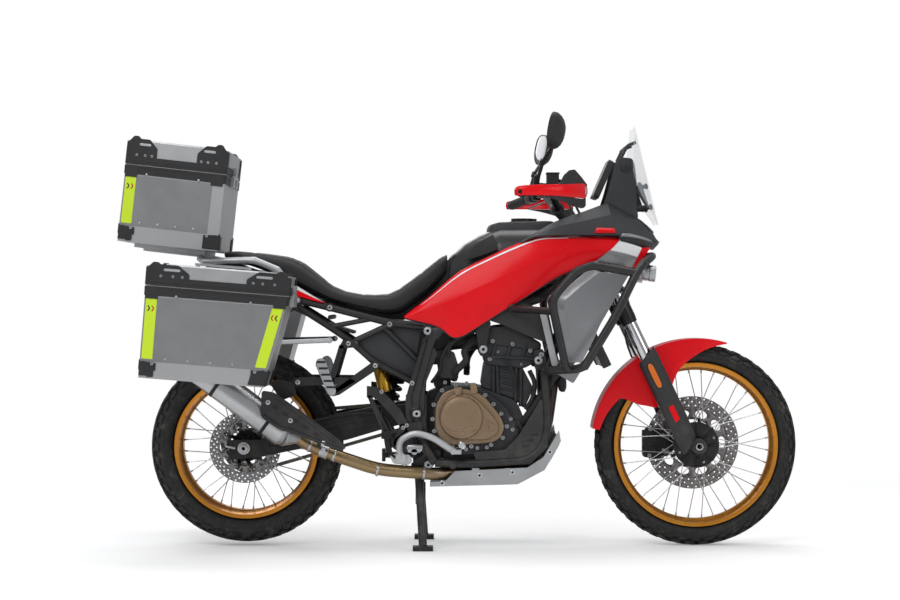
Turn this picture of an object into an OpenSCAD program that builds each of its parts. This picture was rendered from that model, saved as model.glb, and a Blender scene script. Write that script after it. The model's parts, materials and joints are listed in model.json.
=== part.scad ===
// Adventure motorcycle on its centre stand, with three hinged aluminium cases.
// Front of the machine is +X, its left side is +Y, and the floor is z = 0.

/* [Chassis] */
// Swingarm pivot to the front axle, measured along the floor
front_centre = 950; // [900:10:1150]
// Swingarm pivot to the rear axle, measured along the floor
swingarm_length = 581; // [560:1:700]
// Height of the swingarm pivot
pivot_z = 458; // [440:1:480]
// Angle of the steering head from the vertical
rake = 25.6; // [24:0.1:27]
// Distance of the fork legs from the centre plane
fork_spread = 105; // [100:1:126]
// Distance of the fork legs in front of the steering axis
fork_offset = 28; // [24:1:32]
// Distance of the front axle in front of the fork legs
axle_lead = 30; // [24:1:34]

/* [Wheels] */
// Radius of the front tyre over its blocks
front_tyre_r = 345; // [335:1:350]
// Width of the front tyre
front_tyre_w = 90; // [80:1:108]
// Radius of the front rim flange
front_rim_r = 280; // [270:1:285]
// Radius of the rear tyre over its blocks
rear_tyre_r = 328; // [310:1:332]
// Width of the rear tyre
rear_tyre_w = 150; // [125:1:180]
// Radius of the rear rim flange
rear_rim_r = 245; // [235:1:250]
// Wall of both rims
rim_wall = 5; // [4:0.5:8]
// Number of spokes in each wheel
spoke_count = 32; // [24:8:40]
// Radius of a spoke
spoke_r = 2.2; // [1.8:0.1:2.6]
// Gap under the rear tyre when the machine is on its stand
stand_lift = 12; // [8:1:20]
// Radius of the hole through each axle
axle_bore_r = 8.5; // [6:0.5:9]
// Radius of the axles
axle_r = 12.5; // [11:0.5:14]
// Radius of the front brake disc
front_disc_r = 160; // [140:1:165]
// Radius of the rear brake disc
rear_disc_r = 120; // [100:1:125]
// Thickness of the brake discs
disc_t = 5; // [4:0.5:6]

/* [Frame and fork] */
// Radius of the main frame tubes
frame_tube_r = 16; // [13:0.5:18]
// Radius of the subframe tubes
sub_tube_r = 12; // [10:0.5:14]
// Radius of the crash bar tubes
bar_tube_r = 14; // [11:0.5:15]
// Radius of the upper fork tubes
fork_tube_r = 27; // [24:0.5:29]
// Radius of the chromed fork stanchions
stanchion_r = 21.5; // [18:0.5:24]
// Outer radius of the steering head
head_r = 33; // [30:0.5:36]
// Radius of the steering stem
stem_r = 20; // [15:0.5:22]
// Radius of the handlebar where the accessories clamp
handlebar_r = 14; // [11:0.5:16]
// Radius of the thin ends of the handlebar
bar_end_r = 11; // [9:0.5:12]
// Half of the handlebar's width over the grips
bar_half_w = 440; // [400:5:460]

/* [Engine] */
// Half width of the crankcase
crankcase_half_w = 148; // [130:1:150]
// Half width of the cylinder block
cylinder_half_w = 130; // [110:1:140]
// Radius of the exhaust pipes
pipe_r = 21; // [17:0.5:22]
// Radius of the muffler
muffler_r = 48; // [42:1:50]

/* [Cases] */
// Sheet thickness of the three cases
case_wall = 2; // [1.5:0.1:3]
// Length of the top case
top_case_l = 334; // [300:1:340]
// Width of the top case
top_case_w = 400; // [340:1:460]
// Height of the top case's body
top_case_h = 258; // [215:1:300]
// Height of the top case's lid
top_lid_h = 78; // [60:1:94]
// Length of a pannier at its lid
pannier_l = 455; // [420:1:470]
// How much shorter a pannier is at its floor
pannier_taper = 57; // [0:1:80]
// Depth of a pannier, from its inner to its outer side
pannier_w = 230; // [190:1:276]
// Height of a pannier's body
pannier_h = 295; // [250:1:300]
// Height of a pannier's lid
pannier_lid_h = 62; // [50:1:75]
// Distance of the panniers' inner sides from the centre plane
pannier_inner_y = 260; // [260:1:290]

/* [Stands] */
// Radius of the centre stand tubes
stand_tube_r = 14; // [11:0.5:15]
// Half of the distance between the stand's feet
stand_foot_y = 160; // [150:1:190]
// Length of the side stand
side_stand_l = 245; // [210:1:255]

/* [Hidden] */
$fn = 48;

// Clearances: between curved pieces of one body, flat pieces, and pieces that move
fit = 0.3;
seat_gap = 0.5;
moving_gap = 5;

pivot_x = -145;
nominal_centre = 950;
front_axle_x = pivot_x + front_centre;
front_axle_z = front_tyre_r;
rear_axle_x = pivot_x - swingarm_length;
rear_axle_z = rear_tyre_r + stand_lift;

// Bodywork ahead of the pivot follows the front wheel
function bx(x) = x <= pivot_x ? x : pivot_x + (x - pivot_x) * front_centre / nominal_centre;
function at(p) = [bx(p.x), p.y, p.z];
function side(p, s) = [p.x, s * p.y, p.z];

// Steering axis: head_drop below the steering datum lies the front axle
head_drop = 486;
trail_offset = fork_offset + axle_lead;
steer_x = front_axle_x - trail_offset * cos(rake) - head_drop * sin(rake);
steer_z = front_axle_z - trail_offset * sin(rake) + head_drop * cos(rake);
lower_clamp_z = [96, 138];
upper_clamp_z = [318, 342];
head_z = [lower_clamp_z[1] + moving_gap, upper_clamp_z[0] - moving_gap];
fork_top_z = 352;

// Maps a point of the steered frame to the machine's frame
function steered(p) = [steer_x + p.x * cos(rake) - p.z * sin(rake), p.y,
    steer_z + p.x * sin(rake) + p.z * cos(rake)];

function unit(v) = v / norm(v);

module steer_frame() {
    translate([steer_x, 0, steer_z]) rotate([0, -rake, 0]) children();
}

// Points local z along a direction
module aim(p, dir) {
    translate(p) rotate([0, acos(dir.z / norm(dir)), atan2(dir.y, dir.x)]) children();
}

// Straight round bar between two points
module strut(p, q, r) {
    aim(p, q - p) cylinder(h = norm(q - p), r = r);
}

// Carries a ring of points along d onto the plane through c with normal n
function slide(ring, c, n, d) = [for (p = ring) p + d * (((c - p) * n) / (d * n))];
// A direction square to d
function across(d) = unit(cross(d, abs(d.y) < 0.9 ? [0, 1, 0] : [1, 0, 0]));

// Bent tube through a list of points, mitred at each bend
module bent_tube(pts, r, sides = 12) {
    last = len(pts) - 1;
    dirs = [for (i = [0:last - 1]) unit(pts[i + 1] - pts[i])];
    cuts = [for (i = [0:last]) i == 0 ? dirs[0] : i == last ? dirs[last - 1]
        : unit(dirs[i - 1] + dirs[i])];
    u = across(dirs[0]);
    v = cross(dirs[0], u);
    start = [for (k = [0:sides - 1]) pts[0] + r * (u * cos(360 * k / sides) + v * sin(360 * k / sides))];
    rings = [for (i = 0, ring = start; i <= last;
        ring = i < last ? slide(ring, pts[i + 1], cuts[i + 1], dirs[i]) : ring, i = i + 1) ring];
    polyhedron([for (ring = rings, p = ring) p], concat(
        [[for (k = [0:sides - 1]) k], [for (k = [0:sides - 1]) last * sides + sides - 1 - k]],
        [for (i = [0:last - 1], k = [0:sides - 1]) let (j = (k + 1) % sides)
            [i * sides + k, (i + 1) * sides + k, (i + 1) * sides + j, i * sides + j]]));
}

// Side view outline [x, z] given a thickness from y0 to y1
module plate(pts, y0, y1) {
    translate([0, y1, 0]) rotate([90, 0, 0]) linear_extrude(y1 - y0)
        polygon([for (p = pts) [bx(p.x), p.y]]);
}

module both_sides() {
    children();
    mirror([0, 1, 0]) children();
}

// Round piece about an axle: local z becomes +y
module on_axle(x, z) {
    translate([x, 0, z]) rotate([-90, 0, 0]) children();
}

module tube_y(r, bore, y0, y1) {
    translate([0, 0, y0]) difference() {
        cylinder(h = y1 - y0, r = r);
        translate([0, 0, -1]) cylinder(h = y1 - y0 + 2, r = bore);
    }
}

// ---- Wheels ----

// Half tyre section as [radius, height above the wheel plane]; the bead is as wide as the rim
function tyre_half(r, w, rim_r) = let (h = w / 2, bead = rim_r - rim_seat, depth = r - rim_r)
    [[bead, rim_half(w) - 4 - fit], [rim_r + 3, rim_half(w) - 4 - fit],
        [rim_r + 0.22 * depth, 0.9 * h], [rim_r + 0.5 * depth, h], [r - 0.22 * depth, 0.93 * h],
        [r - 0.08 * depth, 0.62 * h], [r - 0.02 * depth, 0.3 * h], [r, 0]];
rim_seat = 12;
function rim_half(w) = 0.36 * w + 4;

module tyre(r, w, rim_r) {
    up = tyre_half(r, w, rim_r);
    down = [for (i = [len(up) - 2:-1:0]) [up[i].x, -up[i].y]];
    rotate_extrude($fn = 96) polygon(concat(up, down));
}

// Drop-centre rim: a trough with a flange at each edge
module rim(w, rim_r) {
    h = rim_half(w);
    seat = rim_r - rim_seat - fit;
    well = seat - 10;
    outer = [[rim_r, h], [rim_r, h - 4], [seat, h - 4], [seat, h - 12], [well, h - 20]];
    inner = [[well - rim_wall, 0.45 * h], [seat - rim_wall, h]];
    mirrored = [for (i = [len(outer) - 1:-1:0]) [outer[i].x, -outer[i].y]];
    back = [[inner[1].x, -inner[1].y], [inner[0].x, -inner[0].y]];
    rotate_extrude($fn = 96) polygon(concat(outer, mirrored, back, inner));
}

// Crossed spokes from two hub flanges to the rim's well
module spokes(hub_r, flange_y, rim_in, rim_y) {
    step = 360 / spoke_count;
    reach = 26;
    for (i = [0:spoke_count - 1]) {
        top = i % 2 == 0 ? 1 : -1;
        lean = i % 4 < 2 ? 1 : -1;
        a0 = i * step - lean * reach;
        layer = flange_y + lean * (spoke_r + 0.6);
        a1 = i * step;
        strut([hub_r * cos(a0), hub_r * sin(a0), top * layer],
            [rim_in * cos(a1), rim_in * sin(a1), top * rim_y], spoke_r, $fn = 12);
    }
}

front_hub_half = 58;
rear_hub_half = 62;
front_disc_y = 68;
rear_disc_y = -(rear_tyre_w / 2 + 16);
sprocket_y = rear_tyre_w / 2 + 18;
sprocket_r = 98;
sprocket_t = 7;
hub_bore_r = axle_r + fit;
hub_barrel_r = 32;
hub_flange_r = 46;
spoke_end_gap = 1;

module front_wheel_frame() {
    on_axle(front_axle_x, front_axle_z) children();
}

module rear_wheel_frame() {
    on_axle(rear_axle_x, rear_axle_z) children();
}

module front_tyre() {
    color("#202020") front_wheel_frame() tyre(front_tyre_r, front_tyre_w, front_rim_r);
}

module rear_tyre() {
    color("#202020") rear_wheel_frame() tyre(rear_tyre_r, rear_tyre_w, rear_rim_r);
}

module front_rim() {
    color("#c8761f") front_wheel_frame() rim(front_tyre_w, front_rim_r);
}

module rear_rim() {
    color("#c8761f") rear_wheel_frame() rim(rear_tyre_w, rear_rim_r);
}

// Brake disc ring on six arms, about local z
module brake_disc(r, hub_r) {
    band = 0.28 * r;
    tube_y(r, r - band, -disc_t / 2, disc_t / 2);
    difference() {
        union() {
            for (a = [0:60:300])
                rotate([0, 0, a]) translate([0, -11, -disc_t / 2 + 0.5])
                    cube([r - band + 3, 22, disc_t - 1]);
            translate([0, 0, -disc_t / 2 + 0.5]) cylinder(h = disc_t - 1, r = hub_r + 8);
        }
        translate([0, 0, -disc_t]) cylinder(h = 2 * disc_t, r = hub_r);
    }
}

// Barrel, two spoke flanges and the spokes, bored for the axle
module hub(half, flange_y, rim_in) {
    difference() {
        union() {
            translate([0, 0, -half]) cylinder(h = 2 * half, r = hub_barrel_r);
            for (s = [-1, 1])
                translate([0, 0, s * flange_y - 6]) cylinder(h = 12, r = hub_flange_r);
            spokes(hub_flange_r - 5, flange_y, rim_in, 6);
        }
        translate([0, 0, -half - 1]) cylinder(h = 2 * half + 2, r = hub_bore_r);
    }
}

module front_hub() {
    color("#2a2a2c") front_wheel_frame() {
        hub(front_hub_half, 34, front_rim_r - rim_seat - 10 - rim_wall - spoke_end_gap);
        // Round cover on the right side of the hub
        tube_y(80, hub_bore_r, -front_hub_half - 4, -front_hub_half + 10);
        translate([0, 0, front_disc_y]) brake_disc(front_disc_r, hub_barrel_r - 4);
        // Carrier between the barrel and the disc
        tube_y(hub_barrel_r + 6, hub_bore_r, front_hub_half - 6, front_disc_y + disc_t / 2 + 2);
    }
}

module rear_hub() {
    color("#2a2a2c") rear_wheel_frame() {
        hub(rear_hub_half, 38, rear_rim_r - rim_seat - 10 - rim_wall - spoke_end_gap);
        translate([0, 0, rear_disc_y]) brake_disc(rear_disc_r, hub_barrel_r - 4);
        tube_y(hub_barrel_r + 6, hub_bore_r, rear_disc_y - disc_t / 2 - 2, -rear_hub_half + 6);
        // Sprocket and its carrier
        tube_y(64, hub_bore_r, rear_hub_half - 6, sprocket_y);
        tube_y(sprocket_r, hub_bore_r, sprocket_y - sprocket_t / 2, sprocket_y + sprocket_t / 2);
    }
}

// ---- Steered front end ----

axle_half = fork_spread + fork_tube_r + 1;
leg_cast_r = 28;
leg_cast_z = [-head_drop + 30, -335];

// Both legs, their clamps, the stem and the hollow axle
module fork() {
    color("#9a9a9a") steer_frame() {
        for (s = [-1, 1]) translate([fork_offset, s * fork_spread, 0]) {
            translate([0, 0, lower_clamp_z[0] - 20])
                cylinder(h = fork_top_z - lower_clamp_z[0] + 20, r = fork_tube_r);
            translate([0, 0, leg_cast_z[1]])
                cylinder(h = lower_clamp_z[0] - 20 - leg_cast_z[1], r = stanchion_r);
            difference() {
                union() {
                    translate([0, 0, leg_cast_z[0]])
                        cylinder(h = leg_cast_z[1] - leg_cast_z[0], r = leg_cast_r);
                    translate([axle_lead, 18, -head_drop]) rotate([90, 0, 0])
                        cylinder(h = 36, r = 26);
                    translate([-8, -17, -head_drop + 4]) cube([28, 34, 60]);
                }
                translate([axle_lead, 30, -head_drop]) rotate([90, 0, 0])
                    cylinder(h = 60, r = axle_r + 0.1);
            }
        }
        for (z = [lower_clamp_z, upper_clamp_z]) fork_clamp(z);
        translate([0, 0, lower_clamp_z[0]])
            cylinder(h = upper_clamp_z[1] - lower_clamp_z[0], r = stem_r);
        translate([trail_offset, 0, -head_drop]) rotate([-90, 0, 0])
            tube_y(axle_r, axle_bore_r, -axle_half, axle_half);
    }
}

// Clamp plate joining the legs to the stem
module fork_clamp(z) {
    translate([0, 0, z[0]]) difference() {
        union() {
            for (s = [-1, 1]) translate([fork_offset, s * fork_spread, 0])
                cylinder(h = z[1] - z[0], r = fork_tube_r + 8);
            translate([-stem_r - 4, -fork_spread, 0])
                cube([fork_offset + stem_r + 16, 2 * fork_spread, z[1] - z[0]]);
        }
        for (s = [-1, 1]) translate([fork_offset, s * fork_spread, -1])
            cylinder(h = z[1] - z[0] + 2, r = fork_tube_r - 1);
        translate([0, 0, -1]) cylinder(h = z[1] - z[0] + 2, r = stem_r - 1);
    }
}

bar_centre = [333, 0, 1150];
bar_knee = [333, 55, 1150];
bar_rise = [296, 165, 1214];
bar_tip = [194, bar_half_w - 10, 1184];
grip_r = 17;
grip_start = 0.52;

// Handlebar, its risers, grips, levers and switches
module handlebar() {
    centre = at(bar_centre);
    knee = at(bar_knee);
    tip_dir = unit(at(bar_tip) - at(bar_rise));
    tip = at(bar_tip);
    color("#262626") {
        translate([centre.x, -knee.y, centre.z]) rotate([-90, 0, 0])
            cylinder(h = 2 * knee.y, r = handlebar_r);
        for (s = [-1, 1]) {
            strut(side(knee, s), side(at(bar_rise), s), handlebar_r - 1);
            translate(side(knee, s)) sphere(r = handlebar_r + 0.2);
            translate(side(at(bar_rise), s)) sphere(r = handlebar_r - 0.6);
            strut(side(at(bar_rise), s), side(tip, s), bar_end_r);
            grip_at = at(bar_rise) + tip_dir * norm(tip - at(bar_rise)) * grip_start;
            strut(side(grip_at, s), side(tip, s), grip_r);
            // Bar end weight
            strut(side(tip, s), side(tip + tip_dir * 12, s), grip_r - 2);
            // Switch housing and lever perch
            switch_at = at(bar_rise) + tip_dir * norm(tip - at(bar_rise)) * (grip_start - 0.2);
            strut(side(switch_at, s), side(grip_at, s), grip_r + 5);
            lever_from = switch_at + [38, 8, -4];
            lever_to = tip + [62, -18, -12];
            strut(side(switch_at, s), side(lever_from, s), 9);
            strut(side(lever_from, s), side(lever_to, s), 6);
            translate(side(lever_to, s)) sphere(r = 8);
        }
        // Risers from the upper clamp
        for (y = [-34, 34])
            strut(steered([0, y, upper_clamp_z[1] + 3.2]), [centre.x, y, centre.z], 15);
    }
}

guard_t = 6;
guard_low = 40;
guard_high = 34;
guard_inner = [404, 318, 1174];
guard_corner = [330, 430, 1178];

// Red shell in front of each hand, from the bar end to a stay on the bar
module hand_guards() {
    tip_dir = unit(at(bar_tip) - at(bar_rise));
    guard_end = at(bar_tip) + tip_dir * 26;
    // Plan view of the shell: its bar end, corner and inner end
    guard_a = [guard_end.x - 14, guard_end.y + 4];
    guard_b = [at(guard_corner).x, guard_corner.y];
    guard_c = [at(guard_inner).x, guard_inner.y];
    guard_thick = [guard_t * 0.5, guard_t * 0.9];
    color("#c41522") both_sides() {
        translate([0, 0, guard_end.z - guard_low]) linear_extrude(guard_low + guard_high)
            polygon([guard_a, guard_b, guard_c, guard_c - guard_thick, guard_b - guard_thick * 1.2,
                guard_a - [guard_t * 1.2, 0]]);
        // Bolt into the bar end, and a stay back to the bar
        strut(at(bar_tip) + tip_dir * 12.5, guard_end, 6);
        strut(at(guard_inner) + [0, 0, 32], at(guard_stay_knee), 5);
        strut(at(guard_stay_knee), at(guard_stay_foot), 6);
        translate(at(guard_stay_knee)) sphere(r = 6.2);
    }
}
guard_stay_knee = [300, 202, 1242];
guard_stay_foot = [294, 192, 1226];

mirror_foot = [249, 292, 1199.6];
mirror_knee = [270, 318, 1290];
mirror_centre = [312, 400, 1384];

// Mirror head on a bent stalk, each side
module mirrors() {
    color("#242424") both_sides() {
        strut(at(mirror_foot) + [0, 0, grip_r + 12], at(mirror_knee), 6);
        strut(at(mirror_knee), at(mirror_centre) - [0, 0, 30], 6);
        translate(at(mirror_knee)) sphere(r = 7);
        translate(at(mirror_centre)) rotate([8, 14, 0]) resize([44, 150, 118]) sphere(r = 50, $fn = 32);
        // Clamp foot on the lever perch
        translate(at(mirror_foot) + [0, 0, grip_r + 6.6]) cylinder(h = 12, r = 11);
    }
}

fender_gap = 12;
fender_t = 4;
fender_half_w = 66;
// The hugger's ends, as angles up from straight ahead
fender_front = 74;
fender_back = 171;

// Hugger over the front tyre, with cheeks to the fork legs
module front_fender() {
    inner = front_tyre_r + fender_gap;
    color("#c41522") {
        front_wheel_frame() {
            rotate([0, 0, -fender_back]) rotate_extrude(angle = fender_back - fender_front, $fn = 96)
                polygon([[inner, -fender_half_w + fender_t], [inner, fender_half_w - fender_t],
                    [inner - 62, fender_half_w - fender_t], [inner - 62, fender_half_w],
                    [inner + fender_t, fender_half_w], [inner + fender_t, -fender_half_w],
                    [inner - 62, -fender_half_w], [inner - 62, -fender_half_w + fender_t]]);
        }
        // Cheek brackets reach the fork legs
        steer_frame() for (s = [-1, 1]) {
            y_in = fender_half_w - 1;
            y_out = fork_spread - stanchion_r - 0.4;
            translate([fork_offset - 34, min(s * y_in, s * y_out), -250])
                cube([68, y_out - y_in, 60]);
        }
    }
}

guard_gap = 0.4;

// Half tube guards over the lower fork legs
module fork_guards() {
    color("#3a3a38") steer_frame() for (s = [-1, 1])
        translate([fork_offset, s * fork_spread, 0]) {
            inner = leg_cast_r + guard_gap;
            intersection() {
                translate([0, 0, leg_cast_z[0] + 40]) difference() {
                    cylinder(h = 300, r = inner + 4);
                    translate([0, 0, -1]) cylinder(h = 302, r = inner);
                }
                translate([-5, s > 0 ? 4 : -64, leg_cast_z[0]]) cube([60, 60, 400]);
            }
        }
}

caliper_w = 52;

// Radial caliper on the left leg, over the disc's rear edge
module front_caliper() {
    slot = disc_t + 3;
    disc_x = front_axle_x - front_disc_r;
    y0 = front_disc_y - caliper_w / 2;
    color("#2b2b2b") {
        difference() {
            translate([disc_x - 14, y0, front_axle_z - 55]) cube([62, caliper_w - 14, 112]);
            translate([disc_x - 4, front_disc_y - slot / 2, front_axle_z - 60])
                cube([80, slot, 130]);
        }
        // Arm forward to the leg casting
        difference() {
            translate([disc_x + 40, front_disc_y + slot / 2, front_axle_z + 20])
                cube([70, 9, 34]);
            translate([0, fork_spread, 0]) steer_frame_leg_void();
        }
    }
}

module steer_frame_leg_void() {
    steer_frame() translate([fork_offset, 0, -600]) cylinder(h = 700, r = leg_cast_r + guard_gap);
}

// ---- Frame ----

neck = [-62, 30, 232];
down_start = [-78, 30, 176];
cradle_y = crankcase_half_w + frame_tube_r - 2 + seat_gap;
post_y = 150;
arm_in = rear_tyre_w / 2 + 30;
arm_t = 26;

// Bored tube that carries the steering stem
module steering_head() {
    color("#1e1e1e") steer_frame() translate([0, 0, head_z[0]]) difference() {
        cylinder(h = head_z[1] - head_z[0], r = head_r);
        translate([0, 0, -1]) cylinder(h = head_z[1] - head_z[0] + 2, r = stem_r + fit);
    }
}

spar_mid = [262, 118, 842];
spar_rear = [60, 148, 778];
post_top = [-88, post_y, 735];
post_mid = [-150, post_y, 512];
post_low = [-142, post_y, 392];
cradle_rear = [-84, cradle_y, 294];

// Spars, rear posts, down tubes and cradle
module main_frame() {
    r = frame_tube_r;
    low_r = frame_tube_r - 2;
    color("#1e1e1e") difference() {
        union() {
            both_sides() {
                bent_tube([steered(neck), at(spar_mid), at(spar_rear), at(post_top),
                    at(post_mid), at(post_low), at(cradle_rear)], r);
                bent_tube([steered(down_start), at([330, 104, 690]), at([281, cradle_y, 590]),
                    at([293, cradle_y, 430]), at([279, cradle_y, 350]), at([229, cradle_y, 302]),
                    at([31, cradle_y, 290]), at(cradle_rear)], low_r);
                // Plate that carries the centre stand's pivot
                plate([[-66, 330], [-96, 340], [stand_x - 24, stand_z + 26],
                    [stand_x - 20, stand_z - 18], [stand_x + 20, stand_z - 18], [-66, 310]],
                    stand_bracket_y, stand_bracket_y + 8);
                strut([-98, stand_bracket_y + 2, 322], [-98, post_y + 8, 322], 9);
                // Plate that carries the swingarm's pivot
                plate([[-112, 520], [-112, 400], [-176, 400], [-182, 520]], arm_in + arm_t + fit,
                    post_y - 4);
                // Boss that carries the side stand
                strut(kick_at + kick_axis * (kick_r + 0.6), kick_at + kick_axis * 24, 12);
            }
            // Neck box behind the steering head
            steer_frame() translate([-96, -34, head_z[0] + 6])
                cube([76, 68, head_z[1] - head_z[0] - 12]);
            // Cross tubes
            strut([-112, -post_y, 700], [-112, post_y, 700], 13);
            strut([-150, -post_y, 512], [-150, post_y, 512], 12);
        }
        steer_frame() cylinder(h = 500, r = head_r + fit);
        swingarm_pivot_void();
        stand_pivot_void();
    }
}

module swingarm_pivot_void() {
    on_axle(pivot_x, pivot_z) cylinder(h = 600, r = 13 + fit, center = true);
}

module stand_pivot_void() {
    on_axle(stand_x, stand_z) cylinder(h = 600, r = stand_pin_r + fit, center = true);
}

sub_y = 118;
rail_pts = [[-90, sub_y, 744], [-230, sub_y, 759], [-437, sub_y, 813], [-545, sub_y, 838],
    [-700, sub_y, 905], [-850, sub_y, 952]];
strut_pts = [[-138, sub_y, 552], [-287, sub_y, 627], [-359, sub_y, 693], [-437, sub_y, 747],
    [-545, sub_y, 815]];

// Rails and struts behind the main frame
module subframe() {
    r = sub_tube_r;
    color("#1e1e1e") union() {
        both_sides() {
            bent_tube(rail_pts, r);
            bent_tube(strut_pts, r - 1);
            bent_tube([[-236, sub_y, 755], [-355, sub_y, 700]], r - 2);
            // Bosses at the joints to the rear posts
            for (p = [[-92, 734], [-136, 562]])
                on_axle(p.x, p.y) translate([0, 0, sub_y])
                    cylinder(h = post_y - frame_tube_r - seat_gap - sub_y, r = 14);
        }
        for (p = [[-400, 803], [-700, 905], [-845, 950]])
            strut([p.x, -sub_y, p.y], [p.x, sub_y, p.y], 10);
    }
}

// ---- Engine ----

crankcase_floor = 288;
case_pts = [[-56, 300], [-40, crankcase_floor], [160, crankcase_floor], [212, 330],
    [216, 440], [190, 500], [70, 545], [-56, 545]];
case_rear_pts = [[-56.5, 545], [-56.5, 300], [-104, 330], [-112, 400], [-112, 500]];
block_pts = [[72, 546], [190, 501], [216, 470], [268, 590], [274, 690], [168, 752],
    [104, 746], [70, 590]];

// Crankcase with its narrow rear, and the tilted cylinder block
module engine() {
    color("#39393b") {
        plate(case_pts, -crankcase_half_w, crankcase_half_w);
        plate(case_rear_pts, -arm_in + 6, sprocket_y - 14);
        plate(block_pts, -cylinder_half_w, cylinder_half_w);
    }
}

clutch_pts = [[-17, 540], [60, 532], [134, 433], [140, 403], [116, 368], [-23, 352],
    [-54, 372], [-54, 516]];
cover_depth = 34;

// Clutch cover on the right and generator cover on the left
module engine_covers() {
    color("#9a7648") {
        plate(clutch_pts, -crankcase_half_w - cover_depth, -crankcase_half_w - fit);
        on_axle(bx(20), 452) translate([0, 0, -crankcase_half_w - cover_depth - 12])
            cylinder(h = 12, r1 = 70, r2 = 84);
        on_axle(bx(60), 430) {
            translate([0, 0, crankcase_half_w + fit]) cylinder(h = 30, r = 74);
            translate([0, 0, crankcase_half_w + 30 + fit]) cylinder(h = 10, r1 = 66, r2 = 52);
        }
    }
}

radiator_half_w = 172;
radiator_x = [-122, -92];
radiator_z = [-104, 56];

// Tilted core behind the fork, with side tanks
module radiator() {
    color("#2a2c2e") steer_frame() {
        translate([radiator_x[0] + 4, -150, radiator_z[0]])
            cube([radiator_x[1] - radiator_x[0] - 8, 300, radiator_z[1] - radiator_z[0]]);
        for (s = [-1, 1])
            translate([radiator_x[0], s > 0 ? 150 : -radiator_half_w, radiator_z[0] - 4])
                cube([radiator_x[1] - radiator_x[0], radiator_half_w - 150,
                    radiator_z[1] - radiator_z[0] + 8]);
        // Brackets back to the down tubes
        for (y = [-78, 78])
            translate([radiator_x[0] + 6, y, 50]) rotate([0, rake - 90, 0]) cylinder(h = 47.4, r = 6);
    }
}

pipe_y = 160;
under_z = 256;
pipe_run = [[60, 0, under_z], [34, -50, under_z], [-10, -110, under_z], [-52, -136, under_z],
    [-84, -152, under_z], [-130, -pipe_y, 260], [-275, -pipe_y, 271], [-446, -pipe_y, 328],
    [-505, -pipe_y, 353.6], [-539.6, -pipe_y, 379.7]];

// Two headers down the engine's front, joined below it, and the pipe to the muffler
module exhaust_pipe() {
    header_r = pipe_r - 2;
    color("#9c7b3c") union() {
        for (s = [-1, 1])
            bent_tube([at([272.9, s * 48, 640]), at([296, s * 48, 640]), at([314, s * 48, 616]),
                at([318, s * 40, 560]),
                at([296, s * 26, 400]), at([240, s * 24, 286]), at([190, s * 22, under_z])],
                header_r);
        bent_tube(concat([at([196, 0, under_z])], [for (p = pipe_run) at(p)]), pipe_r);
    }
}

muffler_y = 185;
muffler_rise = 37;
muffler_front = [-585, 392];
muffler_l = 360;

// Silencer rising to the rear beside the wheel, with its guard
module muffler() {
    front = [muffler_front.x, -muffler_y, muffler_front.y];
    dir = [-cos(muffler_rise), 0, sin(muffler_rise)];
    pipe_end = [-550, -pipe_y, 384];
    color("#b9babb") {
        strut(front, front + dir * muffler_l, muffler_r);
        // Cone from the pipe
        aim(pipe_end, front + dir * 20 - pipe_end)
            cylinder(h = norm(front + dir * 20 - pipe_end), r1 = pipe_r + 2, r2 = muffler_r - 8);
        // End cap
        strut(front + dir * muffler_l, front + dir * (muffler_l + 16), muffler_r - 12);
    }
}

// ---- Rear suspension ----

// Two arms, their cross member and the rear axle
module swingarm() {
    arm_pts = [[pivot_x + 25, pivot_z - 30], [pivot_x - 30, pivot_z - 32], [-270, 401],
        [-380, 368], [rear_axle_x + 58, 312], [rear_axle_x - 50, 300],
        [rear_axle_x - 50, rear_axle_z + 26], [rear_axle_x + 58, 368], [-467, 444],
        [-277, 482], [pivot_x - 30, pivot_z + 30], [pivot_x + 25, pivot_z + 28]];
    color("#2c2c2e") {
        difference() {
            union() {
                plate(arm_pts, arm_in, arm_in + arm_t);
                plate(arm_pts, -arm_in - arm_t, -arm_in);
                translate([-340, -arm_in - 1, 404]) cube([100, 2 * arm_in + 2, 40]);
            }
            on_axle(rear_axle_x, rear_axle_z)
                cylinder(h = 600, r = axle_r + 0.1, center = true);
            on_axle(pivot_x, pivot_z) cylinder(h = 600, r = 13 + 0.1, center = true);
        }
        rear_wheel_frame() tube_y(axle_r, axle_bore_r, -arm_in - arm_t - 14, arm_in + arm_t + 14);
        // Pivot shaft
        on_axle(pivot_x, pivot_z) translate([0, 0, -post_y - 10]) cylinder(h = 2 * post_y + 20, r = 13);
        // Spacers between the arms and the hub
        rear_wheel_frame() {
            tube_y(22, axle_r + 0.1, sprocket_y + sprocket_t / 2 + moving_gap / 5, arm_in - fit);
            tube_y(22, axle_r + 0.1, -arm_in + fit, rear_disc_y - disc_t / 2 - 2 - moving_gap / 5);
        }
    }
}

// Caliper over the top of the rear disc, held to the arm by a bracket
module rear_caliper() {
    a = 52;
    slot = disc_t + 3;
    color("#2b2b2b") {
        strut([-640, rear_disc_y - 27, 426], [-640, rear_disc_y - 27, 382.4], 8);
        on_axle(rear_axle_x, rear_axle_z) rotate([0, 0, -a]) difference() {
        union() {
            translate([rear_disc_r - 34, -38, rear_disc_y - 18]) cube([52, 76, 38]);
            translate([rear_disc_r - 4, -30, rear_disc_y - 36]) cube([22, 50, 20]);
        }
        translate([rear_disc_r - 60, -50, rear_disc_y - slot / 2])
            cube([66, 100, slot]);
        }
    }
}

shock_low = [-268, 0, 448.3];
shock_high = [-190, 0, 690];

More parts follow.
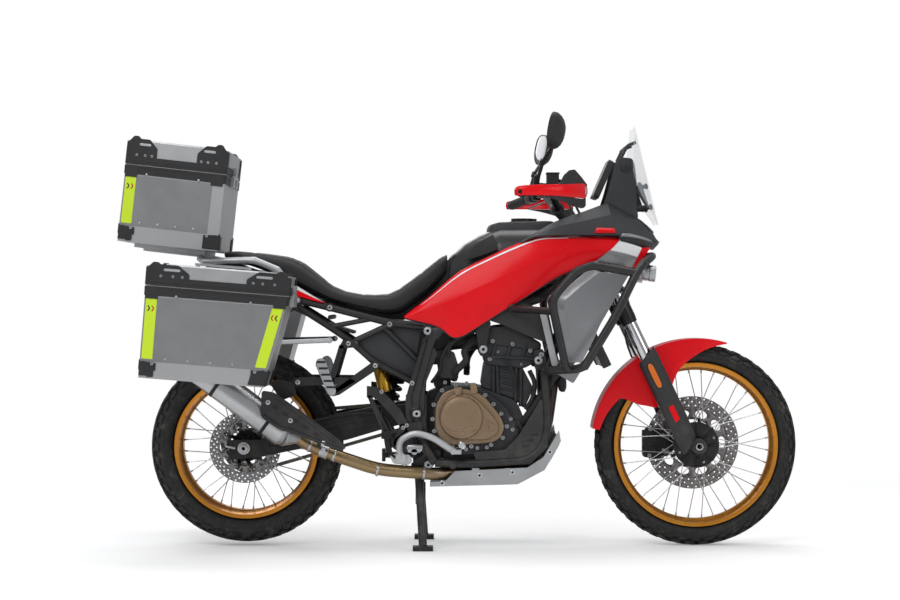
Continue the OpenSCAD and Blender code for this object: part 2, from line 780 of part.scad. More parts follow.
// Spring and damper between the arm and the frame, with its reservoir
module rear_shock() {
    dir = unit(shock_high - shock_low);
    color("#1c1c1c") {
        strut(shock_low + dir * 22, shock_high - dir * 26, 30);
        strut(shock_low, shock_low + dir * 22, 12);
        strut(shock_high - dir * 26, shock_high, 12);
        // Fork end that meets the frame's cross tube
        strut(shock_high - dir * 12, [-125.8, 0, 699], 9);
        strut([-262, -62, 566], [-236, -62, 498], 19);
        strut([-250, -62, 532], [-238, -28, 536], 8);
    }
}

// Chain loop round both sprockets
module drive_chain() {
    front = [-98, 455];
    front_r = 34;
    color("#6b6b66") translate([0, sprocket_y + 5, 0]) rotate([90, 0, 0])
        linear_extrude(10) difference() {
            hull() {
                translate(front) circle(r = front_r + 6, $fn = 32);
                translate([rear_axle_x, rear_axle_z]) circle(r = sprocket_r + 9, $fn = 64);
            }
            hull() {
                translate(front) circle(r = front_r - 6, $fn = 32);
                translate([rear_axle_x, rear_axle_z]) circle(r = sprocket_r + 1, $fn = 64);
            }
        }
}

// ---- Bodywork ----

tank_half_w = 149.5;
panel_in = 150;
tank_pts = [[-30, 812], [60, 812], [250, 874], [330, 922], [322, 1000], [296, 1062],
    [284, 1080], [281, 1101], [141, 1104], [129, 1086], [105, 1080], [14, 1031],
    [-16, 998], [-25, 946]];

// Tank with a raised top between the knees
module fuel_tank() {
    color("#191a1c") {
        difference() {
            intersection() {
                plate(tank_pts, -tank_half_w, tank_half_w);
                translate([bx(-60), 0, 0]) rotate([90, 0, 90]) linear_extrude(bx(420) - bx(-60))
                    polygon([[-tank_half_w, 780], [tank_half_w, 780], [tank_half_w, 975],
                        [112, 1046], [62, 1110], [-62, 1110], [-112, 1046], [-tank_half_w, 975]]);
            }
            // Room for the spars
            for (s = [-1, 1])
                strut(side(at(spar_rear), s), side(at(spar_mid), s), frame_tube_r + 4);
            for (s = [-1, 1])
                strut(side(at(spar_mid), s), side(steered(neck), s), frame_tube_r + 4);
        }
        // Ring round the filler
        translate([cap_x, 0, 1100]) difference() {
            cylinder(h = cap_seat_z - 1100, r = 44);
            translate([0, 0, 2]) cylinder(h = 20, r = 30);
        }
    }
}

cap_x = bx(214);
cap_seat_z = 1107;
cap_r = 38;
cap_hinge_x = cap_x + cap_r + 8;

// Filler cap with its hinge ear
module fuel_cap() {
    color("#2a2a2a") {
        translate([cap_x, 0, cap_seat_z + fit]) cylinder(h = 9, r = cap_r);
        translate([cap_x + cap_r - 6, -9, cap_seat_z + 1]) cube([13, 18, 8]);
        on_axle(cap_hinge_x, cap_seat_z + 5) translate([0, 0, -9]) cylinder(h = 18, r = 4);
    }
}

panel_pts = [[-195, 779], [-112, 843], [-26, 917], [19, 947], [161, 1015], [256, 1050],
    [523, 1050], [634, 1018], [592, 944], [450, 966], [398, 946], [322, 898], [268, 880],
    [190, 836], [42, 738], [1, 716], [-35, 716], [-76, 750], [-189, 775]];
panel_t = 34;

// Red panels along both sides of the tank
module side_panels() {
    color("#c41522") both_sides() {
        difference() {
            plate(panel_pts, panel_in, panel_in + panel_t);
            // Relief over the rear posts
            strut(at(spar_rear), at(post_top), frame_tube_r + 3);
            strut(at(post_top), at(post_mid), frame_tube_r + 3);
            strut(at(spar_rear), at(spar_mid), frame_tube_r + 3);
            translate(at(spar_rear)) sphere(r = frame_tube_r + 3);
            translate(at(post_top)) sphere(r = frame_tube_r + 3);
        }
    }
}

cowl_pts = [[199, 1032], [252, 1053], [528, 1053], [640, 1022], [676, 1030], [651, 1086],
    [644, 1132], [600, 1113], [498, 1167], [325, 1103]];
cowl_in = 148;
cowl_out = 182;
tower_pts = [[500, 1166], [600, 1140], [600, 1230], [584, 1316], [545, 1322], [524, 1314],
    [520.6, 1306], [476.6, 1188]];

// Dark cowl sides, the nose and the tower behind the screen
module front_cowl() {
    color("#303235") {
        both_sides() plate([for (p = cowl_pts) [p.x, max(p.y, 1022)]], cowl_in, cowl_out);
        // Nose between the sides
        difference() {
            plate([[585, 1117], [646, 1092], [676, 1031], [640, 1006], [590, 1004], [572, 1030]],
                -cowl_in - 1, cowl_in + 1);
            translate([bx(560), -95.6, 1020]) cube([bx(680) - bx(560), 191.2, 73]);
        }
        plate(tower_pts, -92, -70);
        plate(tower_pts, 70, 92);
        plate([[560, 1110], [596, 1108], [604, 1150], [596, 1236], [568, 1150]], -92, 92);
        plate([[498, 1166], [600, 1112], [560, 1112], [486, 1150]], -cowl_in - 1, -91);
        plate([[498, 1166], [600, 1112], [560, 1112], [486, 1150]], 91, cowl_in + 1);
        // Stays to the screen
        both_sides() {
            strut([bx(596), 80, 1218], [bx(596) + 33.9, 80, 1218], 6);
            strut([bx(596), 80, 1150], [bx(596) + 49.5, 80, 1150], 6);
        }
        // Stay from the steering head, between the fork legs
        difference() {
            steer_frame() translate([head_r - 6, -22, 200]) cube([118, 44, 44]);
            steer_frame() cylinder(h = 500, r = head_r + fit);
        }
    }
}

// Twin lamp block in the nose
module headlamp() {
    color("#d9dde0") translate([bx(590), -95, 1020.5])
        cube([bx(640) - bx(590), 190, 72]);
}

// Instrument screen on the tower, tilted to the rider
module instrument_display() {
    color("#141517") plate([[447, 1190], [476, 1188], [520, 1306], [505, 1320], [492, 1314]],
        -88, 88);
}

screen_r = 257;
screen_t = 4;
screen_lean = 13.5;
screen_foot = [680, 0, 1096];
screen_h = 345;

// Curved clear screen, a slice of a leaning tube
module windscreen() {
    color("#c9d4da80") translate(at(screen_foot)) rotate([0, -screen_lean, 0])
        intersection() {
            translate([-screen_r, 0, 0]) difference() {
                cylinder(h = screen_h, r = screen_r, $fn = 128);
                translate([0, 0, -1]) cylinder(h = screen_h + 2, r = screen_r - screen_t, $fn = 128);
            }
            translate([-150, 0, 0]) rotate([90, 0, 90]) linear_extrude(170)
                polygon([[-60, 0], [60, 0], [126, 70], [160, 150], [146, 230], [88, 320],
                    [56, screen_h], [-56, screen_h], [-88, 320], [-146, 230], [-160, 150],
                    [-126, 70]]);
        }
}

shroud_in = radiator_half_w + seat_gap;
shroud_pts = [[430, 938], [556, 920], [460, 755], [414, 648], [399, 627], [357, 625],
    [350, 622], [314, 840]];
shroud_tip_pts = [[315, 600], [376, 562], [408, 612], [402, 632], [352, 626]];

// Grey shrouds outside the radiator, with a deflector tip below
module shrouds() {
    color("#8b8d90") both_sides() {
        plate(shroud_pts, shroud_in, shroud_in + 56);
        plate(shroud_tip_pts, shroud_in, shroud_in + 30);
    }
}

bar_y = 312;

// Crash bars round the shrouds, with their upper loop and frame struts
module crash_bars() {
    r = bar_tube_r;
    color("#242526") union() {
        both_sides() {
            bent_tube([at([640, 0, 985]), at([646, 120, 985]), at([632, 200, 978]), at([600, 270, 956]),
                at([574, bar_y - 12, 922]), at([502, bar_y, 777]), at([407, bar_y, 622]),
                at([380, bar_y - 20, 611]), at([300, 230, 606]), at([281, 204, 600]),
                at([281, cradle_y + frame_tube_r - 2 + 0.6, 600])], r);
            bent_tube([at([572, bar_y - 14, 926]), at([431, bar_y, 952]), at([378, bar_y, 932]),
                at([309, bar_y, 852]), at([301, bar_y, 822]), at([343, bar_y, 622]),
                at([352, bar_y - 10, 612])], r - 1);
            bent_tube([at([303, bar_y, 800]), at([250, 250, 804]), at([178, 176, 808]),
                at([178, 149, 813])], r - 2);
        }
    }
}

lamp_y = 206;

// Fog lamps hung under the bars' front ends
module fog_lamps() {
    color("#c3c6c8") both_sides() {
        strut([bx(606), lamp_y, 928], [bx(648), lamp_y, 924], 27);
        strut([bx(622), lamp_y, 942], [bx(626), lamp_y - 2, 972.5 - bar_tube_r], 7);
    }
}

seat_pts = [[-800, 985], [-795, 1000], [-755, 1003], [-570, 982], [-506, 943], [-435, 886],
    [-343, 858], [-244, 858], [-172, 900], [-67, 982], [-41, 994], [-31, 976], [-31, 934],
    [-113, 850], [-198, 790], [-258, 786], [-440, 832], [-547, 876], [-620, 922], [-700, 950]];

seat_half_w = 124;

// Stepped seat for two
module seat() {
    color("#26272a") {
        plate(seat_pts, -seat_half_w, seat_half_w);
        // Rubber feet on the rails
        for (y = [-114, 114]) strut([-430, y, 842], [-430, y, 826], 8);
    }
}

// Inner side covers and the tail over the rear wheel
module rear_panels() {
    color("#232426") {
        both_sides() {
            plate([[-128, 748], [-160, 572], [-290, 628], [-362, 698], [-236, 757]], 98,
                sub_y - sub_tube_r - seat_gap);
            plate([[-452, 838], [-547, 872], [-625, 914], [-700, 942], [-800, 976], [-820, 958],
                [-700, 921], [-548, 856]], seat_half_w + seat_gap, seat_half_w + 5);
        }
        // Undertray and hugger over the wheel
        plate([[-360, 732], [-450, 760], [-560, 812], [-700, 870], [-846, 918], [-846, 910],
            [-700, 862], [-560, 803], [-450, 751], [-360, 724]], -96, 96);
        // Hangers to the subframe's cross tubes
        strut([-700, 0, 866], [-700, 0, 894.5], 10);
        strut([-845, 0, 914], [-845, 0, 939.5], 10);
        // Rear fender with the plate holder
        plate([[-832, 909], [-846, 909], [-930, 800], [-985, 690], [-975, 686], [-920, 792]],
            -70, 70);
        plate([[-846, 909], [-880, 930], [-905, 925], [-905, 905], [-875, 870]], -70, 70);
        both_sides() strut([-912, 60, 830], [-912, 150, 836], 9);
    }
}

// ---- Cases ----

top_tilt = 6.3;
pannier_tilt = 4.6;
top_case_at = [-973, 0, 1017];
pannier_corner = [-1022, 592];
rack_plate_t = 8;
knuckle_r = 5;
hinge_out = 9;
lid_seam = 0.6;
box_l = top_case_l;

// Local frames: the top case's floor centre, and a pannier's rear lower inner corner
module in_top_case() {
    translate(top_case_at) rotate([0, top_tilt, 0]) children();
}

module in_pannier() {
    translate([pannier_corner.x, pannier_inner_y, pannier_corner.y]) rotate([0, pannier_tilt, 0])
        children();
}

// Hollow tray from a side outline [x, z], open at z = h, with its inside offset by the wall
module tray(l_top, l_low, w, h) {
    slope = (l_top - l_low) / h;
    wall = case_wall;
    difference() {
        rotate([90, 0, 0]) translate([0, 0, -w]) linear_extrude(w)
            polygon([[0, 0], [l_low, 0], [l_top, h], [0, h]]);
        rotate([90, 0, 0]) translate([0, 0, -w + wall]) linear_extrude(w - 2 * wall)
            polygon([[wall, wall], [l_low - wall + slope * wall, wall],
                [l_top - wall + slope, h + 1], [wall, h + 1]]);
    }
}

// Hollow lid on the seam plane z = 0
module lid_shell(l, w, h) {
    wall = case_wall;
    difference() {
        cube([l, w, h]);
        translate([wall, wall, -1]) cube([l - 2 * wall, w - 2 * wall, h - wall + 1]);
    }
}

// Round corner caps on the four upright edges of a tray
module corner_caps(l_top, l_low, w, h) {
    for (y = [0, w]) {
        s = y == 0 ? -1 : 1;
        y0 = y == 0 ? -4 : w;
        for (x = [0, l_low - 44]) translate([x, y0, 8]) cube([44, 4, 44]);
        for (x = [2, l_top - 46]) translate([x, y0, h - 42]) cube([40, 4, 40]);
    }
}

// Hinge knuckles at the front edge: the outer pair on the body, the middle one on the lid
module body_knuckles(l, w, h) {
    for (y = [w / 2 - 62, w / 2 + 20.4]) {
        translate([l + hinge_out, y, h + lid_seam / 2]) rotate([-90, 0, 0])
            cylinder(h = 41.6, r = knuckle_r);
        translate([l - 0.5, y, h - 34]) cube([hinge_out + knuckle_r + 0.5, 41.6, 33.4]);
    }
}

module lid_knuckle(l, w) {
    translate([l + hinge_out, w / 2 - 20, -lid_seam / 2]) rotate([-90, 0, 0])
        cylinder(h = 40, r = knuckle_r);
    translate([l - 0.5, w / 2 - 20, 0]) cube([hinge_out + knuckle_r + 0.5, 40, 34]);
}

// Latch hasp on the rear side of a lid
module lid_latch(w) {
    translate([-9, w / 2 - 28, 1]) cube([9.5, 56, 36]);
}

module body_latch(w, h) {
    translate([-9, w / 2 - 28, h - 52]) cube([9.5, 56, 48]);
}

module pannier_body() {
    low = pannier_l - pannier_taper;
    tray(pannier_l, low, pannier_w, pannier_h);
    corner_caps(pannier_l, low, pannier_w, pannier_h);
    difference() {
        body_knuckles(pannier_l, pannier_w, pannier_h);
        translate([0, case_wall, pannier_h - 60])
            cube([pannier_l - 0.6, pannier_w - 2 * case_wall, 61]);
    }
    body_latch(pannier_w, pannier_h);
    // Pucks that hook on the rack
    for (p = pannier_pucks)
        translate([p.x, -puck_l, p.y]) rotate([-90, 0, 0]) cylinder(h = puck_l + 0.5, r = 16);
}
puck_l = 7;
pannier_pucks = [[70, 215], [350, 215], [90, 50], [300, 50]];

module pannier_lid() {
    translate([0, 0, pannier_h + lid_seam]) {
        lid_shell(pannier_l, pannier_w, pannier_lid_h);
        lid_knuckle(pannier_l, pannier_w);
        lid_latch(pannier_w);
        // Carrying handle along the lid
        for (x = [0.32, 0.68])
            translate([pannier_l * x, pannier_w / 2, pannier_lid_h - 1]) cylinder(h = 17, r = 6);
        translate([pannier_l * 0.3, pannier_w / 2 - 8, pannier_lid_h + 12])
            cube([pannier_l * 0.4, 16, 8]);
    }
}

module pannier_left() {
    color("#9d9fa1") in_pannier() pannier_body();
}

module pannier_right() {
    color("#9d9fa1") mirror([0, 1, 0]) in_pannier() pannier_body();
}

module pannier_left_lid() {
    color("#8e9092") in_pannier() pannier_lid();
}

module pannier_right_lid() {
    color("#8e9092") mirror([0, 1, 0]) in_pannier() pannier_lid();
}

module top_case() {
    color("#9d9fa1") in_top_case() translate([-box_l / 2, -top_case_w / 2, 0]) {
        tray(top_case_l, top_case_l, top_case_w, top_case_h);
        corner_caps(top_case_l, top_case_l, top_case_w, top_case_h);
        difference() {
            body_knuckles(top_case_l, top_case_w, top_case_h);
            translate([0, case_wall, top_case_h - 60])
                cube([top_case_l - 0.6, top_case_w - 2 * case_wall, 61]);
        }
        body_latch(top_case_w, top_case_h);
        // Base plate that locks on the rack
        translate([48, 60, -base_t]) cube([top_case_l - 96, top_case_w - 120, base_t + 0.2]);
    }
}
base_t = 14;

module top_case_lid() {
    color("#8e9092") in_top_case()
        translate([-box_l / 2, -top_case_w / 2, top_case_h + lid_seam]) {
            lid_shell(top_case_l, top_case_w, top_lid_h);
            lid_knuckle(top_case_l, top_case_w);
            lid_latch(top_case_w);
            for (x = [0.34, 0.72])
                translate([top_case_l * x, top_case_w / 2, top_lid_h - 1]) cylinder(h = 15, r = 5);
            translate([top_case_l * 0.3, top_case_w / 2 - 7, top_lid_h + 10])
                cube([top_case_l * 0.46, 14, 7]);
        }
}

hoop_r = 8;
hoop_y = pannier_inner_y - puck_l - hoop_r - seat_gap;

// Point of a pannier's side outline in the machine's frame
function on_pannier(p) = [pannier_corner.x + p.x * cos(pannier_tilt) + p.y * sin(pannier_tilt),
    pannier_corner.y - p.x * sin(pannier_tilt) + p.y * cos(pannier_tilt)];
function hoop(p) = let (q = on_pannier(p)) [q.x, hoop_y, q.y];

// Top rack plate on its grab arms, and a tube hoop beside each pannier
module case_rack() {
    color("#b4b6b8") {
        in_top_case() translate([-96, -88, -base_t - fit - rack_plate_t])
            cube([246, 176, rack_plate_t]);
        difference() {
            union() {
                both_sides() {
                    // Grab arm
                    strut([-566, 142, 880], [-612, 142, 940], 11);
                    translate([-612, 142, 940]) sphere(r = 11.2);
                    strut([-612, 142, 940], [-690, 142, 972], 11);
                    translate([-690, 142, 972]) sphere(r = 11.2);
                    strut([-690, 142, 972], [-860, 142, 968], 11);
                    translate([-860, 142, 968]) sphere(r = 11.2);
                    strut([-860, 142, 968], [-880, 80, 978], 11);
                    // Foot of the grab arm on the rail
                    translate([-566, 142, 880]) sphere(r = 11.2);
                    strut([-566, 142, 880], [-566, 142, 846], 9);
                    strut([-566, 146, 846], [-566, sub_y + sub_tube_r + seat_gap, 846], 9);
                    // Hoop
                    strut(hoop([66, 215]), hoop([354, 215]), hoop_r);
                    strut(hoop([354, 215]), hoop([304, 50]), hoop_r);
                    strut(hoop([304, 50]), hoop([86, 50]), hoop_r);
                    strut(hoop([86, 50]), hoop([66, 215]), hoop_r);
                    for (p = [[66, 215], [354, 215], [304, 50], [86, 50]])
                        translate(hoop(p)) sphere(r = hoop_r + 0.1);
                    // Struts from the hoop to the subframe
                    for (h = [[346, 190, -545, 838], [120, 215, -800, 936.3]]) {
                        strut(hoop([h[0], h[1]]), [h[2], sub_y + sub_tube_r + 14, h[3]], 8);
                        strut([h[2], sub_y + sub_tube_r + 18, h[3]],
                            [h[2], sub_y + sub_tube_r + seat_gap, h[3]], 9);
                    }
                    strut(hoop([330, 130]), [-437, sub_y + sub_tube_r + 20, 703], 8);
                    strut([-437, sub_y + sub_tube_r + 26, 703], [-437, sub_y + sub_tube_r + 6.5, 703], 10);
                }
            }
            in_top_case() translate([-200, -200, -base_t - fit]) cube([400, 400, 300]);
        }
    }
}

// ---- Underside and controls ----

skid_half_w = 165;
skid_t = 5;
skid_tab_top = 290 - frame_tube_r + 2 - 0.2;
skid_line = [[-101, 214], [193, 222], [283, 270], [337, 366]];

// Bent plate under the engine with upright sides
module skid_plate() {
    up = [for (p = skid_line) [p.x, p.y + skid_t]];
    back = [for (i = [len(up) - 1:-1:0]) up[i]];
    color("#b7b9bb") {
        plate(concat(skid_line, back), -skid_half_w, skid_half_w);
        both_sides() {
            plate([[-101, 214], [193, 222], [283, 270], [337, 366], [331, 402], [279, 313],
                [225, 278], [-17, 266], [-50, 232], [-101, 230]], skid_half_w - skid_t, skid_half_w);
            // Tabs under the cradle tubes
            for (x = [40, 150])
                translate([bx(x), skid_half_w - skid_t, 258]) cube([24, skid_t, skid_tab_top - 258]);
        }
    }
}

peg_y = [178, 262];

// Foot pegs, heel guards, brake pedal and shift lever, and the passenger's brackets
module foot_controls() {
    color("#a9abad") {
        both_sides() {
            // Heel guard and peg hanger on the frame's post
            plate([[-306, 556], [-258, 548], [-174, 436], [-128, 430], [-128, 409], [-160, 384],
                [-150, 336], [-221, 303], [-236, 361], [-222, 420]], post_y + frame_tube_r + seat_gap,
                post_y + frame_tube_r + 6);
            strut([-151, post_y + frame_tube_r + 3, 339], [-151, peg_y[1], 339], 11);
            translate([-172, peg_y[0], 334]) cube([44, peg_y[1] - peg_y[0], 16]);
            // Passenger bracket on the subframe's strut
            plate([[-276, 610], [-352, 680], [-548, 806], [-572, 790], [-560, 566], [-430, 530], [-388, 522]],
                sub_y + sub_tube_r + seat_gap, sub_y + sub_tube_r + 6);
            strut([-430, sub_y + 17, 528], [-466, sub_y + 30, 628], 12);
        }
        // Brake pedal on the right
        strut([-196, -188, 315], [-200, -188, 366], 7);
        strut([-204, -188, 363], [-146, -190, 395], 8);
        strut([-154, -190, 396], [bx(-92), -192, 382], 7);
        strut([bx(-103), -192, 388], [bx(-16), -200, 334], 8);
        translate([bx(-16) - 14, -224, 328]) cube([34, 40, 12]);
        strut([-196, -188, 318], [-196, -post_y - frame_tube_r - 3, 318], 8);
        // Shift lever on the left
        strut([-186, 188, 330], [bx(-30), 200, 342], 6);
        strut([bx(-30), 196, 342], [bx(-30), 236, 342], 8);
        strut([-186, 188, 330], [-186, post_y + frame_tube_r + 3, 330], 8);
    }
}

// ---- Stands ----

stand_x = -140;
stand_z = 262;
stand_leg_y = 97;
stand_pin_r = 8;
stand_bracket_y = 124;
foot_ahead = 16;

// Centre stand, down: the feet lie ahead of the pivot, so it rests over centre
module center_stand() {
    r = stand_tube_r;
    foot_r = 16;
    color("#1f1f1f") {
        // Pivot tube and its pins
        on_axle(stand_x, stand_z) {
            translate([0, 0, -stand_leg_y - 14]) cylinder(h = 2 * stand_leg_y + 28, r = r + 2);
            translate([0, 0, -stand_bracket_y - 7]) cylinder(h = 2 * stand_bracket_y + 14, r = stand_pin_r);
        }
        both_sides() {
            strut([stand_x, stand_leg_y, stand_z], [stand_x + foot_ahead, stand_foot_y, foot_r], r);
            // Foot pad on the floor
            translate([stand_x + foot_ahead - 34, stand_foot_y - 22, 0]) cube([68, 44, foot_r]);
        }
        // Cross tube and the tread pedal on the left
        strut([stand_x + 6, -122, 160], [stand_x + 6, 122, 160], r - 4);
    }
}

kick_at = [-24, 192, 292];
kick_axis_tilt = 20;
kick_axis = [0, -cos(kick_axis_tilt), -sin(kick_axis_tilt)];
kick_r = 11;

// Side stand, folded back along the left of the frame
module side_stand() {
    color("#1f1f1f") {
        aim(kick_at, kick_axis)
            translate([0, 0, -kick_r]) cylinder(h = 2 * kick_r, r = 17);
        strut(kick_at, kick_at - [side_stand_l, 0, 0], kick_r);
        // Foot plate
        translate(kick_at - [side_stand_l + 4, 20, 22]) cube([12, 40, 44]);
    }
}

steering_head();
main_frame();
subframe();
engine();
engine_covers();
radiator();
exhaust_pipe();
muffler();
swingarm();
rear_caliper();
rear_shock();
fuel_tank();
side_panels();
front_cowl();
shrouds();
crash_bars();
fog_lamps();
windscreen();
instrument_display();
headlamp();
seat();
rear_panels();
case_rack();
skid_plate();
foot_controls();
drive_chain();
pannier_right();
pannier_left();
top_case();
fork();
handlebar();
hand_guards();
mirrors();
front_fender();
fork_guards();
front_caliper();
front_tyre();
front_rim();
front_hub();
rear_tyre();
rear_rim();
rear_hub();
center_stand();
side_stand();
pannier_right_lid();
pannier_left_lid();
top_case_lid();
fuel_cap();
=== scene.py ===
"""Surfaces and finishes of an adventure motorcycle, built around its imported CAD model.

Units are metres in the model's own frame: +X towards the front wheel, +Y to the
machine's left, +Z up, the floor at z = 0.
"""

from __future__ import annotations

import json
import logging
import math
from dataclasses import dataclass, field, replace
from enum import Enum
from typing import Iterable, Sequence

import bmesh
import bpy
import numpy as np
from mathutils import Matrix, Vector


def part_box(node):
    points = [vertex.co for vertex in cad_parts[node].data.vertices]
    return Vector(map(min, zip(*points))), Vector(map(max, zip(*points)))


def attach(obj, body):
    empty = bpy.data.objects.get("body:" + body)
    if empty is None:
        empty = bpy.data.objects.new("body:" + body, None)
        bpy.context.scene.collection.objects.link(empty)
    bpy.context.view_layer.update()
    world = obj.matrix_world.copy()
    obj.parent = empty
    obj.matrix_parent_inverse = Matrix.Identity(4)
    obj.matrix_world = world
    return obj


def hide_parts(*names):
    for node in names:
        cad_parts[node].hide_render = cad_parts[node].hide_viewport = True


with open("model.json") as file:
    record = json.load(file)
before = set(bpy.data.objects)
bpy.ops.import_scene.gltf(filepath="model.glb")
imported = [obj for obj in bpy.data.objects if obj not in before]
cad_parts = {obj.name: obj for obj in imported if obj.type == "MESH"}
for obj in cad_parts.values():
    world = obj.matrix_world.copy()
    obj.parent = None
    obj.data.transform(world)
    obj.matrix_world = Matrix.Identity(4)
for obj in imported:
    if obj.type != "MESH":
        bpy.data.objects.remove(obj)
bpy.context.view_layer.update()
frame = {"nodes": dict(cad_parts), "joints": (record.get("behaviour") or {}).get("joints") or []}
LOG = logging.getLogger("motorcycle")
TAU = 2 * math.pi
MM = 0.001

Array = np.ndarray
Faces = list[tuple[int, ...]]


# ---- Shader maths ----


@dataclass
class Wire:
    """One value in a material: a socket or a number, with arithmetic that adds Math nodes."""

    graph: "Graph"
    source: object

    def _join(self, operation: str, first: object, second: object) -> "Wire":
        """Adds a Math node.

        Args:
            operation: The Math node's operation.
            first: The first operand.
            second: The second operand.

        Returns:
            The node's result.
        """
        return self.graph.add("ShaderNodeMath", {"operation": operation}, [first, second])

    def __add__(self, other: object) -> "Wire":
        """self + other."""
        return self._join("ADD", self, other)

    def __radd__(self, other: object) -> "Wire":
        """other + self."""
        return self._join("ADD", other, self)

    def __sub__(self, other: object) -> "Wire":
        """self - other."""
        return self._join("SUBTRACT", self, other)

    def __rsub__(self, other: object) -> "Wire":
        """other - self."""
        return self._join("SUBTRACT", other, self)

    def __mul__(self, other: object) -> "Wire":
        """self * other."""
        return self._join("MULTIPLY", self, other)

    def __rmul__(self, other: object) -> "Wire":
        """other * self."""
        return self._join("MULTIPLY", other, self)

    def over(self, limit: object) -> "Wire":
        """1 where self is greater than limit, else 0."""
        return self._join("GREATER_THAN", self, limit)

    def most(self, other: object) -> "Wire":
        """The greater of the two."""
        return self._join("MAXIMUM", self, other)

    def least(self, other: object) -> "Wire":
        """The smaller of the two."""
        return self._join("MINIMUM", self, other)

    def size(self) -> "Wire":
        """The absolute value."""
        return self._join("ABSOLUTE", self, 0.0)

    def ramp(self, low: float, high: float) -> "Wire":
        """Rises smoothly from 0 at low to 1 at high."""
        settings = {"interpolation_type": "SMOOTHSTEP"}
        return self.graph.add("ShaderNodeMapRange", settings, {"Value": self, "From Min": low,
                                                               "From Max": high})


class Graph:
    """The node tree of one material or world."""

    def __init__(self, owner: bpy.types.ID) -> None:
        """Empties the owner's nodes, all but the output.

        Args:
            owner: The material or world.
        """
        owner.use_nodes = True
        self.owner = owner
        self.nodes = owner.node_tree.nodes
        self.links = owner.node_tree.links
        for node in list(self.nodes):
            if not node.bl_idname.startswith("ShaderNodeOutput"):
                self.nodes.remove(node)
        self._place: Wire | None = None

    def add(self, kind: str, settings: dict, sockets: object, output: object = 0) -> Wire:
        """Adds a node: its settings first, and then its sockets.

        Args:
            kind: The node's type name.
            settings: Attributes to set; "stops" holds a ramp's (place, colour) pairs.
            sockets: Values or wires, by position in a list or by name in a dict.
            output: Which output to give back.

        Returns:
            The chosen output.
        """
        node = self.nodes.new(kind)
        for key, value in settings.items():
            if key == "stops":
                while len(node.color_ramp.elements) < len(value):
                    node.color_ramp.elements.new(1.0)
                for stop, (at, colour) in zip(node.color_ramp.elements, value):
                    stop.position = at
                    stop.color = (*colour, 1.0)
            else:
                setattr(node, key, value)
        pairs = sockets.items() if isinstance(sockets, dict) else enumerate(sockets)
        for key, value in pairs:
            self.feed(node.inputs[key], value)
        return Wire(self, node.outputs[output])

    def feed(self, socket: object, value: object) -> None:
        """Links a wire to a socket, or sets the socket's own value.

        Args:
            socket: The input socket.
            value: A wire, a number or a tuple; a colour may leave out its alpha.
        """
        if isinstance(value, Wire):
            self.links.new(value.source, socket)
        elif isinstance(value, tuple) and socket.type == "RGBA" and len(value) == 3:
            socket.default_value = (*value, 1.0)
        else:
            socket.default_value = value

    def place(self) -> Wire:
        """The point's own place in metres."""
        if self._place is None:
            self._place = self.add("ShaderNodeTexCoord", {}, {}, "Object")
        return self._place

    def scaled(self, scale: tuple[float, float, float]) -> Wire:
        """The place scaled along each axis, which stretches a pattern."""
        return self.add("ShaderNodeVectorMath", {"operation": "MULTIPLY"}, [self.place(), scale])

    def axes(self, vector: Wire) -> tuple[Wire, Wire, Wire]:
        """Splits a vector into its three numbers."""
        first = self.add("ShaderNodeSeparateXYZ", {}, [vector])
        outputs = first.source.node.outputs
        return tuple(Wire(self, outputs[k]) for k in range(3))

    def noise(self, vector: Wire, scale: float, detail: float = 3.0, roughness: float = 0.55) -> Wire:
        """Soft cloudy values from 0 to 1."""
        sockets = {"Vector": vector, "Scale": scale, "Detail": detail, "Roughness": roughness}
        return self.add("ShaderNodeTexNoise", {}, sockets, "Fac")

    def cells(self, vector: Wire, scale: float, feature: str = "F1") -> Wire:
        """Distance from the nearest of many scattered points."""
        return self.add("ShaderNodeTexVoronoi", {"feature": feature}, {"Vector": vector, "Scale": scale},
                        "Distance")

    def blend(self, factor: object, first: object, second: object) -> Wire:
        """Goes from one colour to another as factor goes from 0 to 1."""
        return self.add("ShaderNodeMix", {"data_type": "RGBA"}, {0: factor, 6: first, 7: second}, 2)

    def bump(self, height: Wire, distance: float, strength: float = 1.0) -> Wire:
        """Turns a height in units of distance into a normal."""
        sockets = {"Height": height, "Distance": distance, "Strength": strength}
        return self.add("ShaderNodeBump", {}, sockets, "Normal")

    def show(self, shader: Wire) -> bpy.types.ID:
        """Links a shader to the output.

        Args:
            shader: The shader.

        Returns:
            The material or world.
        """
        out = next(node for node in self.nodes if node.bl_idname.startswith("ShaderNodeOutput"))
        self.links.new(shader.source, out.inputs["Surface"])
        return self.owner

    def finish(self, **sockets: object) -> bpy.types.Material:
        """Makes the surface from its sockets' values, named with underscores for spaces.

        Returns:
            The material.
        """
        named = {key.replace("_", " "): value for key, value in sockets.items()}
        return self.show(self.add("ShaderNodeBsdfPrincipled", {}, named))


# ---- Finishes ----


class Grain(Enum):
    """The fine relief of a surface."""

    GLOSS = "gloss"
    CAST = "cast"
    BRUSHED = "brushed"
    MOULDED = "moulded"
    POWDER = "powder"
    HIDE = "hide"


Colour = tuple[float, float, float]
DUST: Colour = (0.30, 0.26, 0.20)
_made: dict[str, bpy.types.Material] = {}


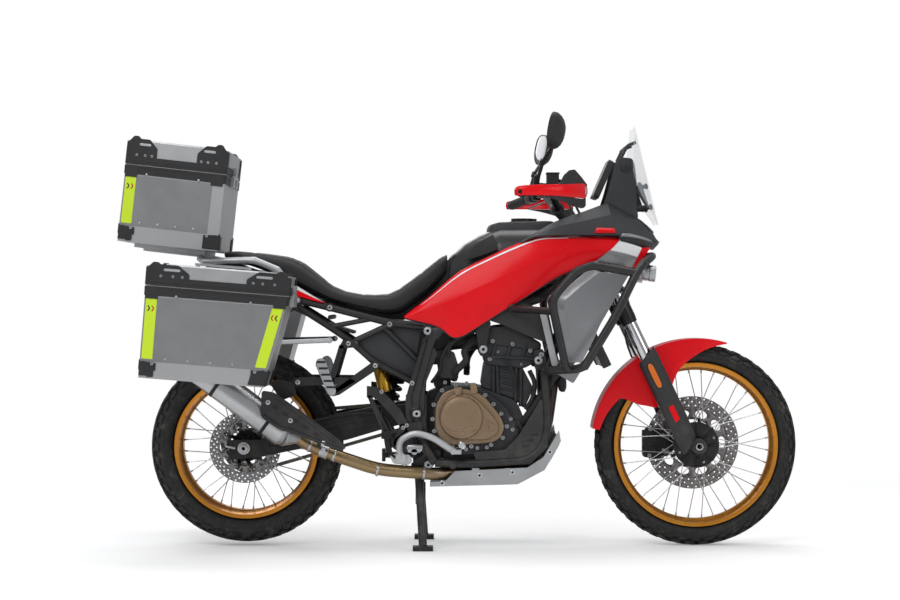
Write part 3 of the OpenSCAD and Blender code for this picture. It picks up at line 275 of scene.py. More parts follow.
@dataclass(frozen=True)
class Finish:
    """A solid finish: two close tones, a relief, and dust that gathers low down."""

    name: str
    colour: Colour
    tone: Colour
    rough: float
    metal: float = 0.0
    grain: Grain = Grain.POWDER
    coat: float = 0.0
    dust: float = 0.12
    shine: float = 0.5
    slot: str = ""

    def relief(self, g: Graph) -> tuple[Wire, float]:
        """The height of the grain.

        Args:
            g: The material's graph.

        Returns:
            The height from 0 to 1, and how deep it is in metres.
        """
        p = g.place()
        match self.grain:
            case Grain.GLOSS:
                return g.noise(p, 170.0, 2.0), 0.00006
            case Grain.CAST:
                pits = g.cells(p, 420.0).ramp(0.0, 0.6)
                return pits * 0.5 + g.noise(p, 210.0, 4.0) * 0.8, 0.0007
            case Grain.BRUSHED:
                streaks = g.noise(g.scaled((9.0, 420.0, 1100.0)), 1.0, 3.0, 0.7)
                return streaks + g.noise(g.scaled((30.0, 1500.0, 2600.0)), 1.0, 2.0) * 0.5, 0.00012
            case Grain.MOULDED:
                return g.cells(p, 900.0).ramp(0.05, 0.7) + g.noise(p, 260.0, 2.0) * 0.4, 0.00025
            case Grain.HIDE:
                warp = g.noise(p, 90.0, 2.0)
                bent = g.add("ShaderNodeVectorMath", {"operation": "ADD"}, [p, g.add(
                    "ShaderNodeCombineXYZ", {}, [warp * 0.004, warp * 0.003, warp * 0.002])])
                return g.cells(bent, 330.0).ramp(0.0, 0.55), 0.0006
        return g.noise(p, 650.0, 3.0), 0.00022

    def build(self) -> bpy.types.Material:
        """The material, made once.

        Returns:
            The material.
        """
        if self.name not in _made:
            g = Graph(bpy.data.materials.new(self.name))
            _made[self.name] = g.finish(**self.paint(g, g.place()))
        return _made[self.name]

    def paint(self, g: Graph, p: Wire) -> dict[str, object]:
        """What feeds the surface.

        Args:
            g: The material's graph.
            p: The point's own place.

        Returns:
            A value for each of the surface's sockets that is set.
        """
        _, _, z = g.axes(p)
        broad = g.noise(p, 7.0, 4.0)
        fine = g.noise(p, 95.0, 4.0)
        film = (1.0 - z.ramp(0.05, 0.8)) * g.noise(p, 21.0, 6.0, 0.65).ramp(0.42, 0.72) * self.dust
        colour = g.blend(broad.ramp(0.3, 0.7), self.colour, self.tone)
        colour = g.blend(film, colour, DUST)
        height, depth = self.relief(g)
        rough = self.rough + (fine - 0.5) * 0.14 + (broad - 0.5) * 0.08 + film * 0.4
        if self.grain is Grain.BRUSHED:
            rough = rough + (height - 0.75) * 0.12
        sockets: dict[str, object] = {
            "Base_Color": colour,
            "Roughness": rough.most(0.04).least(1.0),
            "Metallic": self.metal if self.dust == 0 else self.metal * (1.0 - film * 0.7),
            "Normal": g.bump(height, depth),
            "Specular_IOR_Level": self.shine,
        }
        if self.coat:
            sockets |= {"Coat_Weight": self.coat, "Coat_Roughness": 0.05}
        return sockets


RED = Finish("red_paint", (0.80, 0.002, 0.008), (0.73, 0.002, 0.007), 0.3, grain=Grain.GLOSS, coat=0.07,
             dust=0.0, shine=0.2, slot="paint_red")
WHITE = Finish("white_paint", (0.84, 0.84, 0.85), (0.79, 0.79, 0.81), 0.26, grain=Grain.GLOSS, coat=0.4,
               dust=0.0, slot="paint_red")
SHROUD = Finish("silver_grey_paint", (0.27, 0.275, 0.285), (0.235, 0.24, 0.25), 0.33, metal=0.35,
                grain=Grain.GLOSS, coat=0.3, dust=0.0, slot="shroud_grey")
SILVER_PAINT = Finish("silver_paint", (0.55, 0.56, 0.57), (0.48, 0.49, 0.5), 0.36, metal=0.5,
                      grain=Grain.GLOSS, dust=0.05, slot="shroud_grey")
CHARCOAL = Finish("charcoal_moulding", (0.028, 0.029, 0.032), (0.020, 0.021, 0.024), 0.48,
                  grain=Grain.MOULDED, dust=0.0, slot="cowl_grey")
TANK_BLACK = Finish("tank_black", (0.018, 0.018, 0.020), (0.012, 0.012, 0.013), 0.36, grain=Grain.GLOSS,
                    coat=0.25, dust=0.0, slot="tank_black")
BLACK_PLASTIC = Finish("black_moulding", (0.016, 0.016, 0.017), (0.011, 0.011, 0.012), 0.52,
                       grain=Grain.MOULDED, dust=0.06, slot="mirror_black")
GUARD = Finish("guard_moulding", (0.024, 0.024, 0.025), (0.017, 0.017, 0.018), 0.5, grain=Grain.MOULDED,
               dust=0.16, slot="guard_grey")
POWDER = Finish("powder_black", (0.016, 0.016, 0.017), (0.010, 0.010, 0.011), 0.42, grain=Grain.POWDER,
                dust=0.14, slot="frame_black")
BAR_BLACK = Finish("satin_black", (0.014, 0.014, 0.015), (0.009, 0.009, 0.010), 0.34, metal=0.4,
                   grain=Grain.POWDER, dust=0.04, slot="bar_black")
ENGINE_CAST = Finish("engine_casting", (0.045, 0.046, 0.050), (0.030, 0.031, 0.034), 0.5, metal=0.65,
                     grain=Grain.CAST, dust=0.16, slot="engine_grey")
BRONZE = Finish("bronze_cover", (0.29, 0.205, 0.13), (0.25, 0.17, 0.10), 0.4, metal=0.6, grain=Grain.CAST,
                dust=0.12, slot="cover_bronze")
BRUSHED = Finish("brushed_sheet", (0.31, 0.315, 0.32), (0.26, 0.265, 0.27), 0.42, metal=0.85,
                 grain=Grain.BRUSHED, dust=0.05, slot="case_aluminium")
SHEET = Finish("bright_sheet", (0.50, 0.505, 0.51), (0.43, 0.435, 0.44), 0.4, metal=0.8, grain=Grain.BRUSHED,
               dust=0.04, slot="case_aluminium")
DISC = Finish("brake_disc", (0.26, 0.26, 0.265), (0.20, 0.20, 0.205), 0.34, metal=0.9, grain=Grain.BRUSHED,
              dust=0.05, slot="hub_black")
RIM_GOLD = Finish("orange_gold", (0.66, 0.27, 0.030), (0.58, 0.22, 0.022), 0.3, metal=0.85,
                  grain=Grain.POWDER, dust=0.1, slot="rim_orange")
STEEL = Finish("bright_steel", (0.55, 0.55, 0.56), (0.45, 0.45, 0.46), 0.26, metal=1.0, grain=Grain.BRUSHED,
               dust=0.05, slot="control_alloy")
ALLOY = Finish("satin_alloy", (0.50, 0.51, 0.52), (0.42, 0.43, 0.44), 0.4, metal=0.85, grain=Grain.CAST,
               dust=0.08, slot="control_alloy")
CHROME = Finish("hard_chrome", (0.62, 0.62, 0.64), (0.56, 0.56, 0.58), 0.1, metal=1.0, grain=Grain.GLOSS,
                dust=0.0, slot="fork_steel")
HUB_BLACK = Finish("hub_black", (0.02, 0.02, 0.021), (0.014, 0.014, 0.015), 0.4, metal=0.6, grain=Grain.CAST,
                   dust=0.12, slot="hub_black")
SKID = Finish("skid_sheet", (0.45, 0.46, 0.47), (0.36, 0.37, 0.38), 0.38, metal=0.8, grain=Grain.BRUSHED,
              dust=0.16, slot="skid_aluminium")
SEAT_COVER = Finish("seat_cover", (0.016, 0.016, 0.018), (0.012, 0.012, 0.013), 0.62, grain=Grain.HIDE,
                    dust=0.0, slot="seat_vinyl")
CHAIN = Finish("oiled_chain", (0.16, 0.15, 0.13), (0.09, 0.085, 0.075), 0.36, metal=0.9, grain=Grain.CAST,
               dust=0.25, slot="chain_steel")
PIPE_DARK = Finish("heated_pipe", (0.055, 0.045, 0.04), (0.035, 0.03, 0.03), 0.42, metal=0.85,
                   grain=Grain.BRUSHED, dust=0.2, slot="pipe_gold")
PIPE_GOLD = Finish("tinted_pipe", (0.36, 0.25, 0.12), (0.27, 0.20, 0.13), 0.3, metal=0.95,
                   grain=Grain.BRUSHED, dust=0.14, slot="pipe_gold")
MUFFLER = Finish("muffler_sheet", (0.55, 0.56, 0.57), (0.47, 0.48, 0.49), 0.3, metal=0.9, grain=Grain.BRUSHED,
                 dust=0.1, slot="muffler_silver")
RUBBER = Finish("soft_rubber", (0.014, 0.014, 0.014), (0.020, 0.019, 0.018), 0.72, grain=Grain.MOULDED,
                dust=0.1, slot="tyre_rubber")
GOLD = Finish("gold_anodised", (0.62, 0.36, 0.05), (0.55, 0.30, 0.04), 0.28, metal=0.95, grain=Grain.BRUSHED,
              dust=0.05, slot="bar_black")


@dataclass(frozen=True)
class CornerSheet(Finish):
    """Bright sheet metal whose raised corner plates, outside a distance from the centre plane, are black."""

    edge: float = 0.4902

    def paint(self, g: Graph, p: Wire) -> dict[str, object]:
        """Black outside the edge, and brushed metal inside it."""
        _, y, _ = g.axes(p)
        plates = y.size().over(self.edge)
        height, depth = self.relief(g)
        metal = g.blend(g.noise(p, 7.0, 4.0), self.colour, self.tone)
        return dict(
            Base_Color=g.blend(plates, metal, BLACK_PLASTIC.colour),
            Roughness=self.rough + (height - 0.75) * 0.12 + plates * 0.1,
            Metallic=self.metal * (1.0 - plates),
            Normal=g.bump(height, depth))


PANNIER_SHEET = CornerSheet("pannier_sheet", SHEET.colour, SHEET.tone, SHEET.rough, metal=SHEET.metal,
                            grain=SHEET.grain, slot=SHEET.slot)
TOP_SHEET = replace(PANNIER_SHEET, name="top_case_sheet", edge=0.2002)


@dataclass(frozen=True)
class TyreRubber(Finish):
    """Tyre rubber: greyer where the ground wears the blocks, with dust between them."""

    def paint(self, g: Graph, p: Wire) -> dict[str, object]:
        """Worn block tops, dirt and fine grain."""
        worn = g.noise(p, 60.0, 5.0).ramp(0.4, 0.75)
        dirt = g.noise(p, 18.0, 6.0, 0.7).ramp(0.5, 0.8) * self.dust
        colour = g.blend(worn, self.colour, self.tone)
        height = g.noise(p, 420.0, 4.0) + g.cells(p, 240.0).ramp(0.0, 0.5) * 0.3
        return dict(
            Base_Color=g.blend(dirt, colour, DUST),
            Roughness=0.78 + (g.noise(p, 130.0) - 0.5) * 0.2,
            Normal=g.bump(height, 0.0005))


TYRE = TyreRubber("tyre_rubber", (0.013, 0.013, 0.013), (0.026, 0.025, 0.024), 0.8, dust=0.28,
                  slot="tyre_rubber")


@dataclass(frozen=True)
class Clear(Finish):
    """Clear moulded sheet or lens: thin, slightly tinted, with fine scratches in its gloss."""

    alpha: float = 0.25

    def paint(self, g: Graph, p: Wire) -> dict[str, object]:
        """A tint, its fine scratches and a slight waviness."""
        scratches = g.noise(g.scaled((60.0, 700.0, 60.0)), 1.0, 3.0)
        return dict(
            Base_Color=g.blend(g.noise(p, 12.0), self.colour, self.tone),
            Roughness=self.rough + scratches * 0.05,
            Alpha=(self.alpha + (scratches - 0.5) * 0.05).least(1.0),
            Normal=g.bump(g.noise(p, 9.0, 1.0), 0.0004),
            Coat_Weight=0.5)


SCREEN = Clear("clear_screen", (0.80, 0.84, 0.87), (0.74, 0.79, 0.83), 0.05, dust=0.0, alpha=0.16,
               slot="clear_screen")
LENS = Clear("clear_lens", (0.82, 0.85, 0.88), (0.78, 0.81, 0.85), 0.04, dust=0.0, alpha=0.35,
             slot="lamp_clear")
AMBER = Clear("amber_lens", (0.85, 0.20, 0.01), (0.75, 0.15, 0.01), 0.12, dust=0.0, alpha=0.92,
              slot="guard_grey")
SMOKED = Clear("smoked_glass", (0.010, 0.011, 0.014), (0.014, 0.015, 0.019), 0.06, dust=0.0, alpha=1.0,
               slot="display_black")
RED_LENS = Clear("red_lens", (0.45, 0.006, 0.010), (0.35, 0.004, 0.008), 0.1, dust=0.0, alpha=0.95,
                 slot="cowl_grey")
MIRROR = Finish("mirror_glass", (0.10, 0.105, 0.115), (0.09, 0.095, 0.10), 0.03, metal=1.0, grain=Grain.GLOSS,
                dust=0.0, slot="mirror_black")


@dataclass(frozen=True)
class Perforated(Finish):
    """Honeycomb of fine cells under a bright skin, as on reflecting tape."""

    def paint(self, g: Graph, p: Wire) -> dict[str, object]:
        """Cells that show in the colour and the relief."""
        edge = g.cells(p, 260.0, "F1").ramp(0.3, 0.62)
        return dict(
            Base_Color=g.blend(edge * 0.5, self.colour, self.tone),
            Roughness=self.rough + edge * 0.12,
            Normal=g.bump(edge, 0.0001),
            Coat_Weight=0.4)


TAPE = Perforated("lime_tape", (0.64, 0.86, 0.012), (0.52, 0.74, 0.02), 0.32, slot="case_aluminium")
TAPE_RED = Perforated("red_tape", (0.55, 0.02, 0.015), (0.42, 0.015, 0.012), 0.32, slot="case_aluminium")


# ---- Shapes ----


@dataclass
class Shell:
    """Points and faces of a shape, in metres."""

    points: Array
    faces: Faces

    def __add__(self, other: "Shell") -> "Shell":
        """Both shapes in one."""
        shift = len(self.points)
        moved = [tuple(k + shift for k in face) for face in other.faces]
        return Shell(np.vstack([self.points, other.points]), self.faces + moved)

    def mirrored(self) -> "Shell":
        """The shape on the machine's other side, with its faces turned to stay outward."""
        return Shell(self.points * (1, -1, 1), [face[::-1] for face in self.faces])

    def both(self) -> "Shell":
        """The shape and its mirror image."""
        return self + self.mirrored()


def joined(shells: Iterable[Shell]) -> Shell:
    """All the shapes in one, in a single pass."""
    points, faces, shift = [], [], 0
    for shell in shells:
        points.append(shell.points)
        faces += [tuple(k + shift for k in face) for face in shell.faces]
        shift += len(shell.points)
    return Shell(np.vstack(points), faces)


def copies(shell: Shell, places: Array) -> Shell:
    """Copies of a small shape.

    Args:
        shell: The shape, n points.
        places: The points of every copy, m by n by 3.

    Returns:
        All m copies in one shape.
    """
    count = len(shell.points)
    quads = np.array([face for face in shell.faces if len(face) == 4])
    other = [face for face in shell.faces if len(face) != 4]
    shifts = np.arange(len(places))[:, None, None] * count
    faces = [tuple(f) for f in (quads[None] + shifts).reshape(-1, 4).tolist()] if len(quads) else []
    for face in other:
        faces += [tuple(f) for f in (np.array(face)[None] + shifts[:, 0]).tolist()]
    return Shell(places.reshape(-1, 3), faces)


def sheet(points: Array, around: bool = False, along: bool = False, caps: bool = False) -> Shell:
    """Quads over a grid of points.

    Args:
        points: Rows by columns by 3.
        around: Whether the last column meets the first.
        along: Whether the last row meets the first.
        caps: Whether the first and last rows are filled.

    Returns:
        The surface.
    """
    rows, columns = points.shape[:2]
    index = np.arange(rows * columns).reshape(rows, columns)
    a = np.vstack([index, index[:1]]) if along else index
    a = np.hstack([a, a[:, :1]]) if around else a
    quads = np.stack([a[:-1, :-1], a[1:, :-1], a[1:, 1:], a[:-1, 1:]], -1).reshape(-1, 4)
    faces = [tuple(q) for q in quads.tolist()]
    if caps:
        faces += [tuple(index[0].tolist()), tuple(index[-1][::-1].tolist())]
    return Shell(points.reshape(-1, 3), faces)


def unit(v: Sequence[float]) -> Array:
    """The direction of a vector."""
    v = np.asarray(v, float)
    return v / np.linalg.norm(v)


def basis(direction: Sequence[float]) -> tuple[Array, Array]:
    """Two directions square to a direction and to each other."""
    d = unit(direction)
    side = np.cross(d, (0, 1, 0) if abs(d[1]) < 0.9 else (1, 0, 0))
    side = unit(side)
    return side, np.cross(d, side)


def revolve(profile: Sequence[tuple[float, float]], centre: Sequence[float],
            axis: Sequence[float] = (0, 1, 0), steps: int = 48, closed: bool = False) -> Shell:
    """A profile turned about an axis.

    Args:
        profile: Pairs of distance along the axis and radius.
        centre: Where the axis starts.
        axis: Its direction.
        steps: How many steps go round.
        closed: Whether the profile's end meets its start.

    Returns:
        The surface; its ends are filled where the profile is open.
    """
    along, radius = np.array(profile, float).T
    u, v = basis(axis)
    t = np.linspace(0, TAU, steps, endpoint=False)
    ring = np.cos(t)[:, None] * u + np.sin(t)[:, None] * v
    points = np.asarray(centre) + along[:, None, None] * unit(axis) + radius[:, None, None] * ring
    return sheet(points, around=True, along=closed, caps=not closed)


def smooth_path(points: Sequence[Sequence[float]], per_span: int = 8) -> Array:
    """A centripetal curve through points: a Catmull-Rom cubic on each span."""
    p = np.asarray(points, float)
    p = np.vstack([2 * p[0] - p[1], p, 2 * p[-1] - p[-2]])
    t = np.linspace(0, 1, per_span, endpoint=False)[:, None]
    a, b, c, d = p[:-3, None], p[1:-2, None], p[2:-1, None], p[3:, None]
    curve = 0.5 * (2 * b + (c - a) * t + (2 * a - 5 * b + 4 * c - d) * t**2 + (3 * b - a - 3 * c + d) * t**3)
    return np.vstack([curve.reshape(-1, p.shape[1]), p[-2]])


def filleted(points: Sequence[Sequence[float]], radius: float, steps: int = 6, loop: bool = False) -> Array:
    """A path whose corners are rounded by a quadratic curve between points near each corner.

    Args:
        points: The corners.
        radius: How far from a corner its curve starts, at most 0.45 of a side.
        steps: How many points each corner gets.
        loop: Whether the path is closed.

    Returns:
        The rounded path.
    """
    p = np.asarray(points, float)
    inner = range(len(p)) if loop else range(1, len(p) - 1)
    t = np.linspace(0, 1, steps)[:, None]
    out = [] if loop else [p[:1]]
    for k in inner:
        before, here, after = p[k - 1], p[k], p[(k + 1) % len(p)]
        left, right = np.linalg.norm(before - here), np.linalg.norm(after - here)
        a = here + (before - here) * min(radius / left, 0.45)
        b = here + (after - here) * min(radius / right, 0.45)
        out.append((1 - t) ** 2 * a + 2 * t * (1 - t) * here + t**2 * b)
    return np.vstack(out if loop else out + [p[-1:]])


def frames(path: Array, up: Sequence[float] | None = None) -> tuple[Array, Array]:
    """Two directions across a path at each point, steered by a fixed up where one is given."""
    tangent = np.gradient(path, axis=0)
    tangent /= np.linalg.norm(tangent, axis=1)[:, None]
    if up is not None:
        side = np.cross(tangent, np.asarray(up, float))
        side /= np.linalg.norm(side, axis=1)[:, None]
        return side, np.cross(side, tangent)
    u = np.empty_like(path)
    u[0], _ = basis(tangent[0])
    for k in range(1, len(path)):
        turned = u[k - 1] - tangent[k] * (u[k - 1] @ tangent[k])
        u[k] = turned / np.linalg.norm(turned)
    return u, np.cross(tangent, u)


def sweep(path: Array, section: Array, size: object = 1.0, up: Sequence[float] | None = None,
          caps: bool = True) -> Shell:
    """A flat section carried along a path, at a size that may change along it."""
    u, v = frames(path, up)
    size = np.broadcast_to(np.asarray(size, float), len(path))[:, None, None]
    a, b = section.T
    points = path[:, None] + size * (a[None, :, None] * u[:, None] + b[None, :, None] * v[:, None])
    return sheet(points, around=True, caps=caps)


def squared(v: Array, power: float) -> Array:
    """Cosines or sines raised to a power with their signs kept, which squares a round outline below 1."""
    return np.sign(v) * np.abs(v) ** power


def circle(radius: float, steps: int = 14, squash: float = 1.0) -> Array:
    """A round or oval section."""
    t = np.linspace(0, TAU, steps, endpoint=False)
    return np.stack([radius * np.cos(t), radius * squash * np.sin(t)], 1)


def tube(points: Sequence[Sequence[float]], radius: float, bend: float = 0.03, sides: int = 14) -> Shell:
    """A round tube through points, with bent corners."""
    path = filleted(points, bend) if len(points) > 2 else np.asarray(points, float)
    return sweep(path, circle(radius, sides))


def hose(points: Sequence[Sequence[float]], radius: float, sides: int = 10) -> Shell:
    """A round flexible line on a smooth curve through points."""
    return sweep(smooth_path(points, 7), circle(radius, sides))


def prism(outline: Array, low: float, high: float) -> Shell:
    """A side-view outline of (x, z) made thick from y = low to y = high."""
    near = np.insert(np.asarray(outline, float), 1, low, axis=1)
    far = np.insert(np.asarray(outline, float), 1, high, axis=1)
    return sheet(np.stack([near, far]), around=True, caps=True)


def block(low: Sequence[float], high: Sequence[float]) -> Shell:
    """A box between two corners."""
    (x0, y0, z0), (x1, y1, z1) = low, high
    points = np.array([(x, y, z) for x in (x0, x1) for y in (y0, y1) for z in (z0, z1)], float)
    faces = [(0, 1, 3, 2), (4, 6, 7, 5), (0, 4, 5, 1), (2, 3, 7, 6), (0, 2, 6, 4), (1, 5, 7, 3)]
    return Shell(points, faces)


def bolt(centre: Sequence[float], axis: Sequence[float], radius: float = 0.006,
         height: float = 0.005) -> Shell:
    """A domed cap screw with a six-sided socket, seen from the end that axis points to."""
    c = np.asarray(centre, float)
    head = revolve([(0, radius * 1.25), (0.0012, radius * 1.25), (0.0012, radius), (height * 0.8, radius),
                    (height, radius * 0.8), (height, radius * 0.5)], c, axis, 16)
    socket = revolve([(height, radius * 0.5), (height * 0.45, radius * 0.46)], c, axis, 6)
    return head + socket


def put(name: str, shell: Shell, finish: Finish, body: str, replaces: Sequence[str] = (), wall: float = 0.0,
        outward: float = 1.0, edge: float = 0.0, rounds: int = 0, crease: float = 34.0,
        steps: int = 2) -> bpy.types.Object:
    """Makes a piece of the machine from a shape.

    Args:
        name: The piece's name.
        shell: Its shape.
        finish: Its finish.
        body: The body it moves with.
        replaces: CAD nodes that it stands for.
        wall: Thickness given to an open surface.
        outward: Where the wall goes: 1 all outside, -1 all inside.
        edge: Bevel width.
        rounds: Levels of subdivision.
        crease: Angle in degrees past which an edge stays sharp.
        steps: Bevel segments.

    Returns:
        The object.
    """
    mesh = bpy.data.meshes.new(name)
    mesh.from_pydata(shell.points, [], shell.faces)
    build = bmesh.new()
    build.from_mesh(mesh)
    bmesh.ops.remove_doubles(build, verts=build.verts, dist=2e-6)
    bmesh.ops.recalc_face_normals(build, faces=build.faces)
    build.to_mesh(mesh)
    build.free()
    piece = bpy.data.objects.new(name, mesh)
    bpy.context.scene.collection.objects.link(piece)
    mesh.materials.append(finish.build())
    if wall:
        solid = piece.modifiers.new("wall", "SOLIDIFY")
        solid.thickness = wall
        solid.offset = outward
        solid.use_even_offset = True
    if edge:
        bevel = piece.modifiers.new("edge", "BEVEL")
        bevel.width = edge
        bevel.segments = steps
        bevel.limit_method = "ANGLE"
        bevel.angle_limit = math.radians(35)
    if rounds:
        smooth = piece.modifiers.new("smooth", "SUBSURF")
        smooth.levels = rounds
        smooth.render_levels = rounds
    mesh.shade_smooth()
    mesh.set_sharp_from_angle(angle=math.radians(crease))
    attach(piece, body)
    if replaces:
        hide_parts(*replaces)
    LOG.info("%s: %d faces on %s", name, len(mesh.polygons), body)
    return piece


def dress(nodes: Sequence[str], finish: Finish) -> None:
    """Gives CAD nodes a finish and leaves their shape alone."""
    for name in nodes:
        for slot in frame["nodes"][name].material_slots:
            slot.material = finish.build()


def outer(points: Sequence[tuple[float, float]], y: float) -> list[tuple[float, float, float]]:
    """Side-view points in millimetres at one distance from the centre plane, in metres."""
    return [(x * MM, y * MM, z * MM) for x, z in points]


def flat(points: Sequence[tuple[float, float]]) -> Array:
    """Side-view points in millimetres as (x, z) in metres."""
    return np.array(points, float) * MM


# ---- Wheels ----


def rods(starts: Array, ends: Array, radius: float, sides: int = 6) -> Shell:
    """Straight round rods between rows of points."""
    d = ends - starts
    d = d / np.linalg.norm(d, axis=1)[:, None]
    u = np.cross(d, (0.0, 0.0, 1.0)) + np.cross(d, (0.013, 1.0, 0.0)) * 0.02
    u /= np.linalg.norm(u, axis=1)[:, None]
    v = np.cross(d, u)
    t = np.linspace(0, TAU, sides, endpoint=False)
    ring = radius * (np.cos(t)[None, :, None] * u[:, None] + np.sin(t)[None, :, None] * v[:, None])
    one = sheet(np.zeros((2, sides, 3)), around=True, caps=True)
    places = np.stack([starts[:, None] + ring, ends[:, None] + ring], 1).reshape(len(starts), -1, 3)
    return copies(one, places)


@dataclass
class Wheel:
    """A spoked wheel: block tyre, rim, hub, spokes and a drilled brake disc, in metres."""

    end: str
    disc_y: float
    disc_r: float
    blocks: int
    tread_rows: tuple[float, ...]
    spokes: int = 36
    block_h: float = 0.0115
    centre: Array = field(init=False)
    tyre_r: float = field(init=False)
    half: float = field(init=False)
    rim_r: float = field(init=False)
    rim_half: float = field(init=False)

    def __post_init__(self) -> None:
        """Reads the wheel's place and sizes from the frame."""
        low, high = (np.array(c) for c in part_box(f"{self.end}_tyre"))
        self.centre = (low + high) / 2
        self.tyre_r = (high[2] - low[2]) / 2
        self.half = (high[1] - low[1]) / 2
        low, high = (np.array(c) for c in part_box(f"{self.end}_rim"))
        self.rim_r = (high[2] - low[2]) / 2
        self.rim_half = (high[1] - low[1]) / 2

    @property
    def body(self) -> str:
        """The body that turns."""
        return f"{self.end}_wheel"

    def polar(self, radius: Array, angle: Array, y: Array) -> Array:
        """Points at a radius and angle about the axle."""
        flat_y = np.broadcast_to(y, np.broadcast(radius, angle).shape)
        return self.centre + np.stack([radius * np.cos(angle), flat_y, radius * np.sin(angle)], -1)

    def carcass(self, lean: Array, lift: float = 0.0) -> tuple[Array, Array]:
        """The tyre's section: an oval above its widest line and a tighter one below.

        Args:
            lean: Angle round the section; 0 is the crown.
            lift: Height above the carcass.

        Returns:
            Distance from the wheel's centre plane, and radius.
        """
        wide = self.rim_r + (self.tyre_r - self.rim_r) * 0.46
        crown = self.tyre_r - self.block_h - wide
        y = (self.half - self.block_h * 0.55 + lift) * np.sin(lean)
        up = np.where(np.abs(lean) < math.pi / 2, crown + lift, wide - self.rim_r + 0.004)
        return squared(y, 0.92) * self.half ** 0.08, wide + up * np.cos(lean)

    def tyre(self) -> None:
        """The carcass turned about the axle, and rows of tapered blocks set on it."""
        lean = np.linspace(-2.84, 2.84, 52)
        y, r = self.carcass(lean)
        angle = np.linspace(0, TAU, 120, endpoint=False)
        shells = [sheet(self.polar(r[:, None], angle[None], y[:, None]), around=True, along=True)]
        for ring in (1.62, 1.78, -1.62, -1.78):
            y, r = self.carcass(np.array([ring - 0.02, ring, ring + 0.02]), 0.0014)
            shells.append(sheet(self.polar(r[:, None], angle[None], y[:, None]), around=True, along=True))
        pitch = TAU / self.blocks
        corners = np.array([(-1, -1), (1, -1), (1, 1), (-1, 1)], float)
        one = sheet(np.zeros((3, 4, 3)), around=True, caps=True)
        for row, at in enumerate(self.tread_rows):
            shoulder = abs(at) > 0.75
            wide = 0.20 if shoulder else 0.17
            long = 0.30 if shoulder else 0.33
            start = np.arange(self.blocks) * pitch + (row % 2) * pitch / 2
            levels = []
            for share, grow in ((-0.35, 1.06), (0.82, 0.98), (1.0, 0.88)):
                around = start[:, None] + corners[:, 0] * pitch * long * grow
                around = around + corners[:, 1] * 0.011 * np.sign(at)
                side = np.full_like(around, at) + corners[:, 1] * wide * grow
                y, r = self.carcass(side, self.block_h * share * (0.62 if shoulder else 1.0))
                levels.append(self.polar(r, around, y))
            shells.append(copies(one, np.stack(levels, 1).reshape(self.blocks, -1, 3)))
        put(f"{self.end}_tyre_blocks", joined(shells), TYRE, self.body, [f"{self.end}_tyre"], crease=30)

    def rim(self) -> None:
        """Rim with rolled flanges, a drop centre and a raised bed for the spokes."""
        w, r = self.rim_half, self.rim_r
        profile = [(-w, r - 0.001), (-w + 0.001, r), (-w + 0.003, r - 0.001), (-w + 0.004, r - 0.011),
                   (-w * 0.5, r - 0.013), (-w * 0.3, r - 0.019), (w * 0.3, r - 0.019), (w * 0.5, r - 0.013),
                   (w - 0.004, r - 0.011), (w - 0.003, r - 0.001), (w - 0.001, r), (w, r - 0.001),
                   (w, r - 0.006), (w - 0.002, r - 0.014), (w * 0.55, r - 0.018), (w * 0.3, r - 0.026),
                   (-w * 0.3, r - 0.026), (-w * 0.55, r - 0.018), (-w + 0.002, r - 0.014), (-w, r - 0.006)]
        shell = revolve(profile, self.centre, steps=128, closed=True)
        put(f"{self.end}_rim_ring", shell, RIM_GOLD, self.body, [f"{self.end}_rim"], crease=28)

    def lacing(self) -> None:
        """Crossed spokes from two hub flanges to the rim, each with its nipple."""
        k = np.arange(self.spokes)
        side = np.where(k % 2 == 0, 1.0, -1.0)
        cross = np.where((k // 2) % 2 == 0, 1.0, -1.0)
        rim_angle = (k + 0.5) * TAU / self.spokes
        hub_angle = rim_angle - cross * 0.72
        hub_r = 0.047
        starts = self.polar(np.full(self.spokes, hub_r), hub_angle, side * 0.030)
        ends = self.polar(np.full(self.spokes, self.rim_r - 0.024), rim_angle, side * self.rim_half * 0.14)
        along = (ends - starts) / np.linalg.norm(ends - starts, axis=1)[:, None]
        put(f"{self.end}_spokes", rods(starts, ends, 0.0017, 8), STEEL, self.body)
        put(f"{self.end}_nipples", rods(ends - along * 0.013, ends + along * 0.003, 0.0031, 6), STEEL,
            self.body)
        heads = rods(starts - along * 0.006, starts + along * 0.001, 0.0034, 6)
        put(f"{self.end}_spoke_heads", heads, STEEL, self.body)

    def hub(self) -> None:
        """Waisted hub barrel with drilled flanges and bearing covers."""
        out = 0.046
        profile = [(-out, 0.013), (-out, 0.027), (-0.039, 0.031), (-0.036, 0.034), (-0.034, 0.052),
                   (-0.027, 0.053), (-0.024, 0.038), (-0.010, 0.031), (0.010, 0.031), (0.024, 0.038),
                   (0.027, 0.053), (0.034, 0.052), (0.036, 0.034), (0.039, 0.031), (out, 0.027), (out, 0.013)]
        shell = revolve(profile, self.centre, steps=64)
        put(f"{self.end}_hub_barrel", shell, HUB_BLACK, self.body, [f"{self.end}_hub"], crease=26)
        spindle = revolve([(-0.098, 0.0075), (-0.098, 0.0125), (0.098, 0.0125), (0.098, 0.0075)], self.centre,
                          steps=28, closed=True)
        put(f"{self.end}_spindle", spindle, STEEL, self.body)

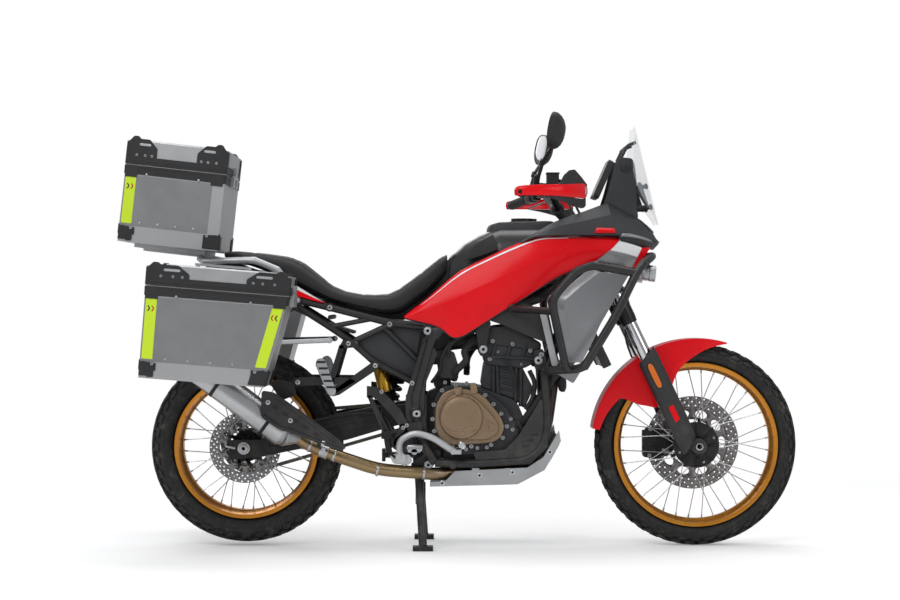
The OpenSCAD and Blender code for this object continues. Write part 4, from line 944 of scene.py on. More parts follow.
    def cells(self, inner: float, outer: float, rings: int, count: int, tall: float, long: float) -> Shell:
        """Rings of patches, each with an oval hole, between two radii of the disc.

        Args:
            inner: The inner radius.
            outer: The outer radius.
            rings: How many rings of holes.
            count: Holes in each ring.
            tall: Half of a hole's height along the radius.
            long: Half of its length along the ring.

        Returns:
            An open flat shape.
        """
        deep = (outer - inner) / rings / 2
        step = TAU / count / 2
        way = np.linspace(0, TAU, 24, endpoint=False)
        square = np.stack([np.cos(way), np.sin(way)]) / np.maximum(np.abs(np.cos(way)), np.abs(np.sin(way)))
        ring = inner + deep * (2 * np.arange(rings)[:, None, None] + 1)
        spot = 2 * step * (np.arange(count)[None, :, None] + 0.5 * np.arange(rings)[:, None, None])
        rows = []
        for r, a in ((ring + tall * np.cos(way), spot + long * np.sin(way) / ring),
                     (ring + square[0] * deep, spot + square[1] * step)):
            r, a = np.broadcast_arrays(r, a)
            rows.append(self.polar(r, a, self.disc_y).reshape(-1, 24, 3))
        one = sheet(np.zeros((2, 24, 3)), around=True)
        return copies(one, np.stack(rows, 1).reshape(len(rows[0]), -1, 3))

    def disc(self) -> None:
        """A brake disc: a drilled outer band on an inner band of large windows, carried by ten arms."""
        r_in, split = self.disc_r * 0.50, self.disc_r * 0.76
        outer = self.cells(split, self.disc_r, 3, 34, 0.0029, 0.0029)
        windows = self.cells(r_in, split, 1, 10, (split - r_in) * 0.33, r_in * 0.26)
        put(f"{self.end}_disc", outer + windows, DISC, self.body, wall=0.005, outward=0, crease=30)
        arms, bobbins = [], []
        toward = -math.copysign(1, self.disc_y)
        for a in np.arange(10) * TAU / 10:
            line = self.polar(np.array([0.034, 0.050, r_in + 0.003]), np.array([a - 0.35, a - 0.12, a]),
                              np.array([self.disc_y + toward * 0.022, self.disc_y + toward * 0.008,
                                        self.disc_y]))
            arms.append(sweep(smooth_path(line, 5), circle(0.0065, 8, 0.55), up=(0, 1, 0)))
            here = self.polar(np.array(r_in + 0.003), np.array(a), np.array(self.disc_y - 0.0042))
            bobbins.append(revolve([(0, 0.003), (0, 0.0065), (0.0084, 0.0065), (0.0084, 0.003)], here,
                                   steps=14))
        seat = self.polar(np.array(0.0), np.array(0.0), np.array(self.disc_y + toward * 0.028))
        arms.append(revolve([(-0.006, 0.026), (-0.006, 0.038), (0.008, 0.038), (0.008, 0.026)], seat,
                            steps=40, closed=True))
        put(f"{self.end}_disc_carrier", joined(arms), HUB_BLACK, self.body)
        put(f"{self.end}_disc_bobbins", joined(bobbins), HUB_BLACK, self.body)

    def build(self) -> None:
        """Makes the whole wheel."""
        self.tyre()
        self.rim()
        self.lacing()
        self.hub()
        self.disc()


@dataclass
class FrontWheel(Wheel):
    """The front wheel, with a black ribbed hub cover on its right."""

    cover_r: float = 0.078

    def cover(self) -> None:
        """Ribbed dish over the hub's right side: a spun profile, and ribs as swept bars."""
        c = self.centre
        side = -1.0
        profile = [(0.036, 0.020), (0.062, 0.020), (0.066, 0.028), (0.066, 0.040), (0.058, 0.052),
                   (0.050, self.cover_r - 0.006), (0.046, self.cover_r), (0.040, self.cover_r), (0.038, 0.05)]
        shells = [revolve(profile, c, (0, side, 0), 60, closed=True)]
        for a in np.arange(8) * TAU / 8:
            line = self.polar(np.array([0.040, 0.058, 0.074]), np.full(3, a),
                              side * np.array([0.067, 0.057, 0.049]))
            shells.append(sweep(line, circle(0.0042, 8), caps=True))
        put("front_hub_cover", joined(shells), HUB_BLACK, self.body)
        screws = [bolt(self.polar(np.array(0.062), np.array(a + 0.4), np.array(side * 0.053)), (0, side, 0),
                       0.004, 0.006) for a in np.arange(4) * TAU / 4]
        put("front_hub_screws", joined(screws), STEEL, self.body)

    def build(self) -> None:
        """Makes the whole wheel with its cover."""
        super().build()
        self.cover()


@dataclass
class RearWheel(Wheel):
    """The rear wheel, with its toothed chain wheel on the left."""

    chain_y: float = 0.093
    chain_r: float = 0.097
    teeth: int = 46

    def sprocket(self) -> None:
        """Chain wheel: a ring whose outer radius rises and falls with each tooth, on five arms."""
        a = np.linspace(0, TAU, self.teeth * 6, endpoint=False)
        tip = self.chain_r - 0.004 + 0.0035 * np.clip(1.6 * np.cos(a * self.teeth), -1, 1)
        rows = [self.polar(np.full_like(a, 0.070), a, self.chain_y - 0.0035),
                self.polar(tip, a, self.chain_y - 0.002), self.polar(tip, a, self.chain_y + 0.002),
                self.polar(np.full_like(a, 0.070), a, self.chain_y + 0.0035)]
        shells = [sheet(np.stack(rows), around=True, along=True)]
        for t in np.arange(6) * TAU / 6:
            line = self.polar(np.array([0.030, 0.074]), np.array([t - 0.1, t]), np.full(2, self.chain_y))
            shells.append(sweep(line, circle(0.0085, 8, 0.35), up=(0, 1, 0)))
        put("rear_sprocket", joined(shells), CHAIN, self.body)
        carrier = revolve([(0.048, 0.014), (0.048, 0.05), (0.060, 0.056), (0.086, 0.050), (0.086, 0.014)],
                          self.centre, steps=48)
        put("rear_sprocket_carrier", carrier, HUB_BLACK, self.body)

    def build(self) -> None:
        """Makes the whole wheel with its chain wheel."""
        super().build()
        self.sprocket()


# ---- Steered front end ----


def sided(point: tuple[float, float, float], side: int = 1) -> Array:
    """A point given in millimetres, on the left or mirrored to the right, in metres."""
    return np.array((point[0], side * point[1], point[2])) * MM


@dataclass
class FrontEnd:
    """Fork, guards, hugger, handlebar, hand guards and mirrors, all on the steering body."""

    body: str = "steering"
    leg_x: float = 28.0
    leg_y: float = 105.0
    origin: Array = field(init=False)
    forward: Array = field(init=False)
    upward: Array = field(init=False)
    axle: Array = field(init=False)

    def __post_init__(self) -> None:
        """Reads the steering axis and the axle's place from the frame."""
        joints = {joint["name"]: joint for joint in frame["joints"]}
        self.origin = np.array(joints["steering_turn"]["pos_m"])
        self.upward = unit(joints["steering_turn"]["axis"])
        self.forward = unit(np.cross((0, 1, 0), self.upward))
        self.axle = np.array(joints["front_wheel_spin"]["pos_m"])

    def at(self, x: float, y: float, z: float) -> Array:
        """A point of the steered frame, given in millimetres."""
        return self.origin + MM * (x * self.forward + y * np.array((0, 1, 0)) + z * self.upward)

    def local(self, x: float, z: float) -> tuple[float, float]:
        """Side-view millimetres as forward and upward millimetres of the steered frame."""
        gap = np.array((x, 0, z)) * MM - self.origin
        return float(gap @ self.forward) / MM, float(gap @ self.upward) / MM

    def legs(self) -> None:
        """Bright tubes, dark castings with a foot round the axle, seals, caps and the axle tube."""
        tubes, castings, caps, rings = [], [], [], []
        for side in (-1, 1):
            foot = self.at(self.leg_x, side * self.leg_y, 0)
            tubes.append(revolve([(-0.345, 0.010), (-0.345, 0.0225), (-0.012, 0.0225), (-0.012, 0.010)], foot,
                                 self.upward, 40))
            tubes.append(revolve([(0.066, 0.010), (0.066, 0.0275), (0.344, 0.0275), (0.346, 0.0262),
                                  (0.346, 0.010)], foot, self.upward, 44))
            rings.append(revolve([(-0.012, 0.010), (-0.012, 0.026), (0.006, 0.0282), (0.066, 0.0282),
                                  (0.066, 0.010)], foot, self.upward, 44))
            castings.append(revolve([(-0.462, 0.012), (-0.458, 0.024), (-0.42, 0.0275), (-0.36, 0.028),
                                     (-0.345, 0.0262), (-0.335, 0.0262), (-0.330, 0.024), (-0.330, 0.0226)],
                                    foot, self.upward, 40))
            hub = self.at(58, side * self.leg_y, -486)
            castings.append(revolve([(-0.017, 0.0095), (-0.018, 0.0235), (-0.015, 0.026), (0.015, 0.026),
                                     (0.018, 0.0235), (0.017, 0.0095)], hub, (0, 1, 0), 40, closed=True))
            arm = [self.at(self.leg_x + 2, side * self.leg_y, -430), self.at(self.leg_x + 12,
                                                                             side * self.leg_y, -462),
                   self.at(52, side * self.leg_y, -482)]
            castings.append(sweep(smooth_path(arm, 6), circle(0.021, 16, 0.8), up=(0, 1, 0)))
            caps.append(revolve([(0.340, 0.008), (0.340, 0.024), (0.350, 0.0235), (0.352, 0.016),
                                 (0.352, 0.004)], foot, self.upward, 36))
        put("fork_tubes", joined(tubes), CHROME, self.body, ["fork"], crease=30)
        put("fork_seals", joined(rings), BAR_BLACK, self.body)
        put("fork_castings", joined(castings), GUARD, self.body)
        put("fork_caps", joined(caps), GOLD, self.body)
        spindle = revolve([(-0.128, 0.0088), (-0.130, 0.0125), (-0.133, 0.0125), (-0.1335, 0.0088),
                           (0.1335, 0.0088), (0.133, 0.0125), (0.130, 0.0125), (0.128, 0.0088)], self.axle,
                          steps=36, closed=True)
        put("front_axle_tube", spindle, STEEL, self.body)

    def clamps(self) -> None:
        """Two clamp plates: a plan outline waisted between the legs, with pinch bolts."""
        shells, bolts = [], []
        for low, high in ((96, 138), (318, 342)):
            outline = [(self.leg_x - 30, -self.leg_y - 22), (self.leg_x - 8, -self.leg_y - 35),
                       (self.leg_x + 20, -self.leg_y - 34), (self.leg_x + 34, -self.leg_y - 12),
                       (self.leg_x + 26, -self.leg_y + 34), (22, -26), (22, 26),
                       (self.leg_x + 26, self.leg_y - 34), (self.leg_x + 34, self.leg_y + 12),
                       (self.leg_x + 20, self.leg_y + 34), (self.leg_x - 8, self.leg_y + 35),
                       (self.leg_x - 30, self.leg_y + 22), (self.leg_x - 34, self.leg_y - 20), (-26, 34),
                       (-26, -34), (self.leg_x - 34, -self.leg_y + 20)]
            ring = filleted(outline, 12, 5, loop=True)
            levels = [[self.at(x, y, z) for x, y in ring] for z in (low, high)]
            shells.append(sheet(np.array(levels), around=True, caps=True))
            for side in (-1, 1):
                for z in (low + 8, high - 8):
                    place = self.at(self.leg_x + 33, side * (self.leg_y - 6), z)
                    bolts.append(bolt(place, self.forward, 0.0045, 0.005))
        shells.append(revolve([(0.096, 0.010), (0.096, 0.0185), (0.342, 0.0185), (0.342, 0.010)], self.origin,
                              self.upward, 32))
        bolts.append(revolve([(0.342, 0.006), (0.342, 0.019), (0.350, 0.018), (0.352, 0.010), (0.352, 0.004)],
                             self.origin, self.upward, 6))
        put("fork_clamps", joined(shells), BAR_BLACK, self.body, edge=0.003)
        put("fork_clamp_bolts", joined(bolts), STEEL, self.body)

    def guards(self) -> None:
        """Faceted covers over the lower legs, each with an amber reflector and a red patch."""
        section = [(-31, -5), (-35, 10), (-26, 27), (-6, 33), (20, 31), (39, 15), (41, -6)]
        shells, amber, rims, patches = [], [], [], []
        levels = ((-132, 0.94, 18), (-150, 1.0, 10), (-260, 1.0, 0), (-380, 0.97, 0), (-448, 0.90, 4),
                  (-474, 0.80, 20))
        for side in (-1, 1):
            rows = [[self.at(self.leg_x + x * g, side * (self.leg_y + y * g), z + slant * (x / 40)) for x,
                     y in section] for z, g, slant in levels]
            shells.append(sheet(np.array(rows)))
            y = side * (self.leg_y + 33.6)
            for thin, store, half_w, half_h in ((2.0, rims, 12.5, 47), (3.6, amber, 9.5, 44)):
                x0, z0 = self.local(641, 578)
                t = np.linspace(0, TAU, 28, endpoint=False)
                px = x0 + 14 + half_w * squared(np.cos(t), 0.7)
                pz = z0 + half_h * squared(np.sin(t), 0.45)
                rings = [[self.at(a, y + side * d, b) for a, b in zip(px, pz)] for d in (-6.0, thin)]
                store.append(sheet(np.array(rings), around=True, caps=True))
            corners = [(-8, -322), (10, -318), (10, -372), (-8, -378)]
            face = [[self.at(self.leg_x + x, side * (self.leg_y + d), z) for x, z in corners]
                    for d in (30, 33.6)]
            patches.append(sheet(np.array(face), around=True, caps=True))
        put("fork_guard_covers", joined(shells), GUARD, self.body, ["fork_guards"], wall=0.0025, outward=-1,
            edge=0.0015)
        put("fork_guard_patches", joined(patches), RED, self.body)
        put("reflector_frames", joined(rims), BLACK_PLASTIC, self.body, edge=0.001)
        put("reflectors", joined(amber), AMBER, self.body, edge=0.0012)

    def hugger(self) -> None:
        """Arched shell about the axle whose cheeks drop by a depth that depends on the angle."""
        turn = np.radians(np.linspace(73, 171, 84))
        deg = np.degrees(turn)
        depth = np.interp(deg, [73, 84, 103, 112, 124, 138, 145, 148, 160, 171],
                          [3, 34, 96, 138, 168, 172, 120, 54, 36, 24]) * MM
        depth_left = np.minimum(depth, 0.150)
        half = np.interp(deg, [73, 84, 105, 171], [40, 58, 66, 64]) * MM
        inner = 0.345 + 0.013  # the tyre's radius and the room above it
        lift = np.interp(deg, [73, 90, 171], [4, 3, 0]) * MM
        s = np.array([-1, -1, -1, -1, -1, -0.97, -0.80, -0.4, 0, 0.4, 0.80, 0.97, 1, 1, 1, 1, 1])
        drop = np.array([1, 0.75, 0.5, 0.25, 0.06, 0.0, 0, 0, 0, 0, 0, 0.0, 0.06, 0.25, 0.5, 0.75, 1])
        rise = np.array([0, 0, 0, 0, 0, 0.0005, 0.0012, 0.0018, 0.002, 0.0018, 0.0012, 0.0005, 0, 0, 0, 0, 0])
        left = s[None] > 0
        deep = np.where(left, depth_left[:, None], depth[:, None]) * drop[None]
        r = inner + lift[:, None] + rise[None] - deep
        y = half[:, None] * s[None] * (1 - 0.04 * drop[None])
        points = self.axle + np.stack([r * np.cos(turn)[:, None], y, r * np.sin(turn)[:, None]], -1)
        put("front_hugger", sheet(points), RED, self.body, ["front_fender"], wall=0.003, outward=-1,
            edge=0.0016, crease=40)
        ears, screws = [], []
        for side in (-1, 1):
            ring = [self.at(x, side * 66.5, z) for x, z in ((4, -176), (58, -150), (66, -170), (70, -262),
                                                            (44, -270))]
            far = [p + np.array((0, side * 0.006, 0)) for p in ring]
            ears.append(sheet(np.array([ring, far]), around=True, caps=True))
            for z in (-180, -240):
                screws.append(bolt(self.at(50, side * 72, z), (0, side, 0), 0.0045, 0.004))
        put("hugger_brackets", joined(ears), RED, self.body, edge=0.002)
        put("hugger_screws", joined(screws), STEEL, self.body)

    def handlebar(self) -> None:
        """Tapered bar bent twice a side, ribbed grips, switch boxes, levers and reservoirs."""
        bend, rise, tip = (333, 55, 1150), (296, 165, 1214), (194, 430, 1184)
        bar, rubber, metal, boxes, lids = [], [], [], [], []
        bar.append(tube([sided(rise, -1), sided(bend, -1), sided(bend), sided(rise)], 0.0138, 0.035, 20))
        for s in (-1, 1):
            a, b = sided(rise, s), sided(tip, s)
            along = unit(b - a)
            length = float(np.linalg.norm(b - a))
            bar.append(tube([sided(bend, s) * 0.3 + a * 0.7, a, a + along * length * 0.55], 0.0112, 0.03, 18))
            ribs = np.linspace(length * 0.5, length, 60)
            profile = [(length * 0.5, 0.011), (length * 0.5, 0.0195), (length * 0.5 + 0.004, 0.0195)]
            profile += [(d, 0.0158 + 0.0010 * (k % 2)) for k, d in enumerate(ribs[2:])]
            rubber.append(revolve(profile + [(length, 0.010)], a, along, 24))
            metal.append(revolve([(length, 0.008), (length + 0.001, 0.0148), (length + 0.011, 0.0148),
                                  (length + 0.013, 0.012), (length + 0.013, 0.004)], a, along, 28))
            for start, end, wide, high in ((0.30, 0.47, 0.021, 0.020), (0.20, 0.27, 0.018, 0.017)):
                line = a + along * length * np.linspace(start, end, 6)[:, None]
                size = np.array([0.9, 1.02, 1.0, 1.0, 1.02, 0.9])
                t = np.linspace(0, TAU, 20, endpoint=False)
                section = np.stack([wide * squared(np.cos(t), 0.6), high * squared(np.sin(t), 0.6)], 1)
                boxes.append(sweep(line, section, size, up=(0, 0, 1)))
            perch = a + along * length * 0.24 + np.array((0.026, 0, -0.004))
            knee = perch + np.array((0.030, s * 0.045, -0.006))
            end = sided((256, 412, 1172), s)
            blade = smooth_path([perch, knee, (knee + end) / 2 + np.array((0.004, 0, 0.002)), end], 9)
            size = np.interp(np.linspace(0, 1, len(blade)), [0, 0.2, 0.5, 0.95, 1],
                             [1.5, 1.1, 0.85, 0.75, 0.95])
            metal.append(sweep(blade, circle(0.0072, 12, 0.5), size, up=(0, 0, 1)))
            metal.append(revolve([(-0.010, 0.004), (-0.010, 0.007), (0.010, 0.007), (0.010, 0.004)],
                                 knee - (knee - perch) * 0.4, (0, 0, 1), 16))
            reach = 0.030 if s < 0 else 0.016
            box_at = a + along * length * 0.26 + np.array((0.036, 0, 0.026))
            cup = np.array((0.020, 0.028, reach / 2 + 0.006))
            boxes.append(block(box_at - cup, box_at + cup))
            lids.append(block(box_at + np.array((-0.022, -0.030, cup[2])),
                              box_at + np.array((0.022, 0.030, cup[2] + 0.005))))
            clamp = self.at(0, s * 34, 345)
            head = sided((333, 34, 1150), s)
            boxes.append(sweep(np.array([clamp, clamp * 0.4 + head * 0.6, head]), circle(0.015, 18),
                               [1.1, 0.9, 1.25]))
            boxes.append(revolve([(-0.016, 0.015), (-0.016, 0.0215), (0.016, 0.0215), (0.016, 0.015)], head,
                                 steps=30))
        put("bar_tube", joined(bar), BAR_BLACK, self.body, ["handlebar"])
        put("grips", joined(rubber), RUBBER, self.body, crease=60)
        put("levers", joined(metal), BAR_BLACK, self.body)
        put("switch_boxes", joined(boxes), BLACK_PLASTIC, self.body, edge=0.002)
        put("reservoir_lids", joined(lids), GUARD, self.body, edge=0.0015)

    def brake_lines(self) -> None:
        """Two lines from the bar to the clamps, and one down to the front caliper."""
        lines = []
        for s in (-1, 1):
            lines.append(hose([sided((330, 232, 1226), s), sided((372, 190, 1214), s),
                               sided((392, 120, 1150), s), self.at(46, s * 70, 300),
                               self.at(40, s * 40, 200)], 0.0042))
        lines.append(hose([self.at(46, 70, 300), self.at(66, 74, 180), self.at(70, 92, 40),
                           self.at(8, 78, -60), self.at(-4, 76, -200), self.at(-6, 84, -330),
                           self.at(-14, 92, -392)], 0.0036))
        put("brake_lines", joined(lines), RUBBER, self.body)

    def hand_guards(self) -> None:
        """Curved shells: a path in plan, with a height that swells towards the front and a bulge."""
        red, dark, lens, ends = [], [], [], []
        for s in (-1, 1):
            plan = smooth_path([(176, 452), (192, 470), (250, 468), (330, 436), (392, 362), (408, 320)], 10)
            t = np.linspace(0, 1, len(plan))
            low = np.interp(t, [0, 0.12, 0.5, 0.8, 1], [-13, -15, -18, -24, -20])
            high = np.interp(t, [0, 0.12, 0.5, 0.8, 1], [13, 14, 17, 24, 24])
            lift = np.interp(t, [0, 0.3, 1], [0, 4, 8])
            v = np.linspace(0, 1, 9)
            normal = np.stack([-np.gradient(plan[:, 1]), np.gradient(plan[:, 0])], 1)
            normal /= np.linalg.norm(normal, axis=1)[:, None]
            bulge = 5.0 * np.sin(math.pi * v)[None] ** 0.7
            z = 1184 + lift[:, None] + low[:, None] * (1 - v) + high[:, None] * v
            x = plan[:, :1] + normal[:, :1] * bulge
            y = plan[:, 1:] + normal[:, 1:] * bulge
            red.append(sheet(np.stack([x, s * y, z], -1) * MM))
            deep = low * np.interp(t, [0, 0.4, 0.7, 1], [1.0, 1.0, 2.3, 2.3])
            z2 = 1183 + lift[:, None] + low[:, None] * (1 - v) + deep[:, None] * v
            dark.append(sheet(np.stack([plan[:, :1] + 0 * z2, s * (plan[:, 1:] - 3) + 0 * z2, z2], -1)[20:]
                              * MM))
            lens.append(sheet(np.stack([x + 1.6 * normal[:, :1] + 1.4, s * (y + 1.6 * normal[:, 1:]), z],
                                       -1)[-9:, 2:-2] * MM))
            ends.append(bolt(np.array((0.190, s * 0.474, 1.184)), (-0.3, s, 0), 0.0065, 0.005))
            ends.append(tube([np.array((0.404, s * 0.318, 1.206)), np.array((0.300, s * 0.202, 1.242)),
                              np.array((0.294, s * 0.192, 1.226))], 0.0052, 0.02, 12))
        put("hand_guard_shells", joined(red), RED, self.body, ["hand_guards"], wall=0.0035, outward=0,
            edge=0.0012)
        put("hand_guard_aprons", joined(dark), BLACK_PLASTIC, self.body, wall=0.003, outward=0, edge=0.001)
        put("hand_guard_lenses", joined(lens), LENS, self.body, wall=0.0016, outward=0)
        put("hand_guard_stays", joined(ends), BAR_BLACK, self.body)

    def caliper(self) -> None:
        """Two lobed halves joined by a block, with caps and pins, filling the CAD caliper's box."""
        low, high = (np.array(c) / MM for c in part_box("front_caliper"))
        x0, z0 = low[0], low[2]
        w, h = high[0] - x0, high[2] - z0

        def part(points: Sequence[tuple[float, float]], near: float, far: float, corner: float) -> Shell:
            """A plate whose corners are shares of the box, between two shares of its depth."""
            ring = [(x0 + w * a, z0 + h * b) for a, b in points]
            span = high[1] - low[1]
            return plate(ring, low[1] + span * near, low[1] + span * far, corner)

        lobes = [(0.02, 0.06), (0.0, 0.24), (0.10, 0.34), (0.0, 0.46), (0.0, 0.64), (0.10, 0.72),
                 (0.04, 0.84), (0.16, 0.99), (0.62, 0.96), (0.94, 0.84), (0.98, 0.40), (0.84, 0.10),
                 (0.46, 0.0)]
        body = [part(lobes, 0.80, 0.98, 6)]
        w = 719 - x0
        body += [part(lobes, 0.02, 0.55, 6), part([(0.0, 0.12), (0.0, 0.88), (0.12, 0.88), (0.12, 0.12)], 0.3,
                                                  0.9, 3)]
        put("front_caliper_body", joined(body), HUB_BLACK, self.body, ["front_caliper"], edge=0.004, steps=3)
        caps = []
        for b in (0.28, 0.66):
            centre = np.array((x0 + w * 0.44, low[1] + 0.4, z0 + h * b)) * MM
            caps.append(revolve([(0, 0.003), (0, 0.016), (0.003, 0.015), (0.0036, 0.010), (0.002, 0.009),
                                 (0.002, 0.002)], centre, (0, -1, 0), 28))
        put("front_caliper_caps", joined(caps), BAR_BLACK, self.body)
        pins = [bolt(np.array((x0 + w * a, low[1] + 0.6, z0 + h * b)) * MM, (0, -1, 0), 0.0052, 0.004)
                for a, b in ((0.82, 0.26), (0.80, 0.72), (0.30, 0.92), (0.26, 0.10))]
        put("front_caliper_pins", joined(pins), STEEL, self.body)

    def deflectors(self) -> None:
        """Black fins on the hand guards: a wall that rises from the guard's curved top edge to a peak."""
        shells = []
        share = np.linspace(0, 1, 5)[:, None]
        x = np.linspace(312, 408, 25)
        top = np.interp(x, [312, 326, 344, 362, 384, 408], [1212, 1238, 1254, 1258, 1238, 1212])
        out = np.interp(x, [312, 337, 362, 385, 408], [449, 433, 405, 370, 334])
        for s in (-1, 1):
            grid = np.stack([x + 5 * share, s * (out - 3 * share), 1204 + (top - 1204) * share], -1)
            shells.append(sheet(grid * MM))
        put("hand_guard_deflectors", joined(shells), BLACK_PLASTIC, self.body, wall=0.0025, outward=0,
            edge=0.0008)

    def mirrors(self) -> None:
        """Heads as a dish whose outline is a leaning rounded shape, on bent stalks."""
        heads, glass, stalks = [], [], []
        lean, toe = 0.22, 0.26
        for s in (-1, 1):
            c = np.array((0.306, s * 0.398, 1.382))
            t = np.linspace(0, TAU, 48, endpoint=False)
            wide = 0.072 * squared(np.cos(t), 0.82) * (1 + 0.10 * np.sin(t))
            high = 0.056 * squared(np.sin(t), 0.86) + 0.010 * np.cos(t)
            head = ((0.05, 0.028), (0.3, 0.0268), (0.55, 0.0235), (0.78, 0.017), (0.92, 0.0095), (1.0, 0.001),
                    (1.0, -0.010), (0.955, -0.012), (0.95, -0.008))
            pane = ((0.948, -0.0098), (0.90, -0.0106), (0.45, -0.0112), (0.04, -0.0114))
            for store, rings in ((heads, head), (glass, pane)):
                share, depth = np.array(rings).T[:, :, None]
                y, z = s * share * wide, share * high
                x = depth - toe * y * s
                points = np.stack([x * math.cos(lean) + z * math.sin(lean), y,
                                   -x * math.sin(lean) + z * math.cos(lean)], -1)
                store.append(sheet(c + points, around=True, caps=True))
            stalks.append(tube([(0.249, s * 0.292, 1.222), (0.262, s * 0.306, 1.262),
                                (0.270, s * 0.318, 1.292), (0.301, s * 0.380, 1.340),
                                (0.308, s * 0.392, 1.366)], 0.0062, 0.02, 14))
            stalks.append(revolve([(-0.012, 0.006), (-0.012, 0.0105), (0.014, 0.0105), (0.018, 0.007)],
                                  (0.250, s * 0.293, 1.230), (0.15, s * 0.2, 1), 20))
            stalks.append(revolve([(-0.010, 0.005), (-0.008, 0.0095), (0.008, 0.0095), (0.010, 0.005)],
                                  (0.268, s * 0.316, 1.288), (0.3, s * 0.6, 1), 20))
        put("mirror_heads", joined(heads), BLACK_PLASTIC, self.body, ["mirrors"], crease=40)
        put("mirror_glasses", joined(glass), MIRROR, self.body)
        put("mirror_stalks", joined(stalks), BAR_BLACK, self.body)

    def build(self) -> None:
        """Makes everything that steers but the wheel."""
        self.legs()
        self.clamps()
        self.guards()
        self.hugger()
        self.handlebar()
        self.brake_lines()
        self.hand_guards()
        self.mirrors()
        self.deflectors()
        self.caliper()


# ---- Bodywork ----


def guide(points: Sequence[tuple[float, float]], y: object, side: int = -1, steps: int = 48) -> Array:
    """A panel's guide curve, evenly spaced: side-view millimetres at one or more distances out."""
    span = np.linspace(0, 1, len(points))
    out = np.interp(span, np.linspace(0, 1, np.size(y)), np.atleast_1d(np.asarray(y, float)))
    path = smooth_path([(x, side * d, z) for (x, z), d in zip(points, out)], 14) * MM
    run = np.r_[0, np.cumsum(np.linalg.norm(np.diff(path, axis=0), axis=1))]
    at = np.linspace(0, run[-1], steps)
    return np.stack([np.interp(at, run, path[:, k]) for k in range(3)], 1)


def loft(guides: Sequence[Array], across: int = 6, crown: float = 0.0) -> Shell:
    """Faces ruled between guide curves, each strip pushed out a little by a parabola.

    Args:
        guides: Curves with as many points each.
        across: Steps from one guide to the next.
        crown: How far the middle of each strip stands out in y, in metres.

    Returns:
        An open surface with a fold at each guide.
    """
    rows = [guides[0][None]]
    side = np.sign(np.mean([g[:, 1].mean() for g in guides]))
    t = np.linspace(0, 1, across + 1)[1:, None, None]
    for a, b in zip(guides[:-1], guides[1:]):
        strip = a[None] * (1 - t) + b[None] * t
        strip[..., 1] += side * crown * (4 * t * (1 - t))[..., 0]
        rows.append(strip)
    return sheet(np.vstack(rows))


